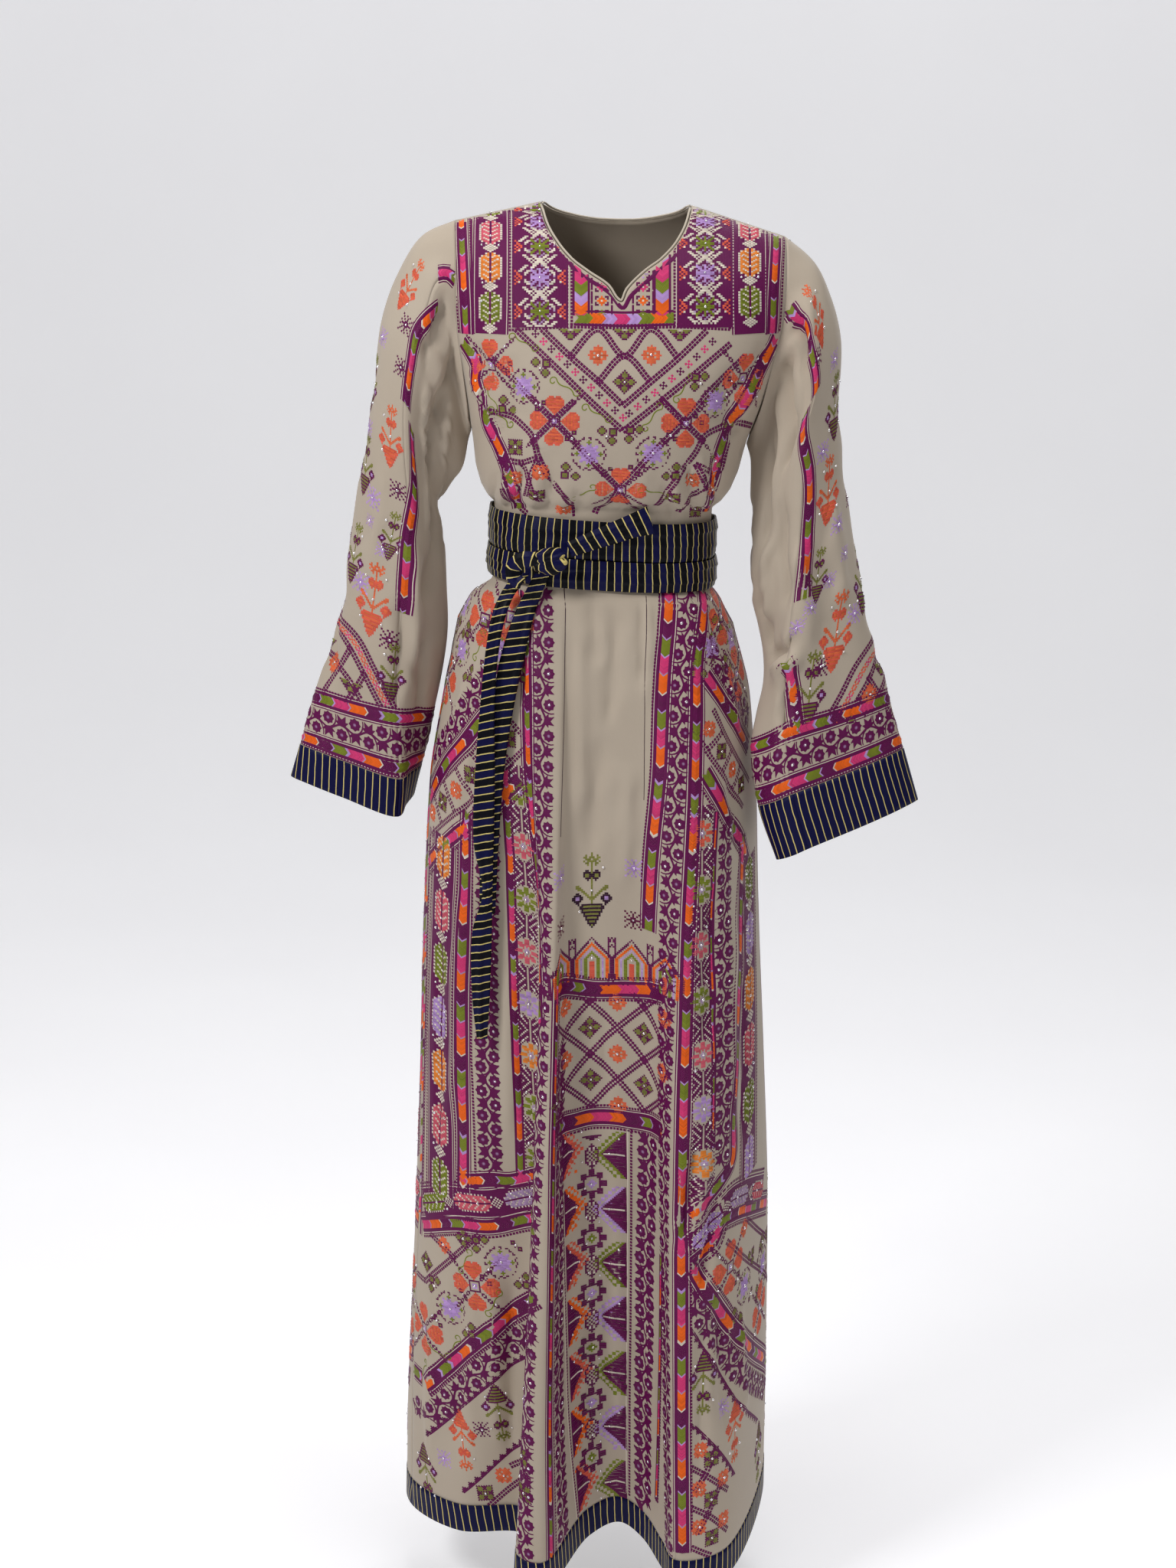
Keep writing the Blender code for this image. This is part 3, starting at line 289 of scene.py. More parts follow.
def skirt_ring(z):
    """Closed ring of control points at nominal height z: front columns, then the back."""
    k = np.interp(-z, -SKIRT_Z, np.arange(len(SKIRT_Z)))
    xs, ys = spline(SKIRT_X, [k])[0], spline(SKIRT_Y, [k])[0]
    low = (z - WAIST_Z) / (HEM_Z0 - WAIST_Z)
    ring = [(xs[k], ys[k], WAIST_Z + low * (HEM_Z[k] - WAIST_Z)) for k in range(NCOL)]
    depth = float(np.interp(-z, -SKIRT_Z, BACK_DEPTH))
    fold = float(np.interp(-z, -SKIRT_Z, BACK_FOLD))
    xr, xl, yr, yl = xs[-1], xs[0], ys[-1], ys[0]
    for k, s in enumerate(BACK_FOLD_AT):
        ang = pi * s
        c, w = (xr + xl) / 2, (xr - xl) / 2
        y0 = yr + (yl - yr) * s
        sign = 1 if k % 2 else -1
        r = 1.0 + sign * fold / 0.16
        x = c + w * np.sign(cos(ang)) * abs(cos(ang)) ** (2 / 2.3) * (1 + 0.4 * (r - 1))
        y = y0 + (depth - y0) * abs(sin(ang)) ** (2 / 2.3) * r
        hem = HEM_BACK_Z - (0.010 if sign > 0 else -0.004)
        ring.append((x, y, WAIST_Z + low * (hem - WAIST_Z)))
    return np.array(ring)


def skirt_at(z, s):
    """Points of the ring at control indices s (may pass the end and wrap)."""
    ring = skirt_ring(z)
    return spline(np.vstack((ring, ring, ring)), len(ring) + np.asarray(s))


def sleeve_ring(row, at):
    """One closed section: top, front seam, inner edge, back seam and round to the top."""
    ox, oy, oz, sx, sy, sz, ix, iy, iz, bulge, by = row
    top, seam, inner = np.array((ox, oy, oz)), np.array((sx, sy, sz)), np.array((ix, iy, iz))
    mid_f = (top + seam) / 2 + np.array((0, -bulge, 0))
    near_f = top + (mid_f - top) * 0.42 + np.array((np.sign(ox) * 0.003, -0.008, 0.002))
    mid_u = (seam + inner) / 2 + np.array((0, -0.008, 0))
    across = inner - top

    def behind(share, depth):
        p = top + across * share
        p[1] += (by - p[1]) * depth
        return p
    share = np.clip(((sx - ox) / (ix - ox) + (sz - oz) / (iz - oz)) / 2, 0.22, 0.66)
    ctrl = np.array((top, near_f, mid_f, seam, mid_u, inner, behind((1 + share) / 2, 0.80), behind(share, 1.0),
                     behind(share * 0.35, 0.62)))
    return spline(np.vstack((ctrl, ctrl, ctrl)), len(ctrl) + at)


def sleeve_grid(left, front, back, n_front, n_back, rows_per, nf, nu):
    """Dense sleeve: rows from the armhole to the cuff's edge, columns from the top line round the front."""
    table, seam_row, col = (SLEEVE_L, 2, 0) if left else (SLEEVE_R, 3, -1)
    at = np.r_[np.linspace(0, 3, nf + 1)[:-1], np.linspace(3, 5, nu + 1)[:-1],
               np.linspace(5, 7, nu + 1)[:-1], np.linspace(7, 9, nf + 1)[:-1]]
    arm_at = np.linspace(0, ARM_ROWS, ARM_ROWS * 6 + 1)

    def edge(grid, nrm):
        k = round((grid.shape[0] - 1) * ARM_ROWS / (BODICE_ROWS - 1))
        inner = 1 if col == 0 else -2
        p, n = grid[:k + 1, col], nrm[:k + 1, col]
        i = np.linspace(0, ARM_ROWS, k + 1)
        out = unit(p - grid[:k + 1, inner])
        low = ease((i / ARM_ROWS - 0.55) / 0.40)
        gap = SEAM * 1.2 * (1 - low) + 0.0012 * np.sin(pi * low)
        p = p + out * gap[:, None] + n * 0.0029 * low[:, None]
        n = n * (1 - low)[:, None]
        return [np.stack([np.interp(arm_at, i, a[:, c]) for c in range(3)], 1) for a in (p, n)]

    def fill(a, s):
        return np.stack([np.interp(s, arm_at, a[:, k]) for k in range(3)], 1)
    fp, fn = edge(front, n_front)
    bp, bn = edge(back, n_back)
    down = np.r_[np.linspace(0, seam_row, nf + 1)[:-1], np.linspace(seam_row, ARM_ROWS, nu + 1)[:-1]]
    up = np.r_[np.linspace(ARM_ROWS, seam_row, nu + 1)[:-1], np.linspace(seam_row, 0, nf + 1)[:-1]]
    first = np.vstack((fill(fp, down), fill(bp, up)))
    rows = np.array([first] + [sleeve_ring(r, at) for r in table])
    k = np.linspace(0, len(rows) - 1, (len(rows) - 1) * rows_per + 1)
    g = np.stack([spline(rows[:, j], k) for j in range(rows.shape[1])], 1)
    return g, k, at


def normals(grid, closed=False):
    g = np.asarray(grid)
    du = np.gradient(g, axis=1)
    if closed:
        du = (np.roll(g, -1, axis=1) - np.roll(g, 1, axis=1)) / 2
    dv = np.gradient(g, axis=0)
    return unit(np.cross(du, dv))


# ------------------------------------------------------------------ the camera's numbers
EYE = np.array((0.0, -3.02, -0.06))
FOCAL = 3600.0                      # pixels over a frame 1536 by 2048
YAW, PITCH, ROLL = radians(0.25956797), radians(10.752), radians(1.5)
FW = np.array((-sin(YAW) * cos(PITCH), cos(YAW) * cos(PITCH), -sin(PITCH)))
RIGHT0 = np.array((cos(YAW), sin(YAW), 0.0))
UP0 = np.cross(RIGHT0, FW)
RIGHT = RIGHT0 * cos(ROLL) + UP0 * sin(ROLL)
UP = -RIGHT0 * sin(ROLL) + UP0 * cos(ROLL)

# ------------------------------------------------------------------ cloth surfaces with their own coordinates
class Cloth:
    """A dense grid of points with u across and v down along the cloth, in metres."""

    def __init__(self, grid, u, v, outward, closed=False):
        self.closed = closed
        self.p = np.array(grid, float)
        self.u = np.array(u, float)
        self.v = np.array(v, float)
        self.flip = 1.0
        self.fix(outward)

    def fix(self, outward=None):
        """Normals of the grid; outward is a row, column and direction that they agree with."""
        g = self.p
        if self.closed:        # the last column repeats the first
            du = np.concatenate((g[:, 1:2] - g[:, -2:-1], g[:, 2:] - g[:, :-2], g[:, 1:2] - g[:, -2:-1]), axis=1)
        else:
            du = np.gradient(g, axis=1)
        n = unit(np.cross(du, np.gradient(g, axis=0)))
        if outward is not None:
            i, j, d = outward
            self.flip = 1.0 if n[i, j] @ np.array(d) > 0 else -1.0
        self.n = n * self.flip

    def locate(self, u, v):
        """Row and column positions of cloth coordinates, and which of them lie on the cloth."""
        u, v = np.asarray(u, float), np.asarray(v, float)
        m, n = self.u.shape
        r = np.interp(v, self.v, np.arange(m))
        r0 = np.clip(np.floor(r).astype(int), 0, m - 2)
        f = r - r0
        if not hasattr(self, "flat"):
            self.flat = (self.u + np.arange(m)[:, None] * 10.0).ravel()
        js = []
        for k in (0, 1):
            row = r0 + k
            lo, hi = self.u[row, 0], self.u[row, -1]
            uc = np.clip(u, lo, hi)
            at = np.searchsorted(self.flat, (uc + row * 10.0).ravel()).reshape(u.shape) - 1
            j0 = np.clip(at - row * n, 0, n - 2)
            a, b = self.u[row, j0], self.u[row, j0 + 1]
            js.append(j0 + np.clip((uc - a) / np.maximum(b - a, 1e-9), 0, 1))
        j = js[0] * (1 - f) + js[1] * f
        lo = self.u[r0, 0] * (1 - f) + self.u[r0 + 1, 0] * f
        hi = self.u[r0, -1] * (1 - f) + self.u[r0 + 1, -1] * f
        on = (u >= lo) & (u <= hi) & (v >= self.v[0]) & (v <= self.v[-1])
        return r, j, on

    def grid_at(self, a, r, j):
        m, n = a.shape[:2]
        r0 = np.clip(np.floor(r).astype(int), 0, m - 2)
        j0 = np.clip(np.floor(j).astype(int), 0, n - 2)
        f, g = (r - r0)[..., None], (j - j0)[..., None]
        if a.ndim == 2:
            f, g = f[..., 0], g[..., 0]
        return (a[r0, j0] * (1 - f) * (1 - g) + a[r0, j0 + 1] * (1 - f) * g
                + a[r0 + 1, j0] * f * (1 - g) + a[r0 + 1, j0 + 1] * f * g)

    def at(self, u, v, h):
        """Points at height h over the outer face, and which lie on the cloth."""
        r, j, on = self.locate(u, v)
        return self.grid_at(self.p, r, j) + unit(self.grid_at(self.n, r, j)) * np.asarray(h)[..., None], on

    def find(self, px, py):
        """Cloth coordinates seen at pixels of the photo's frame; the nearest point facing the camera."""
        if not hasattr(self, "seen"):
            q = self.p + self.n * 0.001
            w = q - EYE
            depth = w @ FW
            self.sx = 768 + FOCAL * (w @ RIGHT) / depth
            self.sy = 1024 - FOCAL * (w @ UP) / depth
            self.seen = np.sum(self.n * w, axis=-1) < 0
            self.depth = depth
        px, py = np.atleast_1d(px), np.atleast_1d(py)
        out = []
        for x, y in zip(px, py):
            dist = np.hypot(self.sx - x, self.sy - y) + np.where(self.seen, 0, 1e4)
            near = dist < dist.min() + 9
            dist = dist + np.where(near, 60 * (self.depth - self.depth[near].min()), 0)
            i, j = np.unravel_index(np.argmin(dist), dist.shape)
            i = min(max(i, 1), self.u.shape[0] - 2)
            j = min(max(j, 1), self.u.shape[1] - 2)
            a = np.array(((self.sx[i, j + 1] - self.sx[i, j - 1], self.sx[i + 1, j] - self.sx[i - 1, j]),
                          (self.sy[i, j + 1] - self.sy[i, j - 1], self.sy[i + 1, j] - self.sy[i - 1, j]))) / 2
            if abs(np.linalg.det(a)) > 1e-3:
                s = np.clip(np.linalg.solve(a, (x - self.sx[i, j], y - self.sy[i, j])), -1.5, 1.5)
            else:
                s = (0, 0)
            r = min(max(i + s[1], 0), self.u.shape[0] - 1.001)
            c = min(max(j + s[0], 0), self.u.shape[1] - 1.001)
            out.append((float(self.grid_at(self.u, np.array(r), np.array(c))),
                        float(np.interp(r, np.arange(len(self.v)), self.v))))
        return np.array(out)


# ---- skirt: one ring, columns closer together at the folds
SKIRT_STEPS = (20, 18, 13, 9, 15, 10, 10, 10, 9, 12, 20, 10, 10, 9, 10, 10, 9, 10, 10, 12)
s_at = np.concatenate([k + np.arange(n) / n for k, n in enumerate(SKIRT_STEPS)] + [[len(SKIRT_STEPS)]])
COL_OF = np.r_[0, np.cumsum(SKIRT_STEPS)]          # grid column of each control column
s_v = np.linspace(0, WAIST_Z - HEM_Z0, 214)
ring_rows = np.array([skirt_at(WAIST_Z - v, s_at) for v in s_v])
arc = np.concatenate((np.zeros((len(s_v), 1)), np.cumsum(np.linalg.norm(np.diff(ring_rows, axis=1), axis=2), axis=1)), axis=1)
s_u = arc - arc[:, [COL_OF[COL["centre"]]]]
skirt = Cloth(ring_rows, s_u, s_v, (100, COL_OF[COL["centre"]], (0, -1, 0)), closed=True)


def u_of(name, v):
    """Where a control column of the skirt lies at distances v below the waist."""
    k = COL_OF[COL[name]] if name in COL else COL_OF[-1]
    return np.interp(v, s_v, s_u[:, k])


# ---- bodice: the sewn panels, and square coordinates on the same form for what lies on them
BOD_M = 92
BOD_FINE = 4
b_v_line = torso_point(0.118, np.linspace(-0.004, WAIST_Z, 400))
b_v_len = np.r_[0, np.cumsum(np.linalg.norm(np.diff(b_v_line, axis=0), axis=1))]


def bodice_v(z):
    """Distance down the bodice from the shoulder, the same across it."""
    return np.interp(-np.asarray(z), -b_v_line[:, 2], b_v_len) + np.minimum(-0.004 - np.asarray(z), 0) * 2.0


def bodice_z(v):
    return np.where(v < 0, -0.004 - v / 2.0, np.interp(v, b_v_len, b_v_line[:, 2]))


phi = np.sign(np.linspace(-1, 1, 201)) * abs(np.linspace(-1, 1, 201)) ** 0.92 * pi / 2


def bodice_pair(back):
    zs = bodice_z(np.linspace(bodice_v(0.012), bodice_v(WAIST_Z), 136))
    x = torso_x(phi[None, :], zs[:, None])
    g = torso_point(x, zs[:, None] + 0 * x, back)
    flat = torso_point(x, np.minimum(zs[:, None], -0.095) + 0 * x, back)     # widths without the shoulder's roll
    a = np.concatenate((np.zeros((len(zs), 1)), np.cumsum(np.linalg.norm(np.diff(flat, axis=1), axis=2), axis=1)), axis=1)
    mid = np.array([np.interp(0.004, x[i], a[i]) for i in range(len(zs))])
    u = a - mid[:, None]
    square = Cloth(g, u, bodice_v(zs), (90, 100, (0, 1 if back else -1, 0)))
    panel = bodice_grid(back, BOD_M, BOD_FINE)
    pv = bodice_v(panel[..., 2])
    rows = np.interp(pv, square.v, np.arange(len(square.v)))
    r0 = np.clip(np.floor(rows).astype(int), 0, len(zs) - 2)
    pu = np.zeros_like(pv)
    for k, w in ((0, 1 - (rows - r0)), (1, rows - r0)):
        for r in np.unique(r0 + k):
            sel = (r0 + k) == r
            pu[sel] += w[sel] * np.interp(panel[..., 0][sel], x[r], u[r])
    sewn = Cloth(panel, pu, np.linspace(0, 1, BOD_M), (40, panel.shape[1] // 2, (0, 1 if back else -1, 0)))
    sewn.vv = pv
    rim = np.vstack((panel[0], panel[1:, -1], panel[-1, ::-1][1:], panel[::-1, 0][1:]))[:, (0, 2)]
    square.rim = rim
    return square, sewn


def in_rim(rim, x, z, back_off=0.0):
    """Even-odd test against a closed outline in x and z."""
    x, z = np.asarray(x), np.asarray(z)
    inside = np.zeros(x.shape, bool)
    a, b = rim, np.roll(rim, -1, axis=0)
    for (xa, za), (xb, zb) in zip(a, b):
        if za == zb:
            continue
        cross = (za > z) != (zb > z)
        inside ^= cross & (x < (xb - xa) * (z - za) / (zb - za) + xa)
    return inside


bod_f, sewn_f = bodice_pair(False)
bod_b, sewn_b = bodice_pair(True)

# ---- sleeves: from the armhole to the cuff's edge, columns from the back seam over the top and round
SL_ROWS, SL_F, SL_U = 12, 26, 20
SL_SEAM = 2 * SL_F                 # column of the front seam, after the columns are turned
SL_TOP = SL_F


def sleeve_cloth(left):
    g, k, at = sleeve_grid(left, sewn_f.p, sewn_b.p, sewn_f.n, sewn_b.n, SL_ROWS, SL_F, SL_U)
    g = np.roll(g, SL_F, axis=1)
    g = np.concatenate((g, g[:, :1]), axis=1)
    a = np.concatenate((np.zeros((len(g), 1)), np.cumsum(np.linalg.norm(np.diff(g, axis=1), axis=2), axis=1)), axis=1)
    line = g[:, SL_TOP + 17]
    v = np.r_[0, np.cumsum(np.linalg.norm(np.diff(line, axis=0), axis=1))]
    return Cloth(g, a - a[:, [SL_SEAM]], v - v[-1], (90, SL_TOP + 14, (0, -1, 0)), closed=True)


sleeve = {"left": sleeve_cloth(True), "right": sleeve_cloth(False)}

# ------------------------------------------------------------------ creases, pressed into the cloths before anything lies on them
# x0, y0, x1, y1 in the photo's frame, half width, depth (troughs below 0), bow, in metres
SKIRT_CREASES = (
    (800, 775, 792, 960, .010, -.0036, .004), (772, 772, 778, 880, .008, -.0028, 0), (845, 774, 846, 930, .006, .0024, 0),
    (836, 778, 838, 900, .005, -.0022, 0), (790, 950, 772, 1130, .012, -.0034, -.004), (822, 990, 815, 1170, .010, .0028, 0),
    (756, 800, 758, 1100, .008, .0026, .002), (652, 782, 604, 900, .008, -.0032, .004), (640, 810, 584, 960, .010, .0028, .004),
    (690, 792, 678, 930, .006, -.0024, 0), (922, 785, 950, 900, .008, -.0032, .004), (930, 820, 966, 960, .009, .0028, 0),
    (640, 1130, 636, 1400, .012, -.0034, .003), (602, 1150, 592, 1480, .014, .0034, 0), (576, 1200, 571, 1500, .008, -.0030, 0),
    (662, 1250, 664, 1500, .009, .0028, 0), (930, 1150, 925, 1380, .010, -.0034, 0), (956, 1180, 954, 1500, .012, .0032, 0),
    (974, 1250, 971, 1500, .008, -.0030, 0), (908, 1476, 886, 1640, .008, -.0054, .004), (926, 1500, 906, 1610, .008, .0050, 0),
    (936, 1560, 915, 1690, .007, -.0046, 0), (602, 1640, 587, 1930, .014, -.0040, .004), (640, 1620, 650, 1900, .012, .0034, 0),
    (670, 1650, 668, 1930, .009, -.0034, 0), (567, 1660, 562, 1930, .010, .0032, 0), (940, 1680, 950, 1880, .012, -.0046, 0),
    (964, 1700, 972, 1860, .010, .0040, 0), (918, 1700, 915, 1960, .009, -.0034, 0), (790, 1300, 792, 1450, .010, -.0024, 0),
    (800, 1480, 806, 1900, .014, .0026, .003), (785, 1600, 790, 1900, .008, -.0028, 0), (760, 1700, 768, 1930, .010, -.0028, 0),
    (848, 1500, 846, 1900, .008, .0022, 0), (626, 960, 598, 1090, .009, -.0030, .003), (948, 1010, 966, 1120, .009, -.0030, .003))
BODICE_CREASES = (
    (640, 672, 650, 604, .0045, -.0030, 0), (655, 676, 667, 588, .0050, .0026, .003), (672, 676, 688, 592, .0046, -.0034, .003),
    (692, 678, 703, 604, .0050, .0026, 0), (712, 680, 722, 596, .0044, -.0030, 0), (732, 682, 742, 622, .0050, .0022, 0),
    (752, 684, 757, 632, .0044, -.0022, 0), (874, 684, 868, 622, .0044, -.0024, 0), (890, 682, 882, 600, .0050, .0024, 0),
    (906, 680, 896, 594, .0046, -.0034, -.003), (921, 678, 912, 586, .0050, .0026, -.003), (934, 674, 930, 584, .0044, -.0030, 0),
    (608, 446, 652, 512, .009, -.0036, .004), (604, 482, 646, 548, .007, .0030, .003), (618, 516, 662, 570, .007, -.0032, 0),
    (1008, 452, 962, 514, .009, -.0036, -.004), (1004, 490, 958, 552, .007, .0030, -.003), (992, 528, 944, 576, .007, -.0032, 0),
    (660, 462, 672, 560, .014, -.0030, .004), (962, 470, 946, 566, .014, -.0030, -.004), (700, 560, 712, 640, .010, .0022, 0),
    (800, 590, 806, 668, .012, -.0018, 0), (842, 600, 838, 668, .010, .0016, 0))
SLEEVE_CREASES = {
    "left": ((590, 402, 548, 470, .010, -.0046, .004), (598, 440, 560, 522, .008, .0036, 0), (595, 470, 568, 560, .008, -.0048, 0),
             (581, 500, 560, 640, .010, -.0050, .004), (566, 480, 552, 600, .008, .0036, 0), (588, 540, 578, 610, .007, .0036, 0),
             (560, 640, 548, 800, .012, -.0048, .004), (545, 700, 540, 880, .010, .0040, 0), (529, 770, 517, 930, .010, -.0036, .003),
             (470, 450, 452, 620, .012, -.0026, 0), (500, 600, 482, 760, .014, .0026, 0), (440, 720, 427, 900, .012, -.0030, 0),
             (554, 820, 548, 940, .008, -.0036, 0), (560, 560, 556, 700, .007, .0030, .003)),
    "right": ((1020, 422, 1050, 500, .010, -.0046, .004), (1010, 452, 1040, 560, .008, .0036, 0), (1004, 482, 1028, 620, .009, -.0050, .004),
              (1000, 522, 1012, 680, .009, .0036, 0), (997, 562, 1002, 720, .008, -.0046, 0), (1020, 640, 1030, 800, .010, -.0042, .004),
              (1003, 700, 1003, 830, .010, .0040, 0), (1040, 700, 1060, 860, .012, .0034, 0), (992, 770, 1008, 856, .008, -.0050, 0),
              (1004, 852, 1046, 842, .009, -.0046, .003), (1006, 872, 1050, 868, .008, .0034, .003), (1100, 480, 1115, 660, .012, -.0026, 0),
              (1085, 640, 1104, 800, .014, .0024, 0), (1148, 740, 1158, 880, .012, -.0030, 0), (1020, 872, 1030, 960, .009, -.0040, 0))}


def placed(cloth, rows):
    a = np.array(rows, float)
    p0, p1 = cloth.find(a[:, 0], a[:, 1]), cloth.find(a[:, 2], a[:, 3])
    if cloth is skirt:
        for p in (p0, p1):
            far = p[:, 0] > 0.62
            p[far, 0] = u_of("side_l", p[far, 1]) + 0.004
    del cloth.seen
    return [(p0[k, 1], p0[k, 0], p1[k, 1], p1[k, 0], *a[k, 4:]) for k in range(len(a))]


def pressed(cloth, rows, vv=None, keep=None, share=1.5):
    """Move the cloth along its normals by all creases together; keep is a share per point that may move."""
    if vv is None:
        vv = np.repeat(cloth.v[:, None], cloth.u.shape[1], axis=1)
    d = np.zeros_like(cloth.u)
    for v0, u0, v1, u1, hw, depth, bow in rows:
        ln = sqrt((v1 - v0) ** 2 + (u1 - u0) ** 2)
        t = ((vv - v0) * (v1 - v0) + (cloth.u - u0) * (u1 - u0)) / ln ** 2
        tc = np.clip(t, 0, 1)
        lat = bow * 4 * tc * (1 - tc)
        pu = u0 + tc * (u1 - u0) + lat * (v1 - v0) / ln
        pv = v0 + tc * (v1 - v0) - lat * (u1 - u0) / ln
        dist = np.hypot(cloth.u - pu, vv - pv)
        fade = ease(np.minimum(tc, 1 - tc) / 0.24)
        wide = hw * (0.70 + 0.6 * np.sin(7 * tc + 40 * u0) ** 2)
        d += share * depth * fade * np.exp(-(dist / (0.85 * wide)) ** 2)
    if keep is not None:
        d *= keep
    cloth.p = cloth.p + cloth.n * d[..., None]
    cloth.fix()


rows = placed(skirt, SKIRT_CREASES)
for k, (f, a, b, hw, dp) in enumerate(((.07, .10, .62, .010, -.0036), (.13, .28, 1.02, .012, .0034), (.21, .05, .48, .010, -.0034), (.28, .40, 1.06, .013, -.0042),
                                       (.36, .12, .70, .011, .0034), (.44, .05, .40, .010, -.0034), (.50, .48, 1.04, .014, .0036), (.57, .10, .66, .010, -.0032),
                                       (.64, .35, 1.05, .012, -.0042), (.72, .05, .52, .010, .0034), (.79, .30, .98, .012, -.0036), (.87, .12, .60, .010, .0032),
                                       (.94, .40, 1.02, .010, -.0034))):
    lo_, hi_ = u_of("side_r", np.array((a, b))), np.interp((a, b), s_v, s_u[:, -1])
    rows.append((a, lo_[0] + (hi_[0] - lo_[0]) * f, b, lo_[1] + (hi_[1] - lo_[1]) * (f + 0.012 * sin(7 * k)), hw, dp, 0.006 * sin(5 * k)))
pressed(skirt, rows)


def rim_share(cloth, p):
    """0 at the shoulder, neck, armhole and side edges of a bodice panel, 1 away from them."""
    line = cloth.rim[cloth.rim[:, 1] > -0.300]
    d = np.full(p.shape[:2], 9.0)
    for x, z in line[::3]:
        d = np.minimum(d, np.hypot(p[..., 0] - x, p[..., 2] - z))
    return ease(np.clip((d - 0.002) / 0.016, 0, 1))


rows = placed(bod_f, BODICE_CREASES)
share = rim_share(bod_f, sewn_f.p)
pressed(sewn_f, rows, sewn_f.vv, share)
pressed(bod_f, rows, None, rim_share(bod_f, bod_f.p))
rows = [(v0, u0, v1, u1, hw, dp, bow) for u0, v0, u1, v1, hw, dp, bow in (
    (-.100, .405, -.096, .330, .0050, -.0030, 0), (-.078, .410, -.074, .320, .0050, .0026, .003), (-.055, .412, -.052, .340, .0046, -.0030, 0),
    (-.030, .414, -.030, .350, .0050, .0022, 0), (.022, .414, .020, .345, .0046, -.0026, 0), (.048, .412, .046, .325, .0050, .0026, .003),
    (.072, .410, .068, .335, .0046, -.0032, 0), (.096, .405, .092, .320, .0050, .0024, 0), (-.135, .150, -.080, .240, .011, -.0032, .004),
    (.140, .155, .084, .245, .011, -.0032, -.004), (-.130, .210, -.078, .290, .008, .0026, 0), (.132, .215, .080, .295, .008, .0026, 0),
    (-.020, .120, -.030, .300, .014, -.0022, 0))]
share = rim_share(bod_b, sewn_b.p)
pressed(sewn_b, rows, sewn_b.vv, share)
pressed(bod_b, rows, None, rim_share(bod_b, bod_b.p))
for side, cl in sleeve.items():
    rows = placed(cl, SLEEVE_CREASES[side])
    top, wide_u = float(cl.v[0]), float(cl.u[70, -1])
    for k, (f, a, b, hw, dp) in enumerate(((.50, .12, .46, .009, -.0044), (.62, .22, .62, .010, .0036), (.74, .10, .40, .009, -.0040), (.86, .34, .80, .011, -.0040),
                                           (.68, .58, .94, .011, -.0036), (.95, .15, .50, .010, .0034))):
        va, vb = top * (1 - a), top * (1 - b)
        ra, rb = (cl.u[int(np.argmin(abs(cl.v - q))), -1] for q in (va, vb))
        rows.append((va, ra * f, vb, rb * (f + 0.03 * sin(6 * k)), hw, dp, 0.005 * sin(3 * k + 1)))
    edge = ease(np.clip((cl.v - top) / 0.03, 0, 1))[:, None] * np.ones_like(cl.u)
    ends = ease(np.clip(np.minimum(cl.u - cl.u[:, :1], cl.u[:, -1:] - cl.u) / 0.010, 0, 1))
    pressed(cl, rows, None, edge * ends, 2.1)


# ------------------------------------------------------------------ embroidery: small raised stitches on a cloth
RNG = np.random.default_rng(7)
RNG2 = np.random.default_rng(11)
COLOURS = {"P": (100, 3, 76), "D": (46, 6, 38), "A": (226, 106, 64), "E": (128, 128, 58), "M": (214, 92, 110), "Q": (236, 136, 50), "O": (242, 102, 18), "K": (216, 56, 118), "L": (188, 150, 212), "G": (122, 132, 34),
           "C": (222, 92, 70), "W": (224, 212, 196), "S": (176, 146, 184), "R": (196, 44, 84), "B": (96, 10, 60)}


def srgb(code):
    return np.array([(c / 255 / 12.92 if c / 255 <= 0.04045 else ((c / 255 + 0.055) / 1.055) ** 2.4) for c in COLOURS[code]])


RGB = {k: srgb(k) for k in COLOURS}
BASE = 0.00102         # stitches start on the cloth's face


class Strip:
    """A band on the cloth: x across from its middle, y along it, in metres."""

    def __init__(self, points, swing=None):
        p = spline(np.array(points, float), np.linspace(0, len(points) - 1, 40 * (len(points) - 1) + 1)) if len(points) > 2 else \
            np.linspace(points[0], points[1], 60)
        self.s = np.r_[0, np.cumsum(np.linalg.norm(np.diff(p, axis=0), axis=1))]
        self.p = p
        t = unit(np.gradient(p, axis=0))
        self.q = np.stack((-t[:, 1], t[:, 0]), 1) * -1.0     # to the right of a band that runs down
        self.t = t
        self.length = self.s[-1]

    def __call__(self, x, y):
        x, y = np.broadcast_arrays(np.asarray(x, float), np.asarray(y, float))
        pu = [np.interp(y, self.s, self.p[:, k]) for k in (0, 1)]
        qu = [np.interp(y, self.s, self.q[:, k]) for k in (0, 1)]
        over = np.minimum(y, 0) + np.maximum(y - self.length, 0)
        tu = [np.where(y < 0, self.t[0, k], self.t[-1, k]) for k in (0, 1)]
        return np.stack([pu[k] + qu[k] * x + tu[k] * over for k in (0, 1)], -1)


def patch(u0, v0, turn=0.0, scale=1.0):
    """A flat local frame on the cloth: x to the right, y down."""
    c, s = cos(radians(turn)) * scale, sin(radians(turn)) * scale

    def at(x, y):
        x, y = np.broadcast_arrays(np.asarray(x, float), np.asarray(y, float))
        return np.stack((u0 + c * x - s * y, v0 + s * x + c * y), -1)
    return at


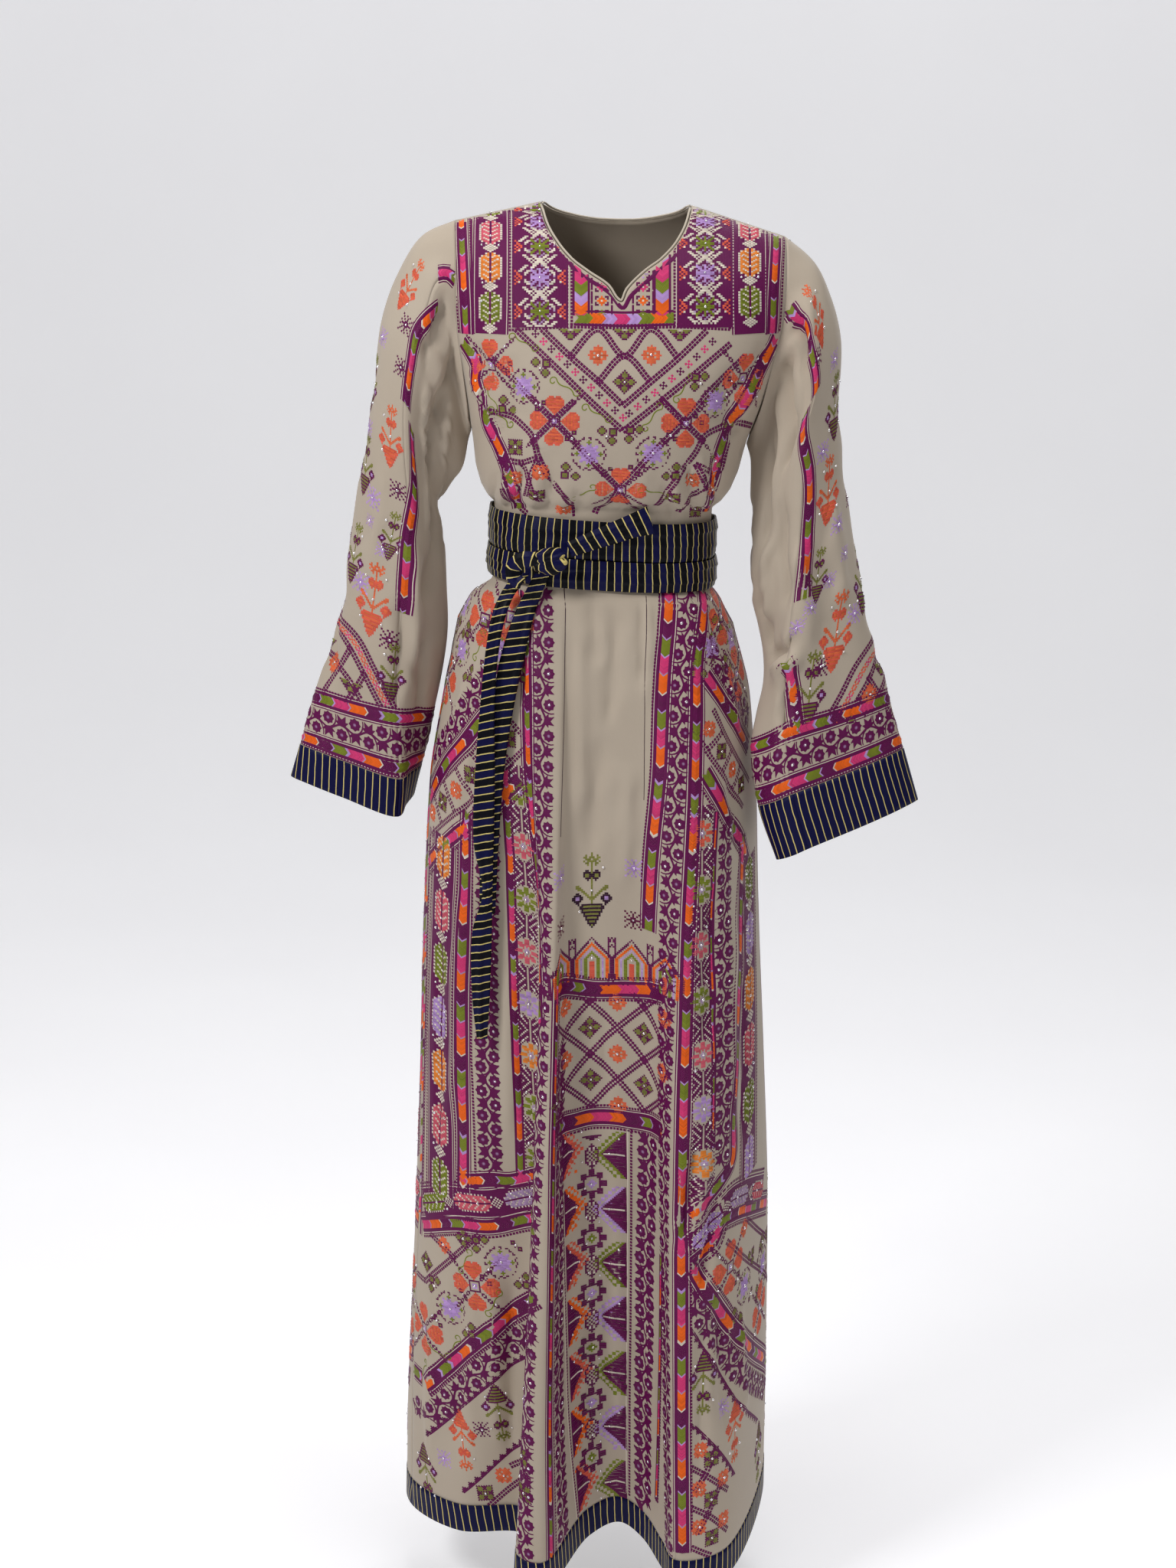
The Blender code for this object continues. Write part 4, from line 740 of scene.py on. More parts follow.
class Work:
    """Collects stitches in cloth coordinates; build() raises them on the cloth."""

    def __init__(self, cloth):
        self.cloth = cloth
        self.v, self.c, self.f3, self.f4, self.n = [], [], [], [], 0
        self.stones = []
        self.chords = []

    def add(self, uvh, col, f3=None, f4=None):
        self.v.append(uvh)
        self.c.append(col)
        if f3 is not None and len(f3):
            self.f3.append(f3 + self.n)
        if f4 is not None and len(f4):
            self.f4.append(f4 + self.n)
        self.n += len(uvh)

    def roofs(self, at, x0, x1, y0, y1, col, h=0.00045, along="x"):
        x0, x1, y0, y1 = (np.atleast_1d(np.asarray(a, float)) for a in (x0, x1, y0, y1))
        k = len(x0)
        if k == 0:
            return
        if along == "x":
            i = np.minimum(0.3 * (x1 - x0), 0.0006)
            ym = (y0 + y1) / 2
            pts = [(x0, y0), (x1, y0), (x1, y1), (x0, y1), (x0 + i, ym), (x1 - i, ym)]
            f4 = np.array(((0, 1, 5, 4), (2, 3, 4, 5)))
            f3 = np.array(((3, 0, 4), (1, 2, 5)))
        else:
            i = np.minimum(0.3 * (y1 - y0), 0.0006)
            xm = (x0 + x1) / 2
            pts = [(x0, y0), (x1, y0), (x1, y1), (x0, y1), (xm, y0 + i), (xm, y1 - i)]
            f4 = np.array(((1, 2, 5, 4), (3, 0, 4, 5)))
            f3 = np.array(((0, 1, 4), (2, 3, 5)))
        uv = np.stack([at(a, b) for a, b in pts], 1)
        self.chords.append((self.n + np.arange(k) * 6, at((x0 + x1) / 2, (y0 + y1) / 2)))
        hh = np.full((k, 6, 1), BASE if h < 0.0006 else 0.00130)
        hh[:, 4:] = 0.0010 + h
        col = np.broadcast_to(np.asarray(col, float), (k, 3)) * (1 + 0.10 * RNG.standard_normal((k, 1)))
        cols = np.repeat(np.clip(col, 0.002, 1)[:, None], 6, axis=1)
        off = np.arange(k)[:, None, None] * 6
        self.add(np.concatenate((uv, hh), -1).reshape(-1, 3), cols.reshape(-1, 3),
                 (f3[None] + off).reshape(-1, 3), (f4[None] + off).reshape(-1, 4))

    def studs(self, at, x, y, size, col, h=0.0005):
        """Small pyramids, one crossed stitch each."""
        x, y = (np.atleast_1d(np.asarray(a, float)) for a in (x, y))
        k = len(x)
        if k == 0:
            return
        r = size / 2
        uv = np.stack([at(x + a * r, y + b * r) for a, b in ((-1, -1), (1, -1), (1, 1), (-1, 1), (0, 0))], 1)
        hh = np.full((k, 5, 1), BASE if h < 0.0006 else 0.00130)
        hh[:, 4] = 0.0010 + h
        col = np.broadcast_to(np.asarray(col, float), (k, 3)) * (1 + 0.10 * RNG.standard_normal((k, 1)))
        cols = np.repeat(np.clip(col, 0.002, 1)[:, None], 5, axis=1)
        f3 = np.array(((0, 1, 4), (1, 2, 4), (2, 3, 4), (3, 0, 4)))
        off = np.arange(k)[:, None, None] * 5
        self.add(np.concatenate((uv, hh), -1).reshape(-1, 3), cols.reshape(-1, 3), (f3[None] + off).reshape(-1, 3))

    def path(self, at, pts, width, col, h=0.0005, base=None):
        """A couched line: a ribbon with a raised middle; width is a number or one per point."""
        pts = np.asarray(pts, float)
        k = len(pts)
        t = unit(np.gradient(pts, axis=0))
        q = np.stack((-t[:, 1], t[:, 0]), 1) * (np.broadcast_to(width, (k,)) / 2)[:, None]
        rows = [pts - q, pts, pts + q]
        uv = np.stack([at(p[:, 0], p[:, 1]) for p in rows], 1)
        hh = np.full((k, 3, 1), BASE if base is None else base)
        hh[:, 1] = 0.0010 + h
        i = np.arange(k - 1)[:, None] * 3
        f4 = np.concatenate((np.concatenate((i, i + 1, i + 4, i + 3), 1), np.concatenate((i + 1, i + 2, i + 5, i + 4), 1)))
        self.add(np.concatenate((uv, hh), -1).reshape(-1, 3), np.tile(np.asarray(col, float), (k * 3, 1)), None, f4)

    def line(self, at, x, y0, y1, width, col, h=0.0004, step=0.006, base=None):
        n = max(int((y1 - y0) / step), 2)
        self.path(at, np.stack((np.full(n + 1, x), np.linspace(y0, y1, n + 1)), 1), width, col, h, base)

    def dots(self, at, x, y0, y1, col=None, pitch=0.0037, size=0.0028):
        y = np.arange(y0, y1, pitch)
        self.studs(at, np.full(len(y), x), y, size, RGB["P"] if col is None else col)

    def satin(self, at, x0, x1, y0, y1, phase=0.0, order=None, step=0.0017, down=1.0):
        """Shiny satin rows with a pointed fall, in colour blocks that end as fishtails."""
        if order is None:
            order = SATIN
        period = sum(b for _, b in order)
        edges = np.r_[0, np.cumsum([b for _, b in order])]
        y = np.arange(y0, y1, step)
        k = len(y)
        if k < 2:
            return
        w = x1 - x0
        fall = 0.42 * w * down
        mid = ((y + phase) % period)
        code = [order[min(np.searchsorted(edges, m, side="right") - 1, len(order) - 1)][0] for m in mid]
        col = np.array([RGB[c] for c in code]) * (1 + 0.07 * RNG.standard_normal((k, 1)))
        xm = (x0 + x1) / 2
        pts = []
        for a, b in ((x0, 0), (xm, fall), (x1, 0)):
            for e in (0, step * 0.97):
                pts.append(at(np.full(k, a), np.clip(y + b + e, y0, y1)))
        uv = np.stack(pts, 1)                    # left, left+, mid, mid+, right, right+
        hh = np.full((k, 6, 1), 0.0011)
        hh[:, 2:4] = 0.0019
        f4 = np.array(((0, 2, 3, 1), (2, 4, 5, 3)))
        off = np.arange(k)[:, None, None] * 6
        cols = np.repeat(np.clip(col, 0.002, 1)[:, None], 6, axis=1)
        self.add(np.concatenate((uv, hh), -1).reshape(-1, 3), cols.reshape(-1, 3), None, (f4[None] + off).reshape(-1, 4))

    def floret(self, at, x, y, r, col, mark="S", lobes=8):
        n = lobes * 2
        a = np.arange(n) / n * 2 * pi
        rr = np.where(np.arange(n) % 2 == 0, r, r * 0.80)
        inner = 0.30 * r
        uv = np.concatenate((at(x + rr * np.cos(a), y + rr * np.sin(a)), at(x + inner * np.cos(a), y + inner * np.sin(a)), at(x, y)[None]))
        h = np.r_[np.full(n, BASE), np.full(n, 0.0017), 0.0014][:, None]
        i = np.arange(n)
        j = (i + 1) % n
        f4 = np.stack((i, j, j + n, i + n), 1)
        f3 = np.stack((i + n, j + n, np.full(n, 2 * n)), 1)
        # painted light on the outer ring: lobe tips a little lighter as a painted highlight, the notches between lobes
        # darker as painted shade
        shade = np.where(np.arange(n) % 2 == 0, 1.05, 0.72)[:, None]
        col = np.asarray(col)
        c = np.concatenate((col * shade, col * np.ones((n, 1)), RGB[mark][None]))
        self.add(np.concatenate((uv, h), 1), c, f3, f4)

    def flame(self, at, x, y, side, size, col):
        """Spiky leaf that opens sideways from the stem."""
        for ang, ln, w in ((-60, 0.84, 0.34), (-20, 1.08, 0.42), (18, 1.06, 0.42), (58, 0.78, 0.34)):
            a = radians(ang)
            b = radians(ang + (16 if ang > 0 else -16))
            t = np.linspace(0, 1, 3)
            px = x + side * size * ln * (t * np.cos(a) * 0.6 + t * t * np.cos(b) * 0.4)
            py = y + size * ln * (t * np.sin(a) * 0.6 + t * t * np.sin(b) * 0.4)
            self.path(at, np.stack((px, py), 1), size * w * np.array((1.05, 1.35, 0.08)), col, 0.0005)

    def vine(self, at, xc, y0, y1, pitch=0.0325, half=0.0095, col=None, phase=0.0):
        """Stem in S-curves, a round floret in every bend and a spiky leaf opposite."""
        col = RGB["P"] if col is None else col
        n = max(int((y1 - y0) / 0.0016), 4)
        y = np.linspace(y0, y1, n)
        k1 = half / 0.0068
        amp = 0.0029 * k1
        self.path(at, np.stack((xc + amp * np.cos(2 * pi * (y - y0 + phase) / pitch), y), 1), 0.0023, col, 0.0006)
        k0 = int(np.floor(phase / pitch * 2)) - 1
        for k in range(k0, int((y1 - y0 + phase) / pitch * 2) + 3):
            yy = y0 - phase + k * pitch / 2
            if yy < y0 - 0.002 or yy > y1 + 0.002:
                continue
            side = -1 if k % 2 == 0 else 1
            xf = xc + side * half
            if yy > y0 + 0.004 and yy < y1 - 0.004:
                self.floret(at, xf, yy, 0.0066 * k1, col)
                if RNG2.random() < 0.30:
                    self.stone(at, xf, yy)
            self.flame(at, xc - side * amp, yy + 0.0005, -side, 0.0098 * k1, col)
            t = np.linspace(0, 1, 7)       # the twig that closes the bend under the floret
            self.path(at, np.stack((xf - side * 0.0092 * np.cos(t * 2.2) * k1, yy + 0.0088 * np.sin(t * 1.9) * k1), 1),
                      np.linspace(0.0023, 0.0012, 7), col, 0.0004)

    def chart(self, at, cells, x0, y0, cell=0.002, tall=None, key=None, longest=4, h=0.00045, gap=0.015):
        """Stitches of a chart whose top left corner is at x0, y0: runs of one colour along each row."""
        tall = cell if tall is None else tall
        g = np.array([list(r) for r in cells])
        rows, cols = g.shape
        if rows > 8 and cols > 8:
            xm, ym = x0 + cols * cell / 2, y0 + rows * tall / 2
            self.stone(at, xm, ym)
            if rows >= 25:
                for a, b in ((-0.30, -0.28), (0.30, 0.28), (-0.31, 0.27), (0.28, -0.31)):
                    if RNG2.random() < 0.6:
                        self.stone(at, xm + a * cols * cell, ym + b * rows * tall)
        X0, X1, Y0, C, S = [], [], [], [], []
        for i in range(rows):
            j = 0
            while j < cols:
                c = g[i, j]
                if c == ".":
                    j += 1
                    continue
                k = j + 1
                while k < cols and g[i, k] == c and k - j < longest + (i % 2):
                    k += 1
                if key:
                    c = key.get(c, c)
                if k - j == 1:
                    S.append((x0 + (j + 0.5) * cell, y0 + (i + 0.5) * tall, RGB[c]))
                else:
                    X0.append(x0 + (j + gap) * cell)
                    X1.append(x0 + (k - gap) * cell)
                    Y0.append(y0 + (i + gap) * tall)
                    C.append(RGB[c])
                j = k
        if X0:
            Y0 = np.array(Y0)
            self.roofs(at, X0, X1, Y0, Y0 + tall * (1 - 2 * gap), np.array(C), h)
        if S:
            self.studs(at, [s[0] for s in S], [s[1] for s in S], cell * 0.98, np.array([s[2] for s in S]), h)

    def mid(self, at, cells, x=0.0, y=0.0, cell=0.002, key=None, **more):
        self.chart(at, cells, x - len(cells[0]) * cell / 2, y - len(cells) * cell / 2, cell, key=key, **more)

    def stone(self, at, x, y):
        self.stones.append(np.asarray(at(x, y), float).reshape(2))

    def set_stones(self, name, test, size=0.0014):
        """Faceted glass stones on the stitches: a wide ring, a narrow ring and a flat top."""
        if not self.stones:
            return []
        c = np.array(self.stones)
        c = c + 0.0004 * RNG2.standard_normal(c.shape)
        k, n = len(c), 8
        a = np.arange(n) / n * 2 * pi + RNG2.random((k, 1)) * 0.8
        r = size * (0.85 + 0.4 * RNG2.random((k, 1)))
        lay = []
        for share, h in ((1.0, 0.0010), (0.97, 0.0019), (0.52, 0.0027)):
            lay.append(np.stack((c[:, :1] + share * r * np.cos(a), c[:, 1:] + share * r * np.sin(a), np.full((k, n), h)), -1))
        uvh = np.concatenate(lay, axis=1)
        p, on = self.cloth.at(uvh[..., 0], uvh[..., 1], uvh[..., 2])
        on = on.all(axis=1)
        mid, _ = self.cloth.at(c[:, 0], c[:, 1], np.zeros(k))
        on &= test(mid, np.concatenate((c, c[:, :1] * 0), 1))
        p = p[on].reshape(-1, 3)
        k = int(on.sum())
        i = np.arange(n)
        j = (i + 1) % n
        q = np.concatenate((np.stack((i, j, j + n, i + n), 1), np.stack((i + n, j + n, j + 2 * n, i + 2 * n), 1)))
        top = np.stack((np.full(n - 2, 2 * n), 2 * n + 1 + np.arange(n - 2), 2 * n + 2 + np.arange(n - 2)), 1)
        off = np.arange(k)[:, None, None] * 3 * n
        q, top = (q[None] + off).reshape(-1, 4), (top[None] + off).reshape(-1, 3)
        if self.cloth.flip < 0:
            q, top = q[:, ::-1], top[:, ::-1]
        uv = uvh[on].reshape(-1, 3)[:, :2]
        lo, hi = uv.min(0), uv.max(0)
        return [make_mesh(name, p, [top, q], [MAT_STONE], (uv - lo) / max(hi - lo) * 0.98 + 0.01, uv, smooth=False)]

    def ride(self, uvh):
        """Raise the straight stitches that cross a ridge, so that their middles stay over the cloth."""
        if not self.chords:
            return
        first = np.concatenate([a for a, _ in self.chords])
        mid = np.concatenate([b for _, b in self.chords])
        corners = first[:, None] + np.arange(4)
        flat = uvh[corners.ravel()]
        p, _ = self.cloth.at(flat[:, 0], flat[:, 1], np.zeros(len(flat)))
        q0, _ = self.cloth.at(mid[:, 0], mid[:, 1], np.zeros(len(mid)))
        q1, _ = self.cloth.at(mid[:, 0], mid[:, 1], np.ones(len(mid)))
        rise = np.sum((q0 - p.reshape(-1, 4, 3).mean(axis=1)) * (q1 - q0), axis=-1)
        uvh[(first[:, None] + np.arange(6)), 2] += np.clip(rise * 1.1, 0, 0.0016)[:, None]

    def build(self, name, split=None, test=None, limit=None):
        """Objects of the stitches, one for each range of u in split."""
        uvh, col = np.concatenate(self.v), np.concatenate(self.c)
        self.ride(uvh)
        p, on = self.cloth.at(uvh[:, 0], uvh[:, 1], uvh[:, 2])
        if test is not None:
            on &= test(p, uvh)
        out = []
        cuts = split or [(name, -9, 9)]
        for label, lo, hi in cuts:
            if callable(lo):
                lo_v, hi_v = lo(uvh[:, 1]), hi(uvh[:, 1])
            else:
                lo_v, hi_v = lo, hi
            here = (uvh[:, 0] >= lo_v) & (uvh[:, 0] < hi_v)
            faces = []
            used = np.zeros(len(uvh), bool)
            for f in (self.f3, self.f4):
                if f:
                    a = np.concatenate(f)
                    a = a[on[a].all(axis=1) & here[a[:, 0]]]
                    if self.cloth.flip < 0:
                        a = a[:, ::-1]
                    faces.append(a)
                    used[a] = True
            if not used.any():
                continue
            new = np.cumsum(used) - 1
            faces = [new[a] for a in faces if len(a)]
            uv = uvh[used, :2]
            lo2, hi2 = uv.min(0), uv.max(0)
            ob = make_mesh(label, p[used], faces, [MAT_THREAD], (uv - lo2) / max(hi2 - lo2) * 0.98 + 0.01, uv, col[used], smooth=False)
            out.append(ob)
        return out


SATIN = (("G", 0.0165), ("L", 0.0022), ("K", 0.0170), ("S", 0.0016), ("O", 0.0185), ("W", 0.0020), ("P", 0.0160), ("L", 0.0020))


def mirror(rows, odd=True):
    """Complete a chart from its left half; the last column is the middle one."""
    return [r + (r[:-1] if odd else r)[::-1] for r in rows]


def upside(rows, odd=True):
    return list(rows) + list(rows[:-1] if odd else rows)[::-1]


def blank(w, h):
    return [["."] * w for _ in range(h)]


def joined(g):
    return ["".join(r) for r in g]


def stamp(g, rows, x, y, turn=0):
    """Put a small chart on a larger one, turned by quarter turns, middle at x, y."""
    a = np.rot90(np.array([list(r) for r in rows]), -turn)
    h, w = a.shape
    for i in range(h):
        for j in range(w):
            yy, xx = y - h // 2 + i, x - w // 2 + j
            if a[i, j] != "." and 0 <= yy < len(g) and 0 <= xx < len(g[0]):
                g[yy][xx] = a[i, j]


HEART = ("..CCC.CCC..",
         ".CCCCCCCCC.",
         "CAAAACAAAAC",
         "CCCCCCCCCCC",
         "CAAAAAAAAAC",
         "CCCCCCCCCCC",
         ".CAAAAAAAC.",
         "..CCCCCCC..",
         "...CAAAC...",
         "....CCC....",
         ".....C.....")


def heart_cross():
    """Four striped hearts round a small lilac flower, stepped purple lines between them."""
    g = blank(35, 35)
    for k in range(2, 17):
        for sx in (-1, 1):
            for sy in (-1, 1):
                for a, b in ((k, k), (k + 1, k), (k, k + 1)):
                    if (a + b) % 3 != 1 and max(a, b) <= 16:
                        g[17 + sy * b][17 + sx * a] = "P"
    for turn, (x, y) in enumerate(((17, 8), (26, 17), (17, 26), (8, 17))):
        stamp(g, HEART, x, y, turn)
    for y in range(-3, 4):
        for x in range(-3, 4):
            if abs(x) == 3 or abs(y) == 3:
                if abs(x) + abs(y) < 5:
                    g[17 + y][17 + x] = "P"
            elif abs(x) < 2 and abs(y) < 2:
                g[17 + y][17 + x] = "L"
    return joined(g)


LEAF_BOX = ("..PP..", ".PEEP.", "PEEEEP", "PEEEEP", ".PEEP.", "..PP..")
LEAF_SQ = ("PPPPP", "PEEEP", "PEEEP", "PEEEP", "PPPPP")


def wreath(way=0):
    """A round lilac flower in a stepped purple ring, with olive leaves at two opposite corners."""
    g = blank(37, 37)
    c = 18
    for i in range(37):
        for j in range(37):
            x, y = j - c, i - c
            r, a = sqrt(x * x + y * y), atan2(y, x)
            da = a - round(a / (pi / 4)) * pi / 4
            lx, ly = r * cos(da) - 4.4, r * sin(da)
            if (lx / 3.6) ** 2 + (ly / 1.5) ** 2 < 1:
                g[i][j] = "L"
            elif r < 1.2:
                g[i][j] = "S"
            elif 9.0 < r < 10.6 and (i // 2 + j // 2) % 2:
                g[i][j] = "P"
    for x, y in ((0, -7), (0, 7), (-7, 0), (7, 0)):
        for a, b in ((0, 0), (1, 0), (-1, 0), (0, 1), (0, -1)):
            g[c + y + b][c + x + a] = "G"
    w = 1 if way == 0 else -1
    for s in (-1, 1):
        stamp(g, LEAF_SQ, c + s * w * 14, c + s * 14)
        stamp(g, LEAF_BOX, c + s * w * 8 + (1 if s > 0 else 0), c + s * 14 + (1 if s > 0 else 0))
        stamp(g, LEAF_BOX, c + s * w * 14 + (1 if s > 0 else 0), c + s * 8 + (1 if s > 0 else 0))
        for k in (10, 11):
            g[c + s * k][c + s * w * k] = "P"
            g[c + s * k][c - s * w * k] = "P"
        stamp(g, ("PPP", "PEP", "PPP"), c - s * w * 13, c + s * 9)
        stamp(g, ("PPP", "PEP", "PPP"), c - s * w * 9, c + s * 13)
    return joined(g)


OLIVE = upside(mirror(("......P",
                       ".....PG",
                       "....PGG",
                       "...PPGG",
                       "..PPPPG",
                       ".PGGPGP",
                       "PGGGGPW")))
ORANGE = upside(mirror((".....C",
                        "...COO",
                        "...OOO",
                        ".COOOO",
                        ".OO.OO",
                        "COOOOL")))
SNOW = upside(mirror(("P..P.",
                      ".P..P",
                      "..P.P",
                      "P..PP",
                      ".PPP.")))
POT = mirror(("..........G",
              ".......G..G",
              "......GG.GG",
              ".......GGG.",
              "......G.GGG",
              ".......GG.G",
              "........G.G",
              "..........G",
              "..........G",
              ".......PP.G",
              "......PPPPG",
              "......PGGPP",
              "......PGGPP",
              ".......PPPG",
              "........P.G",
              "..........G",
              "..........G",
              "..GG......G",
              "..GGG.....G",
              "...GGG....G",
              ".....GG...G",
              "..PP..GG..G",
              ".PPPP..GG.G",
              "PPLLPP..GGG",
              "PPLLPP...GG",
              ".PPPP.....G",
              "..PP......G",
              "...P.PPPPPP",
              "....PPGGGGG",
              "....PPPPPPP",
              ".....PGGGGG",
              ".....PPPPPP",
              "......PGGGG",
              "......PPPPP",
              ".......PGGG",
              ".......PPPP",
              "........PGG",
              "........PPP",
              ".........PG",
              "..........P"))
WARM = {"P": "C", "E": "A", "L": "A"}
OLIVE, POT = ([r.replace("G", "E") for r in c] for c in (OLIVE, POT))
ORANGE = [r.replace("O", "A") for r in ORANGE]
HALF_OLIVE = mirror(("PEEEE.W",
                     ".PEEPEP",
                     "..PPPPE",
                     "...PPEE",
                     "....PEE",
                     ".....PP"))


def rosette_cells(code, centre="S"):
    """Eight petals on a pale round ground, between purple wedges with pale dotted diagonals."""
    code = {"K": "M", "O": "Q"}.get(code, code)
    w, h = 15, 30
    g = blank(w, h)
    for i in range(h):
        for j in range(w):
            x, y = j - 7, i - 14.5
            r, a = sqrt(x * x + y * y), atan2(y, x)
            k = round(a / (pi / 4))
            da = a - k * pi / 4
            lx, ly = r * cos(da) - 4.7, r * sin(da)
            if (lx / 2.6) ** 2 + (ly / (1.45 + 0.10 * lx)) ** 2 < 1:
                g[i][j] = code
            elif r < 1.6:
                g[i][j] = centre
            elif r > 8.6:
                if (abs(x) + abs(int(y - 0.5))) % 4 == 1 and abs(x) > 1:
                    g[i][j] = "W"
                elif abs(x) < 1:
                    g[i][j] = "."
                elif abs(x) < 6.5:
                    g[i][j] = "P"
            if abs(x) == 7 and (i % 2 == 0):
                g[i][j] = "P"
            if r > 7.6 and r <= 8.6 and (i + j) % 2 == 0:
                g[i][j] = "P"
    return joined(g)


def leaf_cells(code):
    """A pair of ribbed leaves on a purple ground, with a small pale diamond below."""
    code = {"K": "M", "O": "Q"}.get(code, code)
    w, h = 13, 31
    g = blank(w, h)
    for i in range(h):
        for j in range(w):
            x = abs(j - 6)
            c = "P"
            if i < 23:
                lim = min(4.6, 1.0 + i * 1.3, 1.0 + (22 - i) * 1.2)
                if x <= lim:
                    c = "P" if x == 0 else ("W" if (i + x) % 4 == 0 and x < 4 else code)
                elif x <= lim + 1.2 and i % 2 == 0:
                    c = "W"
            else:
                d = x + abs(i - 26)
                if (d == 3 and (i + j) % 2) or d == 1:
                    c = "W"
            g[i][j] = c
    return joined(g)


def star_cells(code):
    """A star between stepped pale hearts on purple, with coral sprays at the sides."""
    w, h = 25, 18
    g = blank(w, h)
    for i in range(h):
        for j in range(w):
            x, y = j - 12, i - 8.5
            ax, ay = abs(x), abs(y)
            c = "P"
            if ax < 7 and ay < 6.2 and (ax < 1 or ay < 1 or abs(ax - ay) < 0.8):
                c = code if max(ax, ay) < 5 else "P"
                if max(ax, ay) < 5 and (ax < 1 or ay < 1):
                    c = code
            elif abs(ax + ay - 9) < 1.3 and ax < 8:
                c = "W"
            elif abs(ax + ay - 13) < 1.1 and 4 < ax < 11 and (i // 2) % 3:
                c = "W"
            elif ay > 6.5 and ax < 5 and (i + j) % 2 == 0:
                c = "W"
            elif ax > 8 and abs(ay - (ax - 8) * 0.9) < 0.5:
                c = "C"
            elif ax >= 10 and ay < 2.2 and (i + j) % 2 == 0:
                c = "C"
            elif ax + ay < 8.2 and (i + j) % 3 == 0:
                c = "S"
            g[i][j] = c
    return joined(g)



# ------------------------------------------------------------------ colours and materials
def lin(r, g, b):
    return tuple((c / 12.92 if c <= 0.04045 else ((c + 0.055) / 1.055) ** 2.4) for c in (r / 255, g / 255, b / 255))


class Mat:
    """Small helper for node materials."""

    def __init__(self, name):
        self.m = bpy.data.materials.new(name)
        self.m.use_nodes = True
        self.t = self.m.node_tree
        self.b = self.t.nodes["Principled BSDF"]

    def node(self, kind, **values):
        n = self.t.nodes.new(kind)
        for k, v in values.items():
            if k.startswith("_"):
                n.inputs[int(k[1:])].default_value = v
            else:
                setattr(n, k, v)
        return n

    def link(self, a, b):
        self.t.links.new(a, b)

    def math(self, op, a, b=None, c=None):
        n = self.node("ShaderNodeMath", operation=op)
        for k, v in enumerate((a, b, c)):
            if v is None:
                continue
            if isinstance(v, (int, float)):
                n.inputs[k].default_value = v
            else:
                self.link(v, n.inputs[k])
        return n.outputs[0]

    def mix(self, fac, a, b, kind="MIX"):
        n = self.node("ShaderNodeMix", data_type="RGBA", blend_type=kind)
        for k, v in ((0, fac), (6, a), (7, b)):
            if isinstance(v, (int, float)):
                n.inputs[k].default_value = v
            elif isinstance(v, tuple):
                n.inputs[k].default_value = (*v, 1) if len(v) == 3 else v
            else:
                self.link(v, n.inputs[k])
        return n.outputs[2]

    def noise(self, vec, scale, detail=2.0, rough=0.5):
        n = self.node("ShaderNodeTexNoise")
        n.inputs["Scale"].default_value = scale
        n.inputs["Detail"].default_value = detail
        n.inputs["Roughness"].default_value = rough
        self.link(vec, n.inputs["Vector"])
        return n.outputs["Fac"]

    def bump(self, height, distance, strength=1.0):
        n = self.node("ShaderNodeBump")
        n.inputs["Strength"].default_value = strength
        n.inputs["Distance"].default_value = distance
        self.link(height, n.inputs["Height"])
        self.link(n.outputs["Normal"], self.b.inputs["Normal"])

    def set(self, **values):
        for k, v in values.items():
            self.b.inputs[k.replace("_", " ")].default_value = v


def crepe(name):
    """Soft crepe: a fine pebbled grain, faint cloudiness and a soft sheen."""
    m = Mat(name)
    obj = m.node("ShaderNodeTexCoord").outputs["Object"]
    grain = m.noise(obj, 1300, 2.0, 0.6)
    cloud = m.noise(obj, 9, 3.0, 0.5)
    c = m.mix(m.math("MULTIPLY_ADD", cloud, 1.2, -0.1), lin(*GREIGE_LO), lin(*GREIGE_HI))
    c = m.mix(m.math("MULTIPLY", grain, 0.16), c, lin(146, 134, 120))
    m.link(c, m.b.inputs["Base Color"])
    m.set(Roughness=0.82, Sheen_Weight=0.18, Sheen_Roughness=0.45, Specular_IOR_Level=0.25)
    m.bump(grain, 0.00022, 0.55)
    return m.m


def striped(name, pitch, share, across, ribs=0.0016, two_tone=True):
    """Navy satin weave with gold stripes at an even pitch; across picks the cloth coordinate they cross."""
    m = Mat(name)
    uv = m.node("ShaderNodeUVMap", uv_map="cloth").outputs["UV"]
    sep = m.node("ShaderNodeSeparateXYZ")
    m.link(uv, sep.inputs[0])
    a, b = (sep.outputs[0], sep.outputs[1]) if across == 0 else (sep.outputs[1], sep.outputs[0])
    wob = m.noise(uv, 60, 1.0)
    a = m.math("ADD", a, m.math("MULTIPLY_ADD", wob, 0.0016, -0.0008))
    turns = m.math("DIVIDE", a, pitch)
    f = m.math("FRACT", turns)
    gold = m.math("LESS_THAN", m.math("ABSOLUTE", m.math("SUBTRACT", f, 0.5)), share / 2)
    alt = m.math("LESS_THAN", m.math("FRACT", m.math("MULTIPLY_ADD", turns, 0.5, -0.25)), 0.5)
    weave = m.math("SINE", m.math("MULTIPLY", b, 2 * pi / 0.0009))
    rib = m.math("SINE", m.math("MULTIPLY", a, 2 * pi / ribs))
    navy = m.mix(alt, lin(*NAVY_A), lin(*(NAVY_B if two_tone else NAVY_A)))
    # painted light on the gold: lighter on the raised weave floats as a painted highlight, darker between them as
    # painted shade, in step with the bump
    thread = m.mix(m.math("MULTIPLY_ADD", weave, 0.25, 0.5), lin(*GOLD_WEAVE_SHADE), lin(*GOLD_WEAVE_HIGHLIGHT))
    m.link(m.mix(gold, navy, thread), m.b.inputs["Base Color"])
    m.set(Roughness=0.44, Sheen_Weight=0.0, Specular_IOR_Level=0.12)
    h = m.math("ADD", m.math("MULTIPLY", weave, 0.35), m.math("MULTIPLY", rib, 0.4))
    h = m.math("ADD", h, m.math("MULTIPLY", gold, 1.6))
    m.bump(h, 0.00012, 0.6)
    return m.m


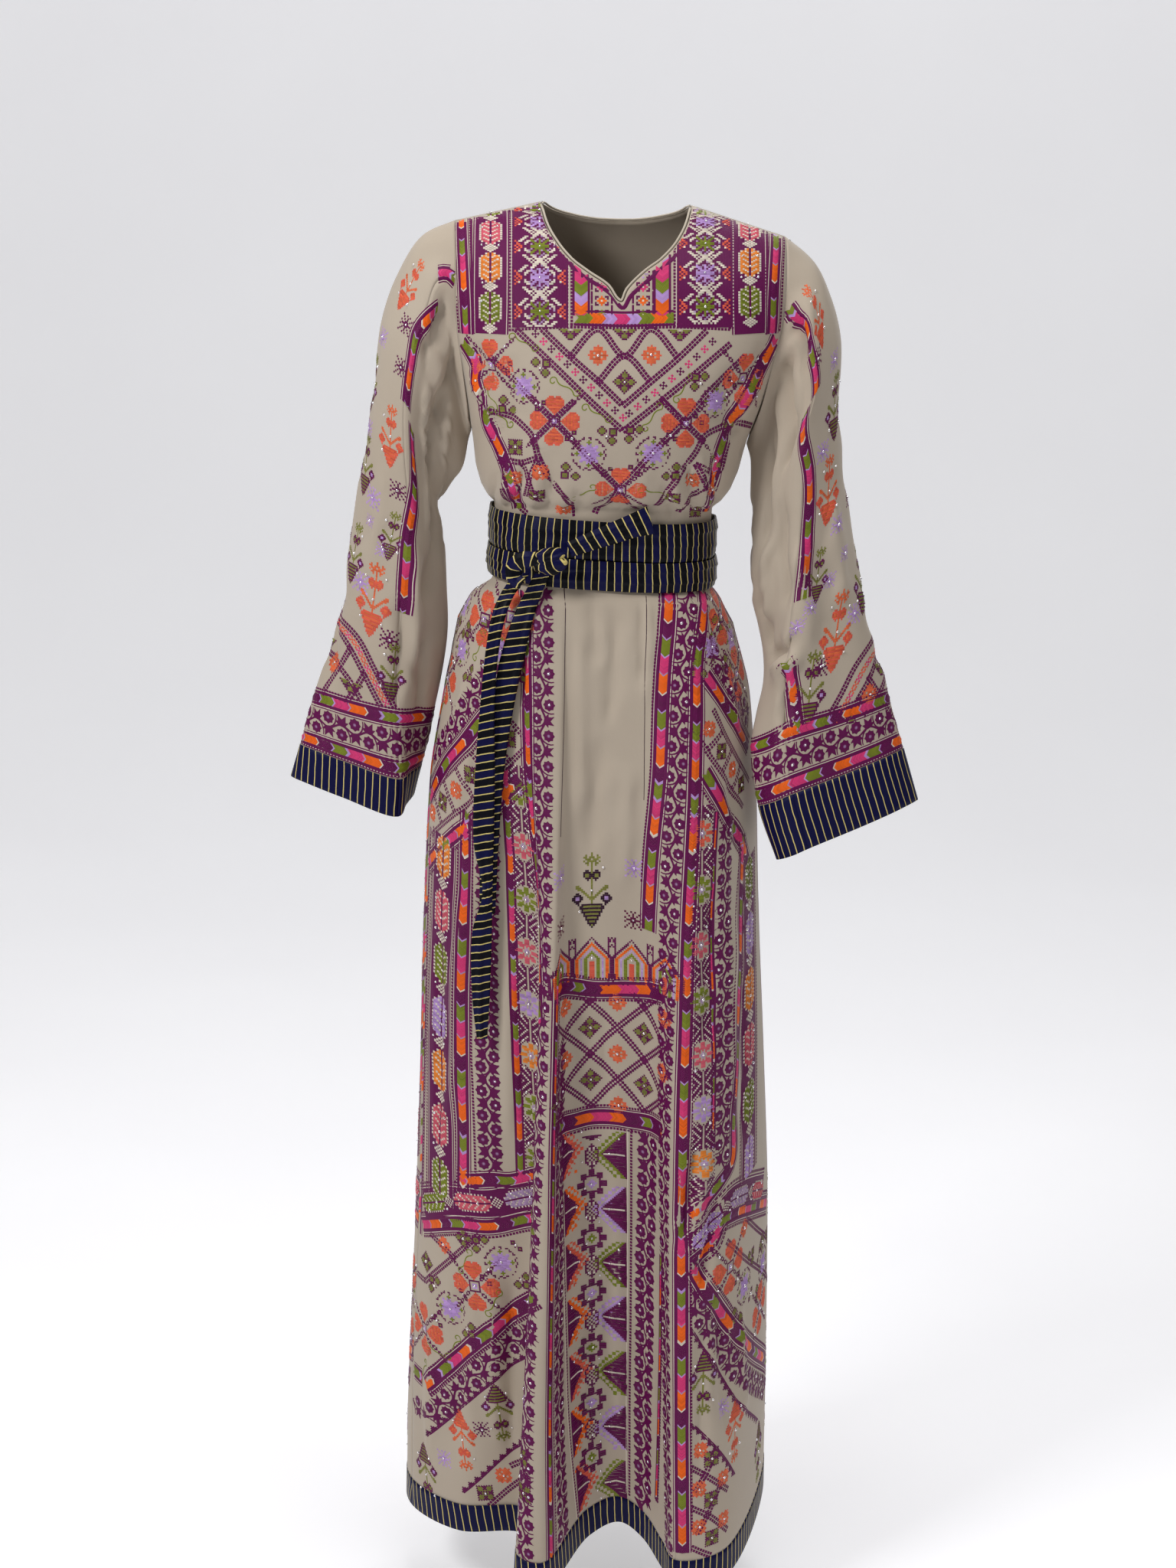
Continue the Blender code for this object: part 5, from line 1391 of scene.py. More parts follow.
def thread_mat(name):
    """Embroidery thread: the stitch's own colour, fine strands and a soft gloss."""
    m = Mat(name)
    col = m.node("ShaderNodeVertexColor", layer_name="thread").outputs["Color"]
    uv = m.node("ShaderNodeUVMap", uv_map="cloth").outputs["UV"]
    sep = m.node("ShaderNodeSeparateXYZ")
    m.link(uv, sep.inputs[0])
    d = m.math("ADD", sep.outputs[1], m.math("MULTIPLY", sep.outputs[0], 0.35))
    strands = m.math("SINE", m.math("MULTIPLY", d, 2 * pi / 0.0007))
    c = m.mix(m.math("MULTIPLY_ADD", strands, 0.10, 0.10), col, (0.0, 0.0, 0.0))
    m.link(c, m.b.inputs["Base Color"])
    m.set(Roughness=0.50, Sheen_Weight=0.0, Specular_IOR_Level=0.20)
    m.bump(strands, 0.00008, 0.5)
    return m.m


def stone_mat(name):
    m = Mat(name)
    obj = m.node("ShaderNodeTexCoord").outputs["Object"]
    tint = m.noise(obj, 70, 0.0)
    m.link(m.mix(tint, lin(226, 226, 236), lin(246, 240, 232)), m.b.inputs["Base Color"])
    m.set(Roughness=0.07, Metallic=0.75, Specular_IOR_Level=0.9)
    return m.m


def plain(name, rgb, rough=0.7, grain=1100):
    m = Mat(name)
    obj = m.node("ShaderNodeTexCoord").outputs["Object"]
    g = m.noise(obj, grain, 2.0)
    dark = tuple(c * 0.8 for c in lin(*rgb))
    m.link(m.mix(g, dark, lin(*rgb)), m.b.inputs["Base Color"])
    m.set(Roughness=rough, Sheen_Weight=0.15, Specular_IOR_Level=0.3)
    m.bump(g, 0.00015, 0.5)
    return m.m


GREIGE_LO, GREIGE_HI = (176, 162, 145), (188, 175, 158)
NAVY_A, NAVY_B = (10, 11, 58), (4, 4, 14)
# the two golds are painted light: the shaded and the highlighted parts of the weave
GOLD_WEAVE_SHADE, GOLD_WEAVE_HIGHLIGHT = (186, 164, 88), (240, 224, 146)
MAT_BODY = crepe("greige_crepe")
MAT_HEM = striped("striped_trim", 0.0086, 0.125, 0, two_tone=False)
MAT_WRAP = striped("sash_wrap", 0.0080, 0.120, 0)
MAT_TAIL = striped("sash_tail", 0.0088, 0.135, 1)
MAT_THREAD = thread_mat("embroidery_thread")
MAT_STONE = stone_mat("rhinestone")
MAT_BIND = plain("neck_binding", (196, 184, 166), 0.65)

# ------------------------------------------------------------------ meshes from arrays
def make_mesh(name, verts, faces, mats, uv=None, cloth_uv=None, colour=None, smooth=True, mat_index=None):
    """faces: list of int arrays (k,3) or (k,4); uv and cloth_uv are per vertex."""
    me = bpy.data.meshes.new(name)
    verts = np.asarray(verts, np.float32)
    me.vertices.add(len(verts))
    me.vertices.foreach_set("co", verts.ravel())
    loops = np.concatenate([f.ravel() for f in faces]).astype(np.int32)
    sizes = np.concatenate([np.full(len(f), f.shape[1]) for f in faces]).astype(np.int32)
    starts = np.r_[0, np.cumsum(sizes)[:-1]].astype(np.int32)
    me.loops.add(len(loops))
    me.loops.foreach_set("vertex_index", loops)
    me.polygons.add(len(sizes))
    me.polygons.foreach_set("loop_start", starts)
    for m in mats:
        me.materials.append(m)
    if mat_index is not None:
        me.polygons.foreach_set("material_index", np.asarray(mat_index, np.int32))
    me.update(calc_edges=True)
    for label, data in (("OFBake", uv), ("cloth", cloth_uv)):
        if data is not None:
            layer = me.uv_layers.new(name=label)
            layer.data.foreach_set("uv", np.asarray(data, np.float32)[loops].ravel())
    if colour is not None:
        att = me.color_attributes.new("thread", "FLOAT_COLOR", "POINT")
        rgba = np.concatenate((colour, np.ones((len(colour), 1))), axis=1).astype(np.float32)
        att.data.foreach_set("color", rgba.ravel())
    if smooth:
        me.polygons.foreach_set("use_smooth", np.ones(len(sizes), bool))
    me.validate()
    ob = bpy.data.objects.new(name, me)
    bpy.context.scene.collection.objects.link(ob)
    return ob


def grid_faces(m, n, off=0, flip=False):
    i, j = np.meshgrid(np.arange(m - 1), np.arange(n - 1), indexing="ij")
    a = off + i * n + j
    q = np.stack((a, a + 1, a + n + 1, a + n), -1).reshape(-1, 4)
    return q[:, ::-1] if flip else q


CUT = {}


def cut_size(p, skip=0.0):
    """Width, length and area of a cloth's middle face; the width leaves out the rows that follow a neck or armhole."""
    across = np.linalg.norm(np.diff(p, axis=1), axis=2).sum(axis=1)[int(skip * len(p)):].max()
    along = np.linalg.norm(np.diff(p, axis=0), axis=2).sum(axis=0).max()
    d1, d2 = p[1:, 1:] - p[:-1, :-1], p[1:, :-1] - p[:-1, 1:]
    return float(across), float(along), float(np.linalg.norm(np.cross(d1, d2), axis=2).sum() / 2)


def shell_obj(name, p, n, u, v, mat, out=0.0010, inn=0.0008, flip=1.0):
    """A thin wall of cloth from a grid: outer face, inner face and the edges all round."""
    m, k, _ = p.shape
    CUT[name] = cut_size(p, 0.35 if name.startswith("bodice") else 0.15 if name.startswith("sleeve") else 0.0)
    po, pi_ = p + n * out, p - n * inn
    count = m * k
    verts = np.concatenate((po.reshape(-1, 3), pi_.reshape(-1, 3)))
    f = [grid_faces(m, k, 0, flip < 0), grid_faces(m, k, count, flip > 0)]
    idx = np.arange(count).reshape(m, k)
    for line, rev in ((idx[0], False), (idx[-1], True), (idx[:, 0], True), (idx[:, -1], False)):
        a, b = line[:-1], line[1:]
        q = np.stack((a, a + count, b + count, b), -1)
        f.append(q if rev == (flip < 0) else q[:, ::-1])
    u = np.broadcast_to(u, (m, k))
    v = np.broadcast_to(v, (m, k))
    lo_u, hi_u, lo_v, hi_v = u.min(), u.max(), v.min(), v.max()
    s = 0.485 / max(hi_u - lo_u, (hi_v - lo_v) / 2)
    one = np.stack(((u - lo_u) * s + 0.005, (v - lo_v) * s + 0.005), -1).reshape(-1, 2)
    uv = np.concatenate((one, one + (0.5, 0)))
    uv[:, 1] = np.clip(uv[:, 1], 0, 1)
    cl = np.stack((u, v), -1).reshape(-1, 2)
    return make_mesh(name, verts, f, [mat], uv, np.concatenate((cl, cl)))


PIECES = []


def dress(ob, node):
    """A piece that stands for a node of the part."""
    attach(ob, "root")
    if node:
        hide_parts(node)
    PIECES.append(ob)
    return ob

# ------------------------------------------------------------------ the sewn panels
HEM_ROW = int(np.argmin(abs(s_v - (WAIST_Z - HEM_Z0 - HEM_BAND))))
PANELS = (("front_left", "side_l", "fold_l"), ("front_centre", "fold_l", "crest_r"), ("front_right", "crest_r", "side_r"),
          ("back", "side_r", None))
SHEETS = []
for tag, a, b in PANELS:
    c0, c1 = COL_OF[COL[a]], (COL_OF[COL[b]] if b else COL_OF[-1])
    cols = slice(c0, c1 + 1)
    for kind, rows in (("skirt", slice(0, HEM_ROW + 1)), ("hem", slice(HEM_ROW, len(s_v)))):
        p, n, u = skirt.p[rows, cols], skirt.n[rows, cols], skirt.u[rows, cols]
        v = np.repeat(skirt.v[rows, None], p.shape[1], axis=1)
        lift = 0.0010 if kind == "skirt" else 0.0016
        ob = shell_obj(kind + "_" + tag + "_cloth", p, n, u, v, MAT_BODY if kind == "skirt" else MAT_HEM, lift, 0.0008,
                       flip=skirt.flip)
        dress(ob, kind + "_" + tag)
        SHEETS.append(ob)
for tag, sewn in (("front", sewn_f), ("back", sewn_b)):
    ob = shell_obj("bodice_%s_cloth" % tag, sewn.p, sewn.n, sewn.u, sewn.vv, MAT_BODY, 0.0010, 0.0008, flip=sewn.flip)
    dress(ob, "bodice_" + tag)
    SHEETS.append(ob)
for side, cl in sleeve.items():
    m = cl.p.shape[0]
    cut = m - 1 - SL_ROWS
    for part, cols in (("outer", slice(0, SL_SEAM + 1)), ("under", slice(SL_SEAM, cl.p.shape[1]))):
        for kind, rows in (("sleeve", slice(0, cut + 1)), ("cuff", slice(cut, m))):
            p, n, u = cl.p[rows, cols], cl.n[rows, cols], cl.u[rows, cols]
            v = np.repeat(cl.v[rows, None], p.shape[1], axis=1)
            ob = shell_obj("%s_%s_%s_cloth" % (kind, side, part), p, n, u, v, MAT_BODY if kind == "sleeve" else MAT_HEM,
                           0.0010 if kind == "sleeve" else 0.0016, 0.0008, flip=cl.flip)
            dress(ob, "%s_%s_%s" % (kind, side, part))
            SHEETS.append(ob)


# ------------------------------------------------------------------ embroidery of the skirt
W = Work(skirt)
# the dark purple thread is used only for lines of painted shade along creases and fold edges
P_, CREASE_SHADE_THREAD, WH = RGB["P"], RGB["D"], RGB["W"]


def seen(cloth, pts):
    """A band through places measured in the photo's frame."""
    a = np.array(pts, float)
    uv = cloth.find(a[:, 0], a[:, 1])
    if cloth is skirt:          # past the middle of the back: the same side, counted from the front
        far = uv[:, 0] > 0.62
        uv[far, 0] = u_of("side_l", uv[far, 1]) - 0.002
    return Strip(uv)


def spot(cloth, x, y, turn=0.0, scale=1.0):
    (u, v), = cloth.find([x], [y])
    return patch(u, v, turn, scale)


def beside(name, table, side=-1):
    """A band at a distance from a column of the skirt: v, distance."""
    t = np.array(table)
    v = np.linspace(t[0, 0], t[-1, 0], 24)
    d = np.interp(v, t[:, 0], t[:, 1])
    return Strip(np.stack((u_of(name, v) + side * d, v), 1))


def multi(w, st, y0, y1, half=0.0040, phase=0.0, lines=True, dots=0, down=1.0, order=None, x=0.0):
    """The many-coloured satin band with its purple and pale edges."""
    w.satin(st, x - half, x + half, y0, y1, phase, order, down=down)
    if lines:
        for s in (-1, 1):
            w.line(st, x + s * (half + 0.0018), y0, y1, 0.0038, P_, 0.0005)
            w.line(st, x + s * (half + 0.0041), y0, y1, 0.0009, WH, 0.0003)
            w.line(st, x + s * (half + 0.0052), y0, y1, 0.0014, P_, 0.0003)
    for s in (-1, 1):
        if dots in (s, 2):
            w.dots(st, x + s * (half + 0.0080), y0, y1)


def mini(w, st, y0, y1, half=0.0018, phase=0.0):
    w.satin(st, -half, half, y0, y1, phase)
    for s in (-1, 1):
        w.line(st, s * (half + 0.0012), y0, y1, 0.0026, P_)


def tiles(w, st, charts, y0, y1, cell_w, n_cols, tall, rows, h=0.00045):
    y, k = y0, 0
    while y < y1 - 0.01:
        c = charts[k % len(charts)]
        use = c[:max(int((y1 - y) / tall), 1)]
        w.chart(st, use, -n_cols * cell_w / 2, y, cell_w, tall, h=h)
        y += rows * tall
        k += 1


def ground(w, st, y0, y1, half, n):
    """Purple ribs side by side, as the ground of a filled band."""
    for k in range(n):
        w.line(st, half * ((2 * k + 1) / n - 1), y0, y1, 2.1 * half / n, P_, 0.00028, step=0.007, base=0.00118)


def leafband(w, st, y0, y1, half=0.0120, codes="KGLO", edges=True, tall=0.0020):
    ground(w, st, y0, y1, half, 9)
    tiles(w, st, [[r.replace("P", ".") for r in leaf_cells(c)] for c in codes], y0, y1, 2 * half / 13, 13, tall, 31, 0.00095)
    if edges:
        for s in (-1, 1):
            w.line(st, s * (half + 0.0014), y0, y1, 0.0032, P_)
            w.line(st, s * (half + 0.0034), y0, y1, 0.0009, WH, 0.0003)
            w.line(st, s * (half + 0.0048), y0, y1, 0.0018, P_)
            w.dots(st, s * (half + 0.0085), y0, y1)


def rosettes(w, st, y0, y1, half=0.0150, codes="KGKGLO", tall=0.00197):
    tiles(w, st, [rosette_cells(c) for c in codes], y0, y1, 2 * half / 15, 15, tall, 30)


# ---- left panel: bands beside the crest
V1L = ((0.050, 0.0190), (0.140, 0.0190), (0.260, 0.0175), (0.360, 0.0150), (0.560, 0.0150), (0.660, 0.0180), (0.760, 0.0205), (1.095, 0.0215))
st = beside("crest_l", V1L)
W.vine(st, 0.0, 0.0, st.length, 0.0318, 0.0068)
st = beside("crest_l", ((0.050, 0.0385), (0.140, 0.0385), (0.260, 0.0365), (0.330, 0.0315), (0.400, 0.0250), (0.500, 0.0180)))
multi(W, st, 0.0, st.length, 0.0038, 0.030, dots=0)
st = beside("crest_l", ((0.235, 0.0500), (0.300, 0.0490), (0.370, 0.0490), (0.440, 0.0545), (0.560, 0.0600), (0.720, 0.0620)))
rosettes(W, st, 0.0, st.length, 0.0140, "GKGKLOG")
st = beside("crest_l", ((0.240, 0.0650), (0.340, 0.0645), (0.450, 0.0705), (0.560, 0.0770), (0.700, 0.0820)))
mini(W, st, 0.0, st.length, 0.0030, 0.02)
V2L = ((0.270, 0.0860), (0.340, 0.0900), (0.450, 0.1010), (0.560, 0.1100), (0.660, 0.1140), (0.695, 0.1150))
st = beside("crest_l", V2L)
W.vine(st, 0.0, 0.0, st.length, 0.0280, 0.0076)
st = beside("crest_l", ((0.285, 0.1050), (0.340, 0.1080), (0.560, 0.1285), (0.715, 0.1330)))
W.dots(st, 0.0, 0.0, st.length)
st = beside("crest_l", ((0.290, 0.1150), (0.340, 0.1180), (0.560, 0.1405), (0.722, 0.1495)))
multi(W, st, 0.0, st.length, 0.0046, 0.010)
st = beside("crest_l", ((0.310, 0.1370), (0.560, 0.1600), (0.740, 0.1670)))
W.dots(st, 0.0, 0.0, st.length)
st = beside("crest_l", ((0.325, 0.1540), (0.560, 0.1790), (0.740, 0.1850)))
leafband(W, st, 0.0, st.length, 0.0172, "OKGLOKG")
st = beside("side_l", ((0.330, 0.0080), (0.740, 0.0090)), 1)
W.dots(st, 0.0, 0.0, st.length)
st = beside("side_l", ((0.320, 0.0), (0.790, 0.0)), 1)
multi(W, st, 0.0, st.length, 0.0040, 0.045)

# ---- left panel: the bands across, below the frame
multi(W, seen(skirt, ((600, 1541), (640, 1541), (672, 1542), (696, 1545))), 0, 0.125, 0.0046, 0.03)
st = seen(skirt, ((553, 1571), (600, 1569), (650, 1571), (694, 1577)))
leafband(W, st, 0.0, st.length, 0.0125, "GKSG")
st = seen(skirt, ((552, 1599), (600, 1598), (650, 1601), (697, 1608)))
multi(W, st, 0.0, st.length, 0.0044, 0.02, dots=2)

# ---- left panel, top: slanted bands with flowers between
def ladder(w, st, y0, pitch, half, kinds, cell=0.002):
    """Flowers along a band, with double rows of stitches across it between them."""
    t = np.linspace(-half, half, 2 * int(round(half / 0.0036)) + 1)
    for k, kind in enumerate(kinds):
        y = y0 + pitch * k
        if y + 0.010 < st.length:
            w.mid(st, kind, 0.0, y, cell=cell)
        if y + pitch / 2 + 0.004 < st.length:
            for d in (-0.0018, 0.0018):
                w.studs(st, t, np.full(len(t), y + pitch / 2 + d), 0.0028, P_)


st = seen(skirt, ((566, 985), (590, 951), (614, 916), (640, 876)))
W.vine(st, 0.0, -0.01, st.length + 0.006, 0.0318, 0.0066)
st = seen(skirt, ((558, 1030), (582, 998), (606, 969), (640, 928)))
multi(W, st, -0.006, st.length + 0.004, 0.0044, 0.02, dots=1)
st = seen(skirt, ((566, 1118), (600, 1086), (636, 1058), (676, 1020)))
multi(W, st, -0.02, st.length + 0.004, 0.0044, 0.05, dots=-1)
st = seen(skirt, ((560, 1066), (590, 1036), (625, 1003), (680, 948)))
for x in (-0.0215, -0.0180, 0.0180, 0.0215):
    W.dots(st, x, 0.0, st.length, pitch=0.0036)
ladder(W, st, 0.0145, 0.0325, 0.0162, (ORANGE, OLIVE, ORANGE, OLIVE, ORANGE, OLIVE))
HC, WR, WR2 = heart_cross(), wreath(0), wreath(1)
for x, y, turn in ((632, 809, -40), (585, 885, -40), (668, 806, -40)):
    W.mid(spot(skirt, x, y, turn + 45), HC, cell=0.00195)
for x, y, turn in ((603, 848, 5), (655, 850, 5), (608, 790, 5)):
    W.mid(spot(skirt, x, y, turn), WR, cell=0.0018)

# ---- left panel, bottom: hearts and wreaths, slanted bands, hanging flowers, lattice corner
for x, y in ((620, 1680), (555, 1735)):
    W.mid(spot(skirt, x, y), HC, cell=0.00195)
for x, y in ((655, 1649), (588, 1709)):
    W.mid(spot(skirt, x, y), WR, cell=0.0018)
st = seen(skirt, ((556, 1809), (600, 1772), (650, 1732), (697, 1694)))
multi(W, st, 0.0, st.length, 0.0046, 0.045)
W.dots(st, -0.0120, 0.0, st.length + 0.004)
W.dots(st, -0.0095, 0.0, st.length + 0.004)
W.dots(st, 0.0100, 0.0, st.length + 0.004)
multi(W, seen(skirt, ((537, 1783), (556, 1806))), 0, 0.024, 0.0046, 0.0)
st = seen(skirt, ((558, 1852), (602, 1814), (650, 1772), (697, 1738)))
W.vine(st, 0.0, -0.004, st.length, 0.0318, 0.0070)
W.vine(seen(skirt, ((538, 1828), (557, 1850))), 0.0, 0.0, 0.022, 0.0318, 0.0066)


def sawtooth(w, st, side=1, size=0.0042):
    w.line(st, 0.0, 0.0, st.length, 0.0016, P_)
    for y in np.arange(0.004, st.length, 0.0105):
        for k, wd in enumerate((5, 3, 1)):
            a, b = sorted((side * (k * 0.0018 + 0.0008), side * (k * 0.0018 + 0.0026)))
            w.roofs(st, [a], [b], [y - wd * 0.0010], [y + wd * 0.0010], P_, along="y")


sawtooth(W, seen(skirt, ((558, 1876), (600, 1842), (645, 1806), (692, 1768))))
sawtooth(W, seen(skirt, ((606, 1950), (630, 1930), (656, 1906), (688, 1878))))
HANG = POT[::-1]
for x, y, key in ((604, 1880, WARM), (652, 1846, None), (557, 1925, None)):
    W.mid(spot(skirt, x, y), HANG, key=key, cell=0.0018)
for x, y, key in ((629, 1867, None), (580, 1905, {"P": "L"}), (680, 1822, {"P": "L"})):
    W.mid(spot(skirt, x, y), SNOW, key=key)
for x, y, kind in ((658, 1927, ORANGE), (681, 1901, OLIVE), (634, 1950, OLIVE), (684, 1950, OLIVE)):
    W.mid(spot(skirt, x, y, 45), kind, cell=0.0020)
for x, y, kind in ((580, 1626, ORANGE), (557, 1648, OLIVE), (605, 1617, OLIVE)):
    W.mid(spot(skirt, x, y), kind, cell=0.0019)


for pts in (((556, 1673), (590, 1644), (626, 1612)), ((541, 1656), (556, 1673)), ((563, 1612), (581, 1630), (594, 1643))):
    st = seen(skirt, pts)
    for x in (-0.0019, 0.0019):
        W.dots(st, x, 0.0, st.length, pitch=0.0036, size=0.0030)
for pts in (((668, 1914), (680, 1925), (695, 1936)), ((640, 1966), (668, 1942), (690, 1922))):
    st = seen(skirt, pts)
    for x in (-0.0019, 0.0019):
        W.dots(st, x, 0.0, st.length, pitch=0.0036, size=0.0030)


def scroll(w, cloth, x, y, turn=0.0, flip=1, size=1.0):
    """An olive scroll with a curl at each end."""
    at = spot(cloth, x, y, turn, size)
    t = np.linspace(-1, 1, 17)
    w.path(at, np.stack((0.013 * t, -flip * 0.0022 * np.sin(pi * t)), 1), 0.0013, RGB["G"], 0.0004)
    for s in (-1, 1):
        a = np.linspace(0, 5.2, 16)
        r = 0.0046 * (1 - a / 7.5)
        cx, cy = s * 0.013, -s * flip * 0.0046
        w.path(at, np.stack((cx + s * r * np.sin(a), cy + s * flip * r * np.cos(a)), 1), 0.0012, RGB["G"], 0.0004)


for x, y, turn in ((607, 1648, -42), (645, 1703, -42), (592, 1760, -42), (553, 1790, -42), (574, 1768, 40), (626, 845, -42), (575, 925, -42)):
    scroll(W, skirt, x, y, turn)

# ---- centre: a dark line of painted shade along the crease of the plain part, flower pot, stars, arches
# a thin dark thread line along the crease stands for the crease's shadow: painted shade
st = seen(skirt, ((844, 778), (843, 860), (842, 950), (841, 1045)))
W.line(st, 0.0, 0.0, st.length, 0.0007, CREASE_SHADE_THREAD)
at = spot(skirt, 773, 1163)
W.mid(at, POT, cell=0.0021, key={"P": "D"})
W.mid(spot(skirt, 828, 1134), SNOW, key={"P": "L"}, cell=0.0022)
W.mid(spot(skirt, 827, 1202), SNOW, key={"P": "B"}, cell=0.0022)


def arch_cells():
    """A pointed arch in purple, orange, lilac, olive and coral, with a purple shoot beside it."""
    g = blank(27, 24)
    for i in range(24):
        for j in range(27):
            x = abs(j - 13)
            lv = x + max(0, 12 - i)
            c = {12: "P", 11: "P" if i > 2 else ".", 9: "O", 8: "O", 6: "L", 4: "G", 3: "G"}.get(lv, ".")
            if lv <= 1 and i > 13:
                c = "C"
            if x == 13 and (i < 12 or i > 20):
                c = "P"
            if (x == 12 and i in (1, 2, 5)) or (x == 11 and i in (0, 4)):
                c = "P"
            g[i][j] = c
    return joined(g)


AR = arch_cells()
(ar0, av0), (ar1, av1) = skirt.find([773, 825], [1251, 1251])
for k in (-1, 0, 1, 2):
    W.mid(patch(ar0 + k * (ar1 - ar0), av0), AR, cell=0.00196)
W.mid(patch(ar0 - (ar1 - ar0) * 0.98, av0 - 0.045), SNOW, key={"P": "B"}, cell=0.0022)
W.mid(patch(ar0 - (ar1 - ar0) * 0.98, av0 - 0.102), SNOW, key={"P": "L"}, cell=0.0022)

# ---- centre: lattice between two satin bands
st = seen(skirt, ((727, 1294), (773, 1292), (820, 1292), (862, 1297)))
TWO_WAY = (("O", 0.0150), ("P", 0.0210), ("L", 0.0018), ("G", 0.0110), ("L", 0.0018), ("P", 0.0190), ("O", 0.0200), ("K", 0.0200))
multi(W, st, 0.0, st.length, 0.0050, 0.0, order=TWO_WAY)
for x in (-0.0125, 0.0125):
    W.dots(st, x, 0.0, st.length)
W.line(st, -0.0095, 0.0, st.length, 0.0012, P_)


def lattice(w, cloth, cx, cy, du, dv, near, first):
    """Double dotted slanted lines with a flower in each field; du, dv are half fields."""
    (u0, v0), = cloth.find([cx], [cy])
    for k in range(-4, 5):
        for s in (-1, 1):
            a = np.linspace(-6, 6, int(12 * np.hypot(du, dv) / 0.0034))
            for off in (-0.0020, 0.0020):
                nrm = np.array((dv, -s * du)) / np.hypot(du, dv) * off
                uu = u0 + (k * 2 + 1) * du + a * du + nrm[0]
                vv = v0 + s * a * dv + nrm[1]
                ok = near(uu, vv)
                w.studs(lambda x, y: np.stack((x, y), -1), uu[ok], vv[ok], 0.0031, P_)
    for i in range(-4, 5):
        for j in range(-4, 5):
            if (i + j) % 2:
                continue
            uu, vv = u0 + i * du, v0 + j * dv
            if near(np.array(uu), np.array(vv)):
                w.mid(patch(uu, vv), OLIVE if (j % 2 == 0) == first else ORANGE, cell=0.0020)


(la, va), (lb, vb) = skirt.find([728, 862], [1305, 1305])
bot = skirt.find([731, 770, 821, 862], [1459, 1447, 1450, 1463])


def in_lattice(u, v):
    return (u > u_of("crest_l", v) + 0.006) & (u < u_of("flank_r", v) + 0.004) & (v > va - 0.002) & \
        (v < np.interp(u, bot[:, 0], bot[:, 1]))


(c0, c1), (c2, c3), (c4, c5) = skirt.find([770.3, 841.2, 770.3], [1342, 1344, 1410])
lattice(W, skirt, 770.3, 1342, (c2 - c0) / 2, (c5 - c1) / 2, in_lattice, True)
st = seen(skirt, ((724, 1479), (745, 1466), (773, 1459), (800, 1459), (826, 1463), (864, 1477)))
multi(W, st, 0.0, st.length, 0.0052, 0.02, order=TWO_WAY)
for x in (-0.0130, 0.0130):
    W.dots(st, x, 0.0, st.length)

# ---- centre: zigzag panel
(ua, vv0), (ub, vv1) = skirt.find([820, 773], [1510, 1510])
edge_r = seen(skirt, ((820, 1474), (820, 1600), (819, 1750), (818, 1880), (818, 1950)))
W.line(edge_r, 0.0, 0.0, edge_r.length, 0.0013, WH, 0.0004)
W.dots(edge_r, 0.0040, 0.0, edge_r.length)


def triangle(w, at, side, code, rows=15, slope=1.0, bar=True, cell=0.002):
    """A ribbed purple triangle with stepped coloured squares on its two slanted sides."""
    g = blank(19, 2 * rows + 1)
    for i in range(2 * rows + 1):
        reach = int(round((rows - abs(i - rows)) * slope))
        for j in range(19):
            if i == rows and bar and 1 <= j < reach - 1:
                c = "W"
            elif j < reach:
                c = "P"
            elif reach and j < reach + 2:
                c = code
            elif reach and j < reach + 6 and (i // 2 + j // 2) % 2 == 0:
                c = code
            else:
                c = "."
            g[i][j if side < 0 else 18 - j] = c
    rows_ = joined(g)
    w.chart(at, rows_, 0.0 if side < 0 else -19 * cell, -(rows + 0.5) * cell, cell, longest=6)


for k in range(7):
    y = 1510 + 71.2 * k
    W_at = spot(skirt, 818.5, y)
    triangle(W, W_at, 1, "GL"[k % 2], 14)
LEFT_EDGE = ((731, 1478), (735, 1545), (738, 1640), (741, 1744), (746, 1874), (753, 1945))
for k in range(7):
    y = 1514 + 72.2 * k
    x = np.interp(y, [p[1] for p in LEFT_EDGE], [p[0] for p in LEFT_EDGE])
    triangle(W, spot(skirt, x + 1, y), -1, "CO"[k % 2], 14, 0.78)
W.dots(seen(skirt, LEFT_EDGE), -0.0022, 0.0, 0.60)
W.line(seen(skirt, LEFT_EDGE), -0.0050, 0.0, 0.60, 0.0016, WH, 0.0003)


def ring_flower(code):
    g = blank(15, 15)
    for i in range(15):
        for j in range(15):
            x, y = j - 7, i - 7
            r, a = np.hypot(x, y), np.arctan2(y, x)
            k = np.round(a / (pi / 4))
            da = a - k * pi / 4
            lx, ly = r * cos(da) - 5.4, r * sin(da)
            if (lx / 2.0) ** 2 + (ly / 1.9) ** 2 < 1:
                g[i][j] = "P"
            elif r < 2.2:
                g[i][j] = code
    return joined(g)


LADDER = ("...P...", "..PPP..", ".PWPWP.", "PP.P.PP", "P.P.P.P", "PP.P.PP", "P.P.P.P", "PP.P.PP", "P.P.P.P", "PP.P.PP",
          ".PWPWP.", "..PPP..", "...P...")
for k in range(6):
    y = 1546 + 71.4 * k
    if y < 1935:
        W.mid(spot(skirt, 773, y), ring_flower("LG"[k % 2]), cell=0.0023)
    if y - 36 < 1925:
        W.mid(spot(skirt, 773, y - 36), LADDER, cell=0.0023)
W.mid(spot(skirt, 773, 1486), ("PPPPPPPPPPP", "..PPPPPPP..", "....PPP...."), cell=0.0020)
for k in range(12):
    W.studs(spot(skirt, 798 + 5 * (k % 2), 1500 + 35.6 * k), 0, 0, 0.0034, RGB["GL"[(k // 2) % 2]])
    W.studs(spot(skirt, 752, 1530 + 35.6 * k), 0, 0, 0.0034, RGB["O"])

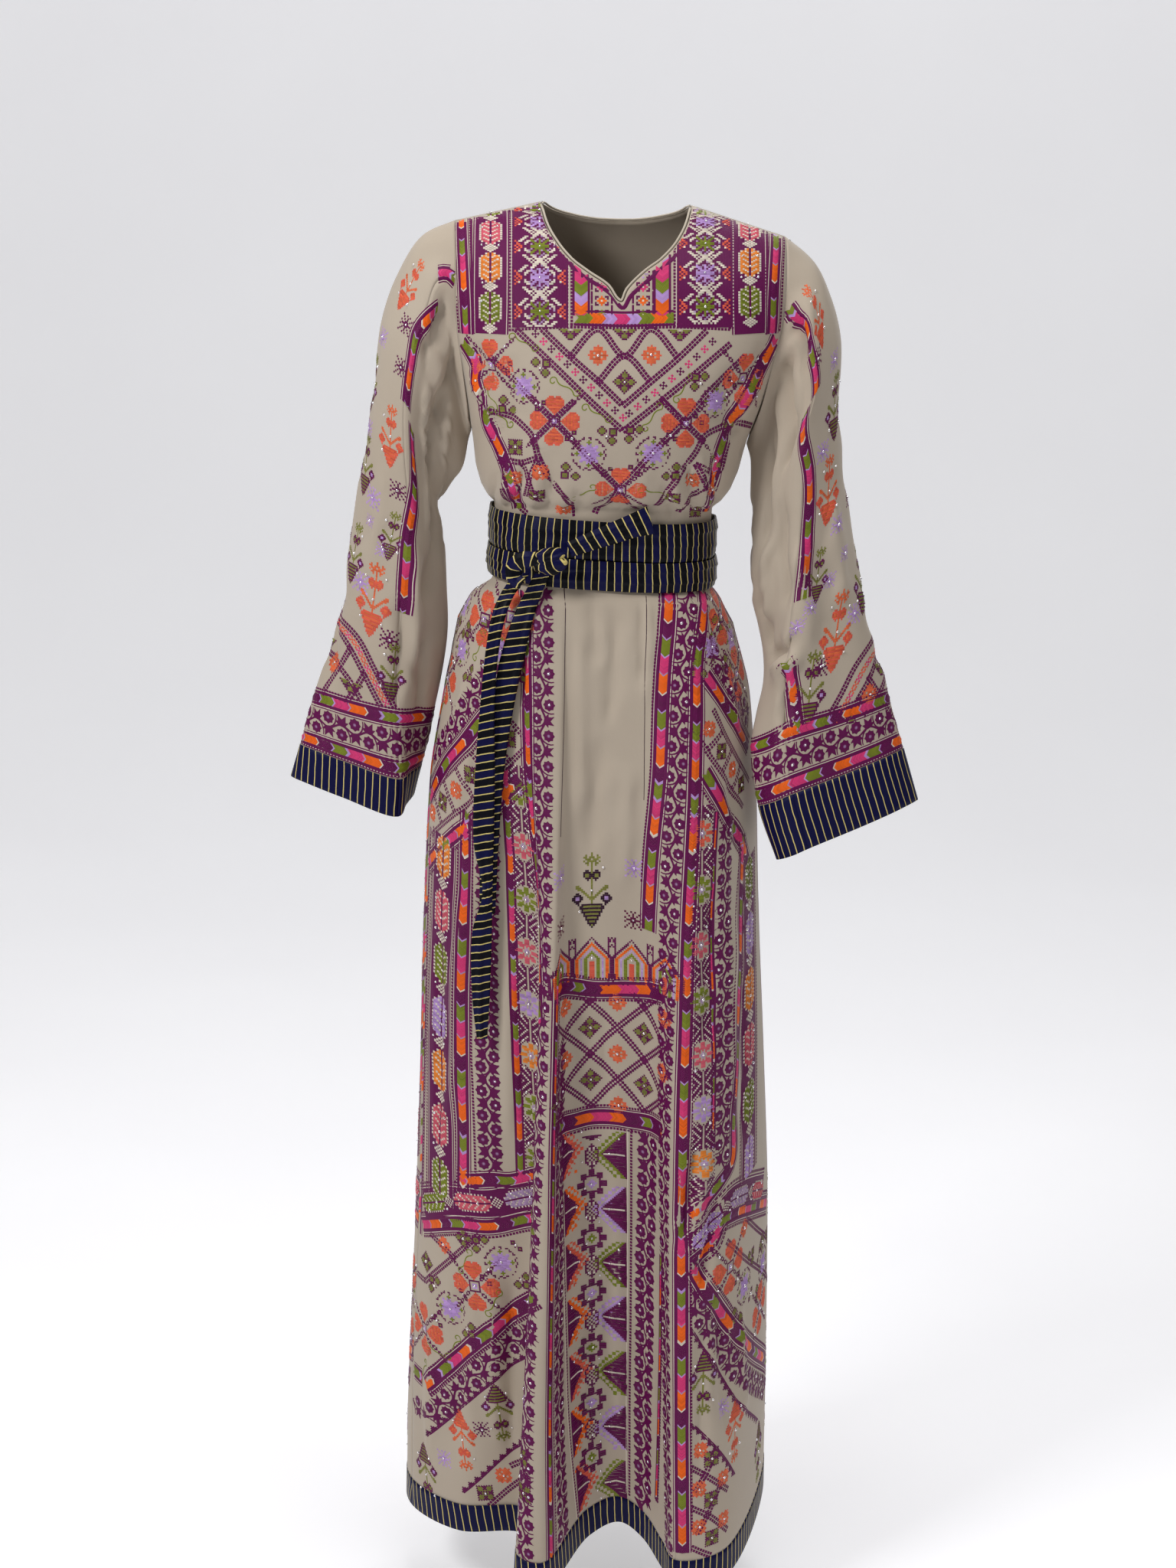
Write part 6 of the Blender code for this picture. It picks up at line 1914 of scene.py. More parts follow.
# ---- inner vines beside the zigzag panel
st = seen(skirt, ((848, 1482), (846, 1560), (843, 1640), (842, 1760), (841, 1880), (841, 1960)))
W.vine(st, 0.0, 0.0, st.length + 0.01, 0.0313, 0.0080, phase=0.008)
st = beside("crest_l", ((0.540, 0.0260), (0.640, 0.0290), (0.860, 0.0370), (1.095, 0.0430)), 1)
W.vine(st, 0.0, 0.0, st.length, 0.0318, 0.0078)
# a dark thread line just inside the left crest stands for the shadow at the fold's edge: painted shade
st = beside("crest_l", ((0.030, 0.0060), (0.150, 0.0050), (0.300, 0.0045)), 1)
W.line(st, 0.0, 0.0, st.length, 0.0010, CREASE_SHADE_THREAD)
st = beside("crest_l", ((0.440, 0.0075), (0.640, 0.0080), (0.860, 0.0110), (1.095, 0.0140)), 1)
multi(W, st, 0.0, st.length, 0.0028, 0.0, dots=1)

# ---- right panel: bands beside the crest
st = seen(skirt, ((873, 772), (869, 850), (862, 1000), (858, 1050), (853, 1100), (849, 1160), (847, 1215)))
multi(W, st, 0.0, st.length, 0.0046, 0.030)
W.dots(st, -0.0100, 0.0, st.length - 0.05)
st = seen(skirt, ((897, 772), (892, 870), (886.5, 960), (881.5, 1040), (876, 1150), (872.5, 1220), (870.5, 1300), (868, 1400),
                  (866.5, 1520), (868, 1640), (870, 1760), (871, 1900), (872, 2000)))
W.vine(st, 0.0, 0.0, st.length + 0.02, 0.0318, 0.0068)
st = seen(skirt, ((917, 772), (913, 850), (910, 940), (908, 1020), (905, 1100), (901, 1180), (898, 1260), (896, 1340), (893, 1440),
                  (891, 1560), (890, 1700), (890, 1850), (891, 2000)))
multi(W, st, 0.0, st.length + 0.025, 0.0042, 0.020)
st2 = Strip(np.array([p + (0.0105, 0) for p in st(np.zeros(14), np.linspace(st.length * 0.62, st.length, 14))]))
W.dots(st2, 0.0, 0.0, st2.length)
st = seen(skirt, ((863, 1640), (862, 1760), (860, 1860), (857, 1960)))
mini(W, st, 0.0, st.length, 0.0016)
W.dots(st, 0.0048, 0.0, st.length)
st = seen(skirt, ((917, 1052), (917, 1130), (916, 1200), (917, 1330), (918.5, 1400), (919, 1480), (921, 1570)))
rosettes(W, st, 0.0, st.length, 0.0140, "CGKGKLOG")
st = seen(skirt, ((936, 1060), (932, 1140), (931, 1300), (931, 1500)))
mini(W, st, 0.0, st.length, 0.0010, 0.02)
st = seen(skirt, ((949, 1068), (948, 1120), (946, 1240), (945, 1360), (945, 1480), (944, 1535)))
W.vine(st, 0.0, 0.0, st.length, 0.0318, 0.0070)
st = seen(skirt, ((966, 1090), (964, 1150), (961, 1300), (958, 1480)))
W.dots(st, -0.001, 0.0, st.length)
st = seen(skirt, ((970, 1090), (969, 1140), (965, 1300), (961, 1440), (957, 1515), (944, 1540), (926, 1562), (903, 1590)))
multi(W, st, 0.0, st.length, 0.0042, 0.01)
st = seen(skirt, ((978, 1120), (979, 1200), (980, 1340), (979, 1450), (978, 1535)))
leafband(W, st, 0.0, st.length, 0.0172, "GLOKGLK")
st = seen(skirt, ((996, 1552), (972, 1560), (952, 1572), (936, 1590), (920, 1612), (903, 1632)))
leafband(W, st, 0.0, st.length, 0.0115, "KSL")
st = seen(skirt, ((1001, 1570), (984, 1576), (962, 1584), (944, 1596), (930, 1622), (905, 1650)))
multi(W, st, 0.0, st.length, 0.0042, 0.02, dots=2)

# ---- right panel, top
st = seen(skirt, ((920, 1008), (938, 1038), (953, 1066), (966, 1094), (976, 1124)))
multi(W, st, 0.0, st.length, 0.0046, 0.0, dots=-1)
st = seen(skirt, ((926, 838), (944, 872), (960, 902), (977, 936)))
W.vine(st, 0.0, 0.0, st.length, 0.0318, 0.0066)
st = seen(skirt, ((922, 882), (941, 910), (957, 936), (974, 970)))
multi(W, st, 0.0, st.length + 0.01, 0.0044, 0.02, dots=1)
st = seen(skirt, ((920, 940), (938, 973), (955, 1002), (974, 1036)))
for x in (-0.0170, -0.0135, 0.0135, 0.0170):
    W.dots(st, x, 0.0, st.length, pitch=0.0036)
ladder(W, st, 0.012, 0.0315, 0.0118, (ORANGE, OLIVE, ORANGE, OLIVE, ORANGE), 0.0018)
for x, y in ((941, 805), (962, 880)):
    W.mid(spot(skirt, x, y, 0), HC, cell=0.00195)
for x, y in ((930, 845), (955, 835)):
    W.mid(spot(skirt, x, y, 0), WR2, cell=0.0018)

# ---- right panel, bottom
st = seen(skirt, ((904, 1655), (922, 1686), (940, 1713), (962, 1741), (984, 1764), (1000, 1778)))
multi(W, st, 0.0, st.length, 0.0046, 0.03, dots=2)
st = seen(skirt, ((904, 1694), (922, 1728), (942, 1762), (962, 1788), (984, 1806), (999, 1816)))
W.vine(st, 0.0, 0.0, st.length, 0.0318, 0.0070)
sawtooth(W, seen(skirt, ((904, 1736), (922, 1764), (942, 1797), (962, 1828), (990, 1854))), -1)
for x, y in ((992, 1707), (954, 1655)):
    W.mid(spot(skirt, x, y), HC, cell=0.00195)
for x, y in ((972, 1680), (996, 1650)):
    W.mid(spot(skirt, x, y), WR2, cell=0.0018)
W.mid(spot(skirt, 972, 1604), ORANGE, cell=0.0019)
W.mid(spot(skirt, 995, 1622), OLIVE, cell=0.0019)
for pts in (((950, 1622), (975, 1645), (1003, 1668)), ((975, 1592), (990, 1606), (1001, 1616))):
    st = seen(skirt, pts)
    for x in (-0.0019, 0.0019):
        W.dots(st, x, 0.0, st.length, pitch=0.0036, size=0.0030)
for x, y, key in ((918, 1806, None), (960, 1868, WARM), (990, 1895, None)):
    W.mid(spot(skirt, x, y), HANG, key=key, cell=0.0018)
W.mid(spot(skirt, 942, 1838), SNOW, key={"P": "L"})
sawtooth(W, seen(skirt, ((904, 1860), (918, 1872), (934, 1888), (948, 1905), (960, 1925))), -1)
for x, y, kind in ((914, 1894, ORANGE), (930, 1905, OLIVE), (913, 1945, ORANGE), (929, 1958, OLIVE), (913, 1995, ORANGE), (930, 2008, OLIVE),
                   (945, 1930, ORANGE), (945, 1984, ORANGE)):
    W.mid(spot(skirt, x, y, 45), kind, cell=0.0019)
for pts in (((904, 1918), (926, 1930), (950, 1945)), ((904, 1970), (926, 1980), (950, 1998)), ((936, 1890), (922, 1925), (906, 1950)),
            ((942, 1935), (926, 1975), (910, 2004)), ((904, 2022), (930, 2032))):
    st = seen(skirt, pts)
    for x in (-0.0019, 0.0019):
        W.dots(st, x, 0.0, st.length, pitch=0.0036, size=0.0030)

# ---- sides and back, like the panels that the photo shows
V_END = WAIST_Z - HEM_Z0 - HEM_BAND


def at_side(name, d0, d1, v0, v1):
    v = np.linspace(v0, v1, 24)
    f = (v - 0.05) / 1.05
    return Strip(np.stack((u_of(name, v) + d0 + (d1 - d0) * f, v), 1))


SIDE_R = "side_r"
V_GATHER = 0.14
k_end = COL_OF[-1]


def u_end(v):
    return np.interp(v, s_v, s_u[:, k_end])


def back_band(share0, share1, v0, v1):
    """A band down the back at shares of its width, from the right side seam."""
    v = np.linspace(v0, v1, 60)
    a, b = u_of(SIDE_R, v), u_end(v)
    f = (v - v0) / max(v1 - v0, 1e-6)
    s = share0 + (share1 - share0) * f
    u = a + (b - a) * s
    top = v < V_GATHER
    if top.any():                  # the gathers take up length: there a band keeps its share of the width seen from behind
        cols = np.arange(COL_OF[COL[SIDE_R]], COL_OF[-1] + 1)

        def row(d):
            i = int(round(float(np.interp(d, s_v, np.arange(len(s_v))))))
            x = ring_rows[i, cols, 0]
            return s_u[i, cols], np.maximum.accumulate((x - x[0]) / (x[-1] - x[0]))
        k = int(np.argmax(~top))
        uu, xx = row(v[k])
        share = np.interp(u[k], uu, xx)
        for i in np.flatnonzero(top):
            uu, xx = row(v[i])
            u[i] = np.interp(share, xx, uu)
    st = Strip(np.stack((u, v), 1))
    st.q[st.p[:, 1] < V_GATHER] = (1.0, 0.0)
    return st


for mirror_ in (False, True):
    def bb(s0, s1, v0, v1):
        return back_band(1 - s0, 1 - s1, v0, v1) if mirror_ else back_band(s0, s1, v0, v1)
    multi(W, bb(0.016, 0.012, 0.05, 0.76), 0.0, 0.71, 0.0042, 0.03)
    leafband(W, bb(0.058, 0.048, 0.30, 0.74), 0.0, 0.44, 0.0118, "GKLOK")
    st = bb(0.105, 0.085, 0.29, 0.725)
    multi(W, st, 0.0, st.length, 0.0044, 0.0, dots=2)
    st = bb(0.165, 0.140, 0.05, 0.70)
    W.vine(st, 0.0, 0.0, st.length, 0.0318, 0.0070)
    st = bb(0.235, 0.205, 0.05, 1.09)
    rosettes(W, st, 0.0, st.length, 0.0150, "KGKGLO")
    st = bb(0.295, 0.255, 0.05, 1.09)
    multi(W, st, 0.0, st.length, 0.0044, 0.02)
    st = bb(0.350, 0.300, 0.05, 1.09)
    W.vine(st, 0.0, 0.0, st.length, 0.0318, 0.0070)
    st = bb(0.395, 0.340, 0.05, 1.09)
    multi(W, st, 0.0, st.length, 0.0040, 0.05, dots=2)


def row_across(v, s0, s1):
    s = np.linspace(s0, s1, 30)
    a, b = u_of(SIDE_R, v), u_end(v)
    return Strip(np.stack((a + (b - a) * s, np.full(30, v)), 1))


for s0, s1 in ((0.0, 0.180), (0.820, 1.0)):
    st = row_across(0.712, s0 + (0.10 if s0 == 0 else 0), s1 - (0.10 if s1 == 1 else 0))
    multi(W, st, 0.0, st.length, 0.0046, 0.03)
    st = row_across(0.743, s0, s1)
    leafband(W, st, 0.0, st.length, 0.0125, "GKSG")
    st = row_across(0.775, s0, s1)
    multi(W, st, 0.0, st.length, 0.0044, 0.02, dots=2)
    a, b = u_of(SIDE_R, 0.93), u_end(0.93)
    for vv, n in ((0.84, 3), (0.90, 3)):
        for k in range(n):
            s = s0 + (k + 0.6) / n * (s1 - s0)
            W.mid(patch(a + (b - a) * s, vv + 0.012 * k), HC if (k + (vv > 0.87)) % 2 else WR, cell=0.0019)
    st = Strip(np.array(((a + (b - a) * s0, 0.955), (a + (b - a) * s1, 0.935))))
    multi(W, st, 0.0, st.length, 0.0046, 0.02, dots=2)
    st = Strip(np.array(((a + (b - a) * s0, 0.990), (a + (b - a) * s1, 0.970))))
    W.vine(st, 0.0, 0.0, st.length, 0.0318, 0.0070)
    for k in range(3):
        s = s0 + (k + 0.5) / 3 * (s1 - s0)
        W.mid(patch(a + (b - a) * s, 1.048), HANG, key=WARM if k == 1 else None, cell=0.0018)
# centre of the back: plain at the top, two flower pots, a satin band between dotted rows, and olive and orange flowers
# in staggered rows below
bc = 0.5
for k in range(9):
    for i, s in enumerate((0.425, 0.475, 0.525, 0.575)):
        v = 0.62 + 0.058 * k
        a, b = u_of(SIDE_R, v), u_end(v)
        if v < V_END - 0.02:
            W.mid(patch(a + (b - a) * s, v + (0.029 if i % 2 else 0)), (OLIVE, ORANGE)[(i + k) % 2], cell=0.0020)
for v in (0.575, 0.590):
    W.dots(row_across(v, 0.405, 0.595), 0.0, 0.0, 0.20)
st = row_across(0.5825, 0.405, 0.595)
multi(W, st, 0.0, st.length, 0.0048, 0.0)
for s in (0.45, 0.55):
    a, b = u_of(SIDE_R, 0.50), u_end(0.50)
    W.mid(patch(a + (b - a) * s, 0.50), POT, cell=0.0020)


def on_skirt(p, uvh):
    return uvh[:, 1] < V_END - 0.0008


CUTS = [("stitches_skirt_front_left", lambda v: u_of("side_l", v) - 1e-6, lambda v: u_of("fold_l", v)),
        ("stitches_skirt_front_centre", lambda v: u_of("fold_l", v), lambda v: u_of("crest_r", v)),
        ("stitches_skirt_front_right", lambda v: u_of("crest_r", v), lambda v: u_of("side_r", v)),
        ("stitches_skirt_back", lambda v: u_of("side_r", v), u_end)]
STITCHED = W.build("stitches_skirt", CUTS, on_skirt)

# ------------------------------------------------------------------ embroidery of the bodice
B = Work(bod_f)


def b_band(x0, x1, y0, y1):
    """A vertical band of the yoke from the shoulder down."""
    return seen(bod_f, [(x0 + (x1 - x0) * t, y0 + (y1 - y0) * t) for t in np.linspace(0, 1, 5)])


def crosses(w, cloth, pts, gap=0.0038):
    """A double dotted line through places of the photo's frame."""
    st = seen(cloth, pts)
    for x in (-gap / 2, gap / 2):
        w.dots(st, x, 0.0, st.length, pitch=0.0036, size=0.0031)
    return st


CHEVRON_CODES = "KGLOKGLOLK"
STARS = [[r.replace("P", ".") for r in star_cells(c)] for c in "GLGLG"]
for sgn, xs in ((1, dict(dots=593.5, multi=604.5, line=615, leaf=640, dash=668, star=705, dash2=744, chev=759, fill=786)),
                (-1, dict(dots=1025, multi=1012.5, line=1003, leaf=980, dash=955.5, star=921, dash2=884, chev=865, fill=840))):
    st = b_band(xs["multi"] - sgn * 3, xs["multi"] + sgn * 4, 276, 436)
    multi(B, st, 0.0, st.length, 0.0038, 0.02, dots=2)
    st = b_band(xs["line"], xs["line"] + sgn * 2, 272, 437)
    B.line(st, 0.0, 0.0, st.length, 0.0030, P_)
    st = b_band(xs["leaf"] + sgn * 1, xs["leaf"], 268, 436)
    leafband(B, st, 0.0, st.length, 0.0160, "GMOGM", False, 0.00142)
    for s in (-1, 1):
        B.line(st, s * 0.0172, 0.0, st.length, 0.0032, P_)
        B.line(st, s * 0.0190, 0.0, st.length, 0.0009, WH, 0.0003)
        B.line(st, s * 0.0204, 0.0, st.length, 0.0018, P_)
    for dx in (-2, 2):
        st = b_band(xs["dash"] + dx, xs["dash"] + dx, 264, 432)
        B.dots(st, 0.0, 0.0, st.length)
    st = b_band(xs["star"], xs["star"], 262, 428)
    ground(B, st, 0.0, st.length, 0.0276, 18)
    tiles(B, st, STARS, 0.0, st.length, 0.0022, 25, 0.0020, 18, 0.00095)
    for s in (-1, 1):
        B.line(st, s * 0.0288, 0.0, st.length, 0.0022, P_)
        B.line(st, s * 0.0306, 0.0, st.length, 0.0010, WH, 0.0003)
    st = b_band(xs["dash2"], xs["dash2"], 262, 428)
    B.dots(st, -0.0022, 0.0, st.length)
    B.dots(st, 0.0022, 0.0, st.length)
    st = b_band(xs["chev"], xs["chev"], 264, 412)
    B.satin(st, -0.0068, 0.0068, 0.0, st.length, 0.0, tuple((c, 0.0112) for c in CHEVRON_CODES))
    for s in (-1, 1):
        B.line(st, s * 0.0080, 0.0, st.length, 0.0026, P_)
    st = b_band(xs["fill"], xs["fill"], 330, 404)
    for k in range(5):
        B.mid(lambda x, y, s=st, k=k: s(x, y + 0.010 + 0.0145 * k), ("PP.G.PP", "P.GGG.P", ".GGOGG.", "P.GGG.P", "PP.G.PP"),
              cell=0.0021, key={"G": "GLKOG"[k], "O": "W"})
        for s in (-1, 1):
            B.line(st, s * 0.0105, 0.0145 * k, 0.0145 * k + 0.0130, 0.0022, P_)
st = seen(bod_f, ((750, 415), (785, 416), (816, 417), (847, 416), (880, 415)))
B.satin(st, -0.0055, 0.0055, 0.0, st.length, 0.0, (("G", 0.014), ("O", 0.014), ("L", 0.012), ("K", 0.014), ("L", 0.012), ("G", 0.013), ("O", 0.013)))
for s in (-1, 1):
    B.line(st, s * 0.0070, 0.0, st.length, 0.0026, P_)
for dy in (423.5, 427.5):
    st = seen(bod_f, ((674, dy + 3), (745, dy), (816, dy + 1), (885, dy), (953, dy + 3)))
    B.dots(st, 0.0, 0.0, st.length)
# a purple edge along the neckline
cols = np.arange(18, sewn_f.u.shape[1] - 18, 6)
st = Strip(np.stack((sewn_f.u[2, cols], sewn_f.vv[2, cols]), 1))
B.line(st, 0.0, 0.0, st.length, 0.0044, P_, 0.0006, step=0.002)

# lower yoke: slanted double dotted lines with flowers
crosses(B, bod_f, ((675, 431), (722, 476), (768, 521), (814, 563)))
crosses(B, bod_f, ((953, 450), (908, 488), (861, 526), (814, 563)))
crosses(B, bod_f, ((709, 431), (745, 466), (781, 498), (814, 530)))
crosses(B, bod_f, ((922, 433), (886, 468), (850, 499), (814, 530)))
crosses(B, bod_f, ((781, 499), (816, 465), (850, 499)))
crosses(B, bod_f, ((745, 466), (781, 430), (816, 465), (850, 430), (886, 468)))
for pts in (((694, 431), (736, 471), (776, 510), (814, 546)), ((936, 441), (897, 478), (855, 513), (814, 546))):
    st = seen(bod_f, pts)
    for k, y in enumerate(np.arange(0.006, st.length, 0.0115)):
        for a, b in ((0, 0), (-1, -1), (1, -1), (-1, 1), (1, 1)):
            B.studs(st, a * 0.0021, y + b * 0.0021, 0.0024, RGB["K" if k % 2 else "P"])
for x, y, kind in ((781, 464, ORANGE), (851, 464, ORANGE), (816, 499, OLIVE), (745, 437, HALF_OLIVE), (816, 437, HALF_OLIVE), (888, 438, HALF_OLIVE)):
    B.mid(spot(bod_f, x, y), kind, cell=0.00195)
for x, y in ((724, 550), (896, 553), (810, 640), (641, 477), (969, 494)):
    B.mid(spot(bod_f, x, y), HC, cell=0.00185)
for x, y, wy in ((684, 505, WR2), (769, 593, WR2), (853, 592, WR), (936, 524, WR)):
    B.mid(spot(bod_f, x, y), wy, cell=0.00178)
for x, y, turn in ((684, 447, 40), (738, 505, 42), (780, 540, 42), (643, 522, 60), (893, 507, -42), (852, 545, -42), (762, 645, -30), (855, 643, 30), (655, 545, 50)):
    scroll(B, bod_f, x, y, turn)
for x, y, kind in ((673, 584, OLIVE), (700, 648, OLIVE), (934, 602, OLIVE), (876, 650, OLIVE), (908, 664, OLIVE),
                   (670, 624, ORANGE), (705, 617, ORANGE), (736, 664, ORANGE), (903, 627, ORANGE), (930, 640, ORANGE)):
    B.mid(spot(bod_f, x, y, 45), kind, cell=0.0019)
for pts in (((640, 466), (682, 507), (723, 549), (764, 592), (808, 638)), ((972, 466), (931, 507), (893, 551), (850, 594), (808, 638)),
            ((723, 549), (752, 522)), ((893, 551), (864, 522)), ((723, 549), (694, 578)), ((893, 551), (920, 578)), ((808, 638), (776, 672)), ((808, 638), (840, 672)),
            ((627, 532), (669, 544), (695, 570), (703, 598), (721, 626), (742, 654), (752, 676)), ((641, 574), (660, 598), (681, 604), (703, 598)),
            ((703, 598), (693, 621), (686, 649)), ((681, 604), (690, 626), (706, 655)), ((652, 600), (664, 622), (676, 650)), ((655, 640), (672, 655), (690, 672)),
            ((989, 551), (956, 556), (922, 568), (909, 590), (885, 626), (857, 660)), ((951, 579), (937, 617), (909, 607)),
            ((937, 617), (904, 645), (885, 668)), ((909, 607), (922, 630), (932, 655))):
    crosses(B, bod_f, pts)
# many-coloured bands that follow the armhole and the front's side
st = seen(bod_f, ((604, 446), (616, 462), (622, 478), (620, 495), (626, 522), (636, 554), (651, 583), (664, 618), (678, 664)))
multi(B, st, 0.0, st.length, 0.0042, 0.0, dots=0)
st = seen(bod_f, ((1014, 440), (1000, 470), (985, 500), (965, 535), (950, 562), (936, 604), (922, 668)))
multi(B, st, 0.0, st.length, 0.0042, 0.03, dots=0)


def on_bodice(p, uvh):
    return in_rim(bod_f.rim, p[:, 0], p[:, 2])


STITCHED += B.build("stitches_bodice_front", None, on_bodice)
STONES = W.set_stones("stones_skirt", on_skirt) + B.set_stones("stones_bodice_front", on_bodice)

# ---- the back of the bodice: the same bands, with a plain centre
BB = Work(bod_b)


def back_col(x, v0, v1):
    return Strip(np.array([(x, v0 + (v1 - v0) * t) for t in np.linspace(0, 1, 5)]))


for sgn in (-1, 1):
    st = back_col(sgn * 0.166, 0.02, 0.30)
    multi(BB, st, 0.0, st.length, 0.0038, 0.02, dots=2)
    st = back_col(sgn * 0.140, 0.015, 0.17)
    leafband(BB, st, 0.0, st.length, 0.0150, "GMOGM", True, 0.00142)
    st = back_col(sgn * 0.092, 0.012, 0.165)
    ground(BB, st, 0.0, st.length, 0.0276, 18)
    tiles(BB, st, STARS, 0.0, st.length, 0.0022, 25, 0.0020, 18, 0.00095)
    for s in (-1, 1):
        BB.line(st, s * 0.0288, 0.0, st.length, 0.0022, P_)
    st = back_col(sgn * 0.050, 0.020, 0.160)
    BB.satin(st, -0.0068, 0.0068, 0.0, st.length, 0.0, tuple((c, 0.0112) for c in CHEVRON_CODES))
    for x, v, c in ((0.075, 0.235, HC), (0.130, 0.215, WR), (0.075, 0.330, WR2), (0.125, 0.300, HC)):
        BB.mid(patch(sgn * x, v), c, cell=0.0020)
    for x, v, c in ((0.045, 0.375, OLIVE), (0.075, 0.395, ORANGE), (0.105, 0.380, OLIVE), (0.020, 0.300, ORANGE), (0.025, 0.235, OLIVE)):
        BB.mid(patch(sgn * x, v, 45), c, cell=0.0020)
for v in (0.175, 0.180):
    BB.dots(Strip(np.array(((-0.16, v), (0.16, v)))), 0.0, 0.0, 0.32)
st = Strip(np.array(((-0.160, 0.188), (0.0, 0.190), (0.160, 0.188))))
multi(BB, st, 0.0, st.length, 0.0046, 0.0)


def on_bodice_back(p, uvh):
    return in_rim(bod_b.rim, p[:, 0], p[:, 2])


STITCHED += BB.build("stitches_bodice_back", None, on_bodice_back)
STONES += BB.set_stones("stones_bodice_back", on_bodice_back)

# ------------------------------------------------------------------ sleeves
SLEEVE_SPOTS = {
    "left": ((488, 783, "pot", 0.0021, WARM), (508, 836, "snow", 0.0024, None), (514, 878, "pot", 0.0017, None), (471, 760, "snow", 0.0024, {"P": "L"}),
             (463, 722, "pot", 0.0017, None), (500, 718, "snow", 0.0016, {"P": "L"}), (512, 700, "pot", 0.0014, None), (536, 372, "pot", 0.0015, WARM),
             (530, 424, "snow", 0.0022, None), (500, 440, "snow", 0.0020, {"P": "L"}), (490, 500, "pot", 0.0016, None), (524, 480, "snow", 0.0022, None),
             (482, 560, "snow", 0.0020, {"P": "L"}), (478, 606, "pot", 0.0017, None), (510, 570, "pot", 0.0017, WARM), (487, 650, "snow", 0.0024, {"P": "L"}),
             (520, 641, "snow", 0.0022, None), (438, 865, "orange", 0.0023, None), (458, 898, "half", 0.0022, None), (426, 828, "half", 0.0020, None),
             (483, 680, "snow", 0.0014, {"P": "L"}), (448, 690, "snow", 0.0020, None)),
    "right": ((1093, 825, "pot", 0.0021, WARM), (1072, 871, "snow", 0.0022, None), (1058, 900, "pot", 0.0020, None), (1060, 793, "snow", 0.0018, {"P": "L"}),
              (1040, 819, "snow", 0.0018, {"P": "L"}), (1116, 801, "snow", 0.0022, {"P": "L"}), (1083, 758, "snow", 0.0017, {"P": "L"}),
              (1068, 752, "pot", 0.0015, None), (1124, 756, "pot", 0.0018, None), (1104, 722, "snow", 0.0016, {"P": "L"}), (1068, 412, "pot", 0.0017, WARM),
              (1068, 468, "snow", 0.0021, None), (1090, 470, "snow", 0.0020, {"P": "L"}), (1090, 530, "pot", 0.0018, None), (1075, 590, "snow", 0.0022, {"P": "L"}),
              (1082, 640, "pot", 0.0018, WARM), (1108, 645, "snow", 0.0021, None), (1096, 684, "snow", 0.0020, {"P": "L"}), (1136, 907, "orange", 0.0023, None),
              (1150, 874, "half", 0.0022, None), (1112, 937, "half", 0.0022, None)),
}
SLEEVE_LINES = {
    "left": (((598, 362), (586, 357), (572, 357)), ((572, 405), (556, 420), (545, 436), (538, 470), (531, 530)), ((538, 560), (541, 620), (537, 680), (530, 740), (525, 800))),
    "right": (((1030, 402), (1044, 418), (1056, 442), (1064, 480), (1066, 512)), ((1052, 540), (1057, 620), (1055, 700), (1051, 782)), ((1026, 862), (1036, 905), (1043, 955))),
}
SLEEVE_DASH = {
    "left": (((443, 788), (465, 830), (488, 872), (516, 924)), ((431, 799), (452, 838), (474, 878), (497, 922)), ((424, 838), (440, 862), (456, 888), (470, 912)),
             ((458, 846), (446, 866), (432, 888), (420, 908)), ((476, 880), (464, 900), (452, 918))),
    "right": (((1139, 828), (1120, 866), (1098, 908), (1075, 949)), ((1156, 845), (1138, 880), (1118, 918), (1104, 944)), ((1170, 866), (1152, 898), (1136, 932)),
              ((1134, 884), (1148, 906), (1162, 930)), ((1152, 850), (1164, 870), (1172, 890)), ((1120, 914), (1132, 934))),
}
SLEEVE_PINK = {"left": ((438, 796), (459, 834), (481, 875), (505, 920)), "right": ((1147, 838), (1129, 873), (1108, 913), (1090, 945))}
KINDS = {"pot": POT, "snow": SNOW, "orange": ORANGE, "half": HALF_OLIVE}
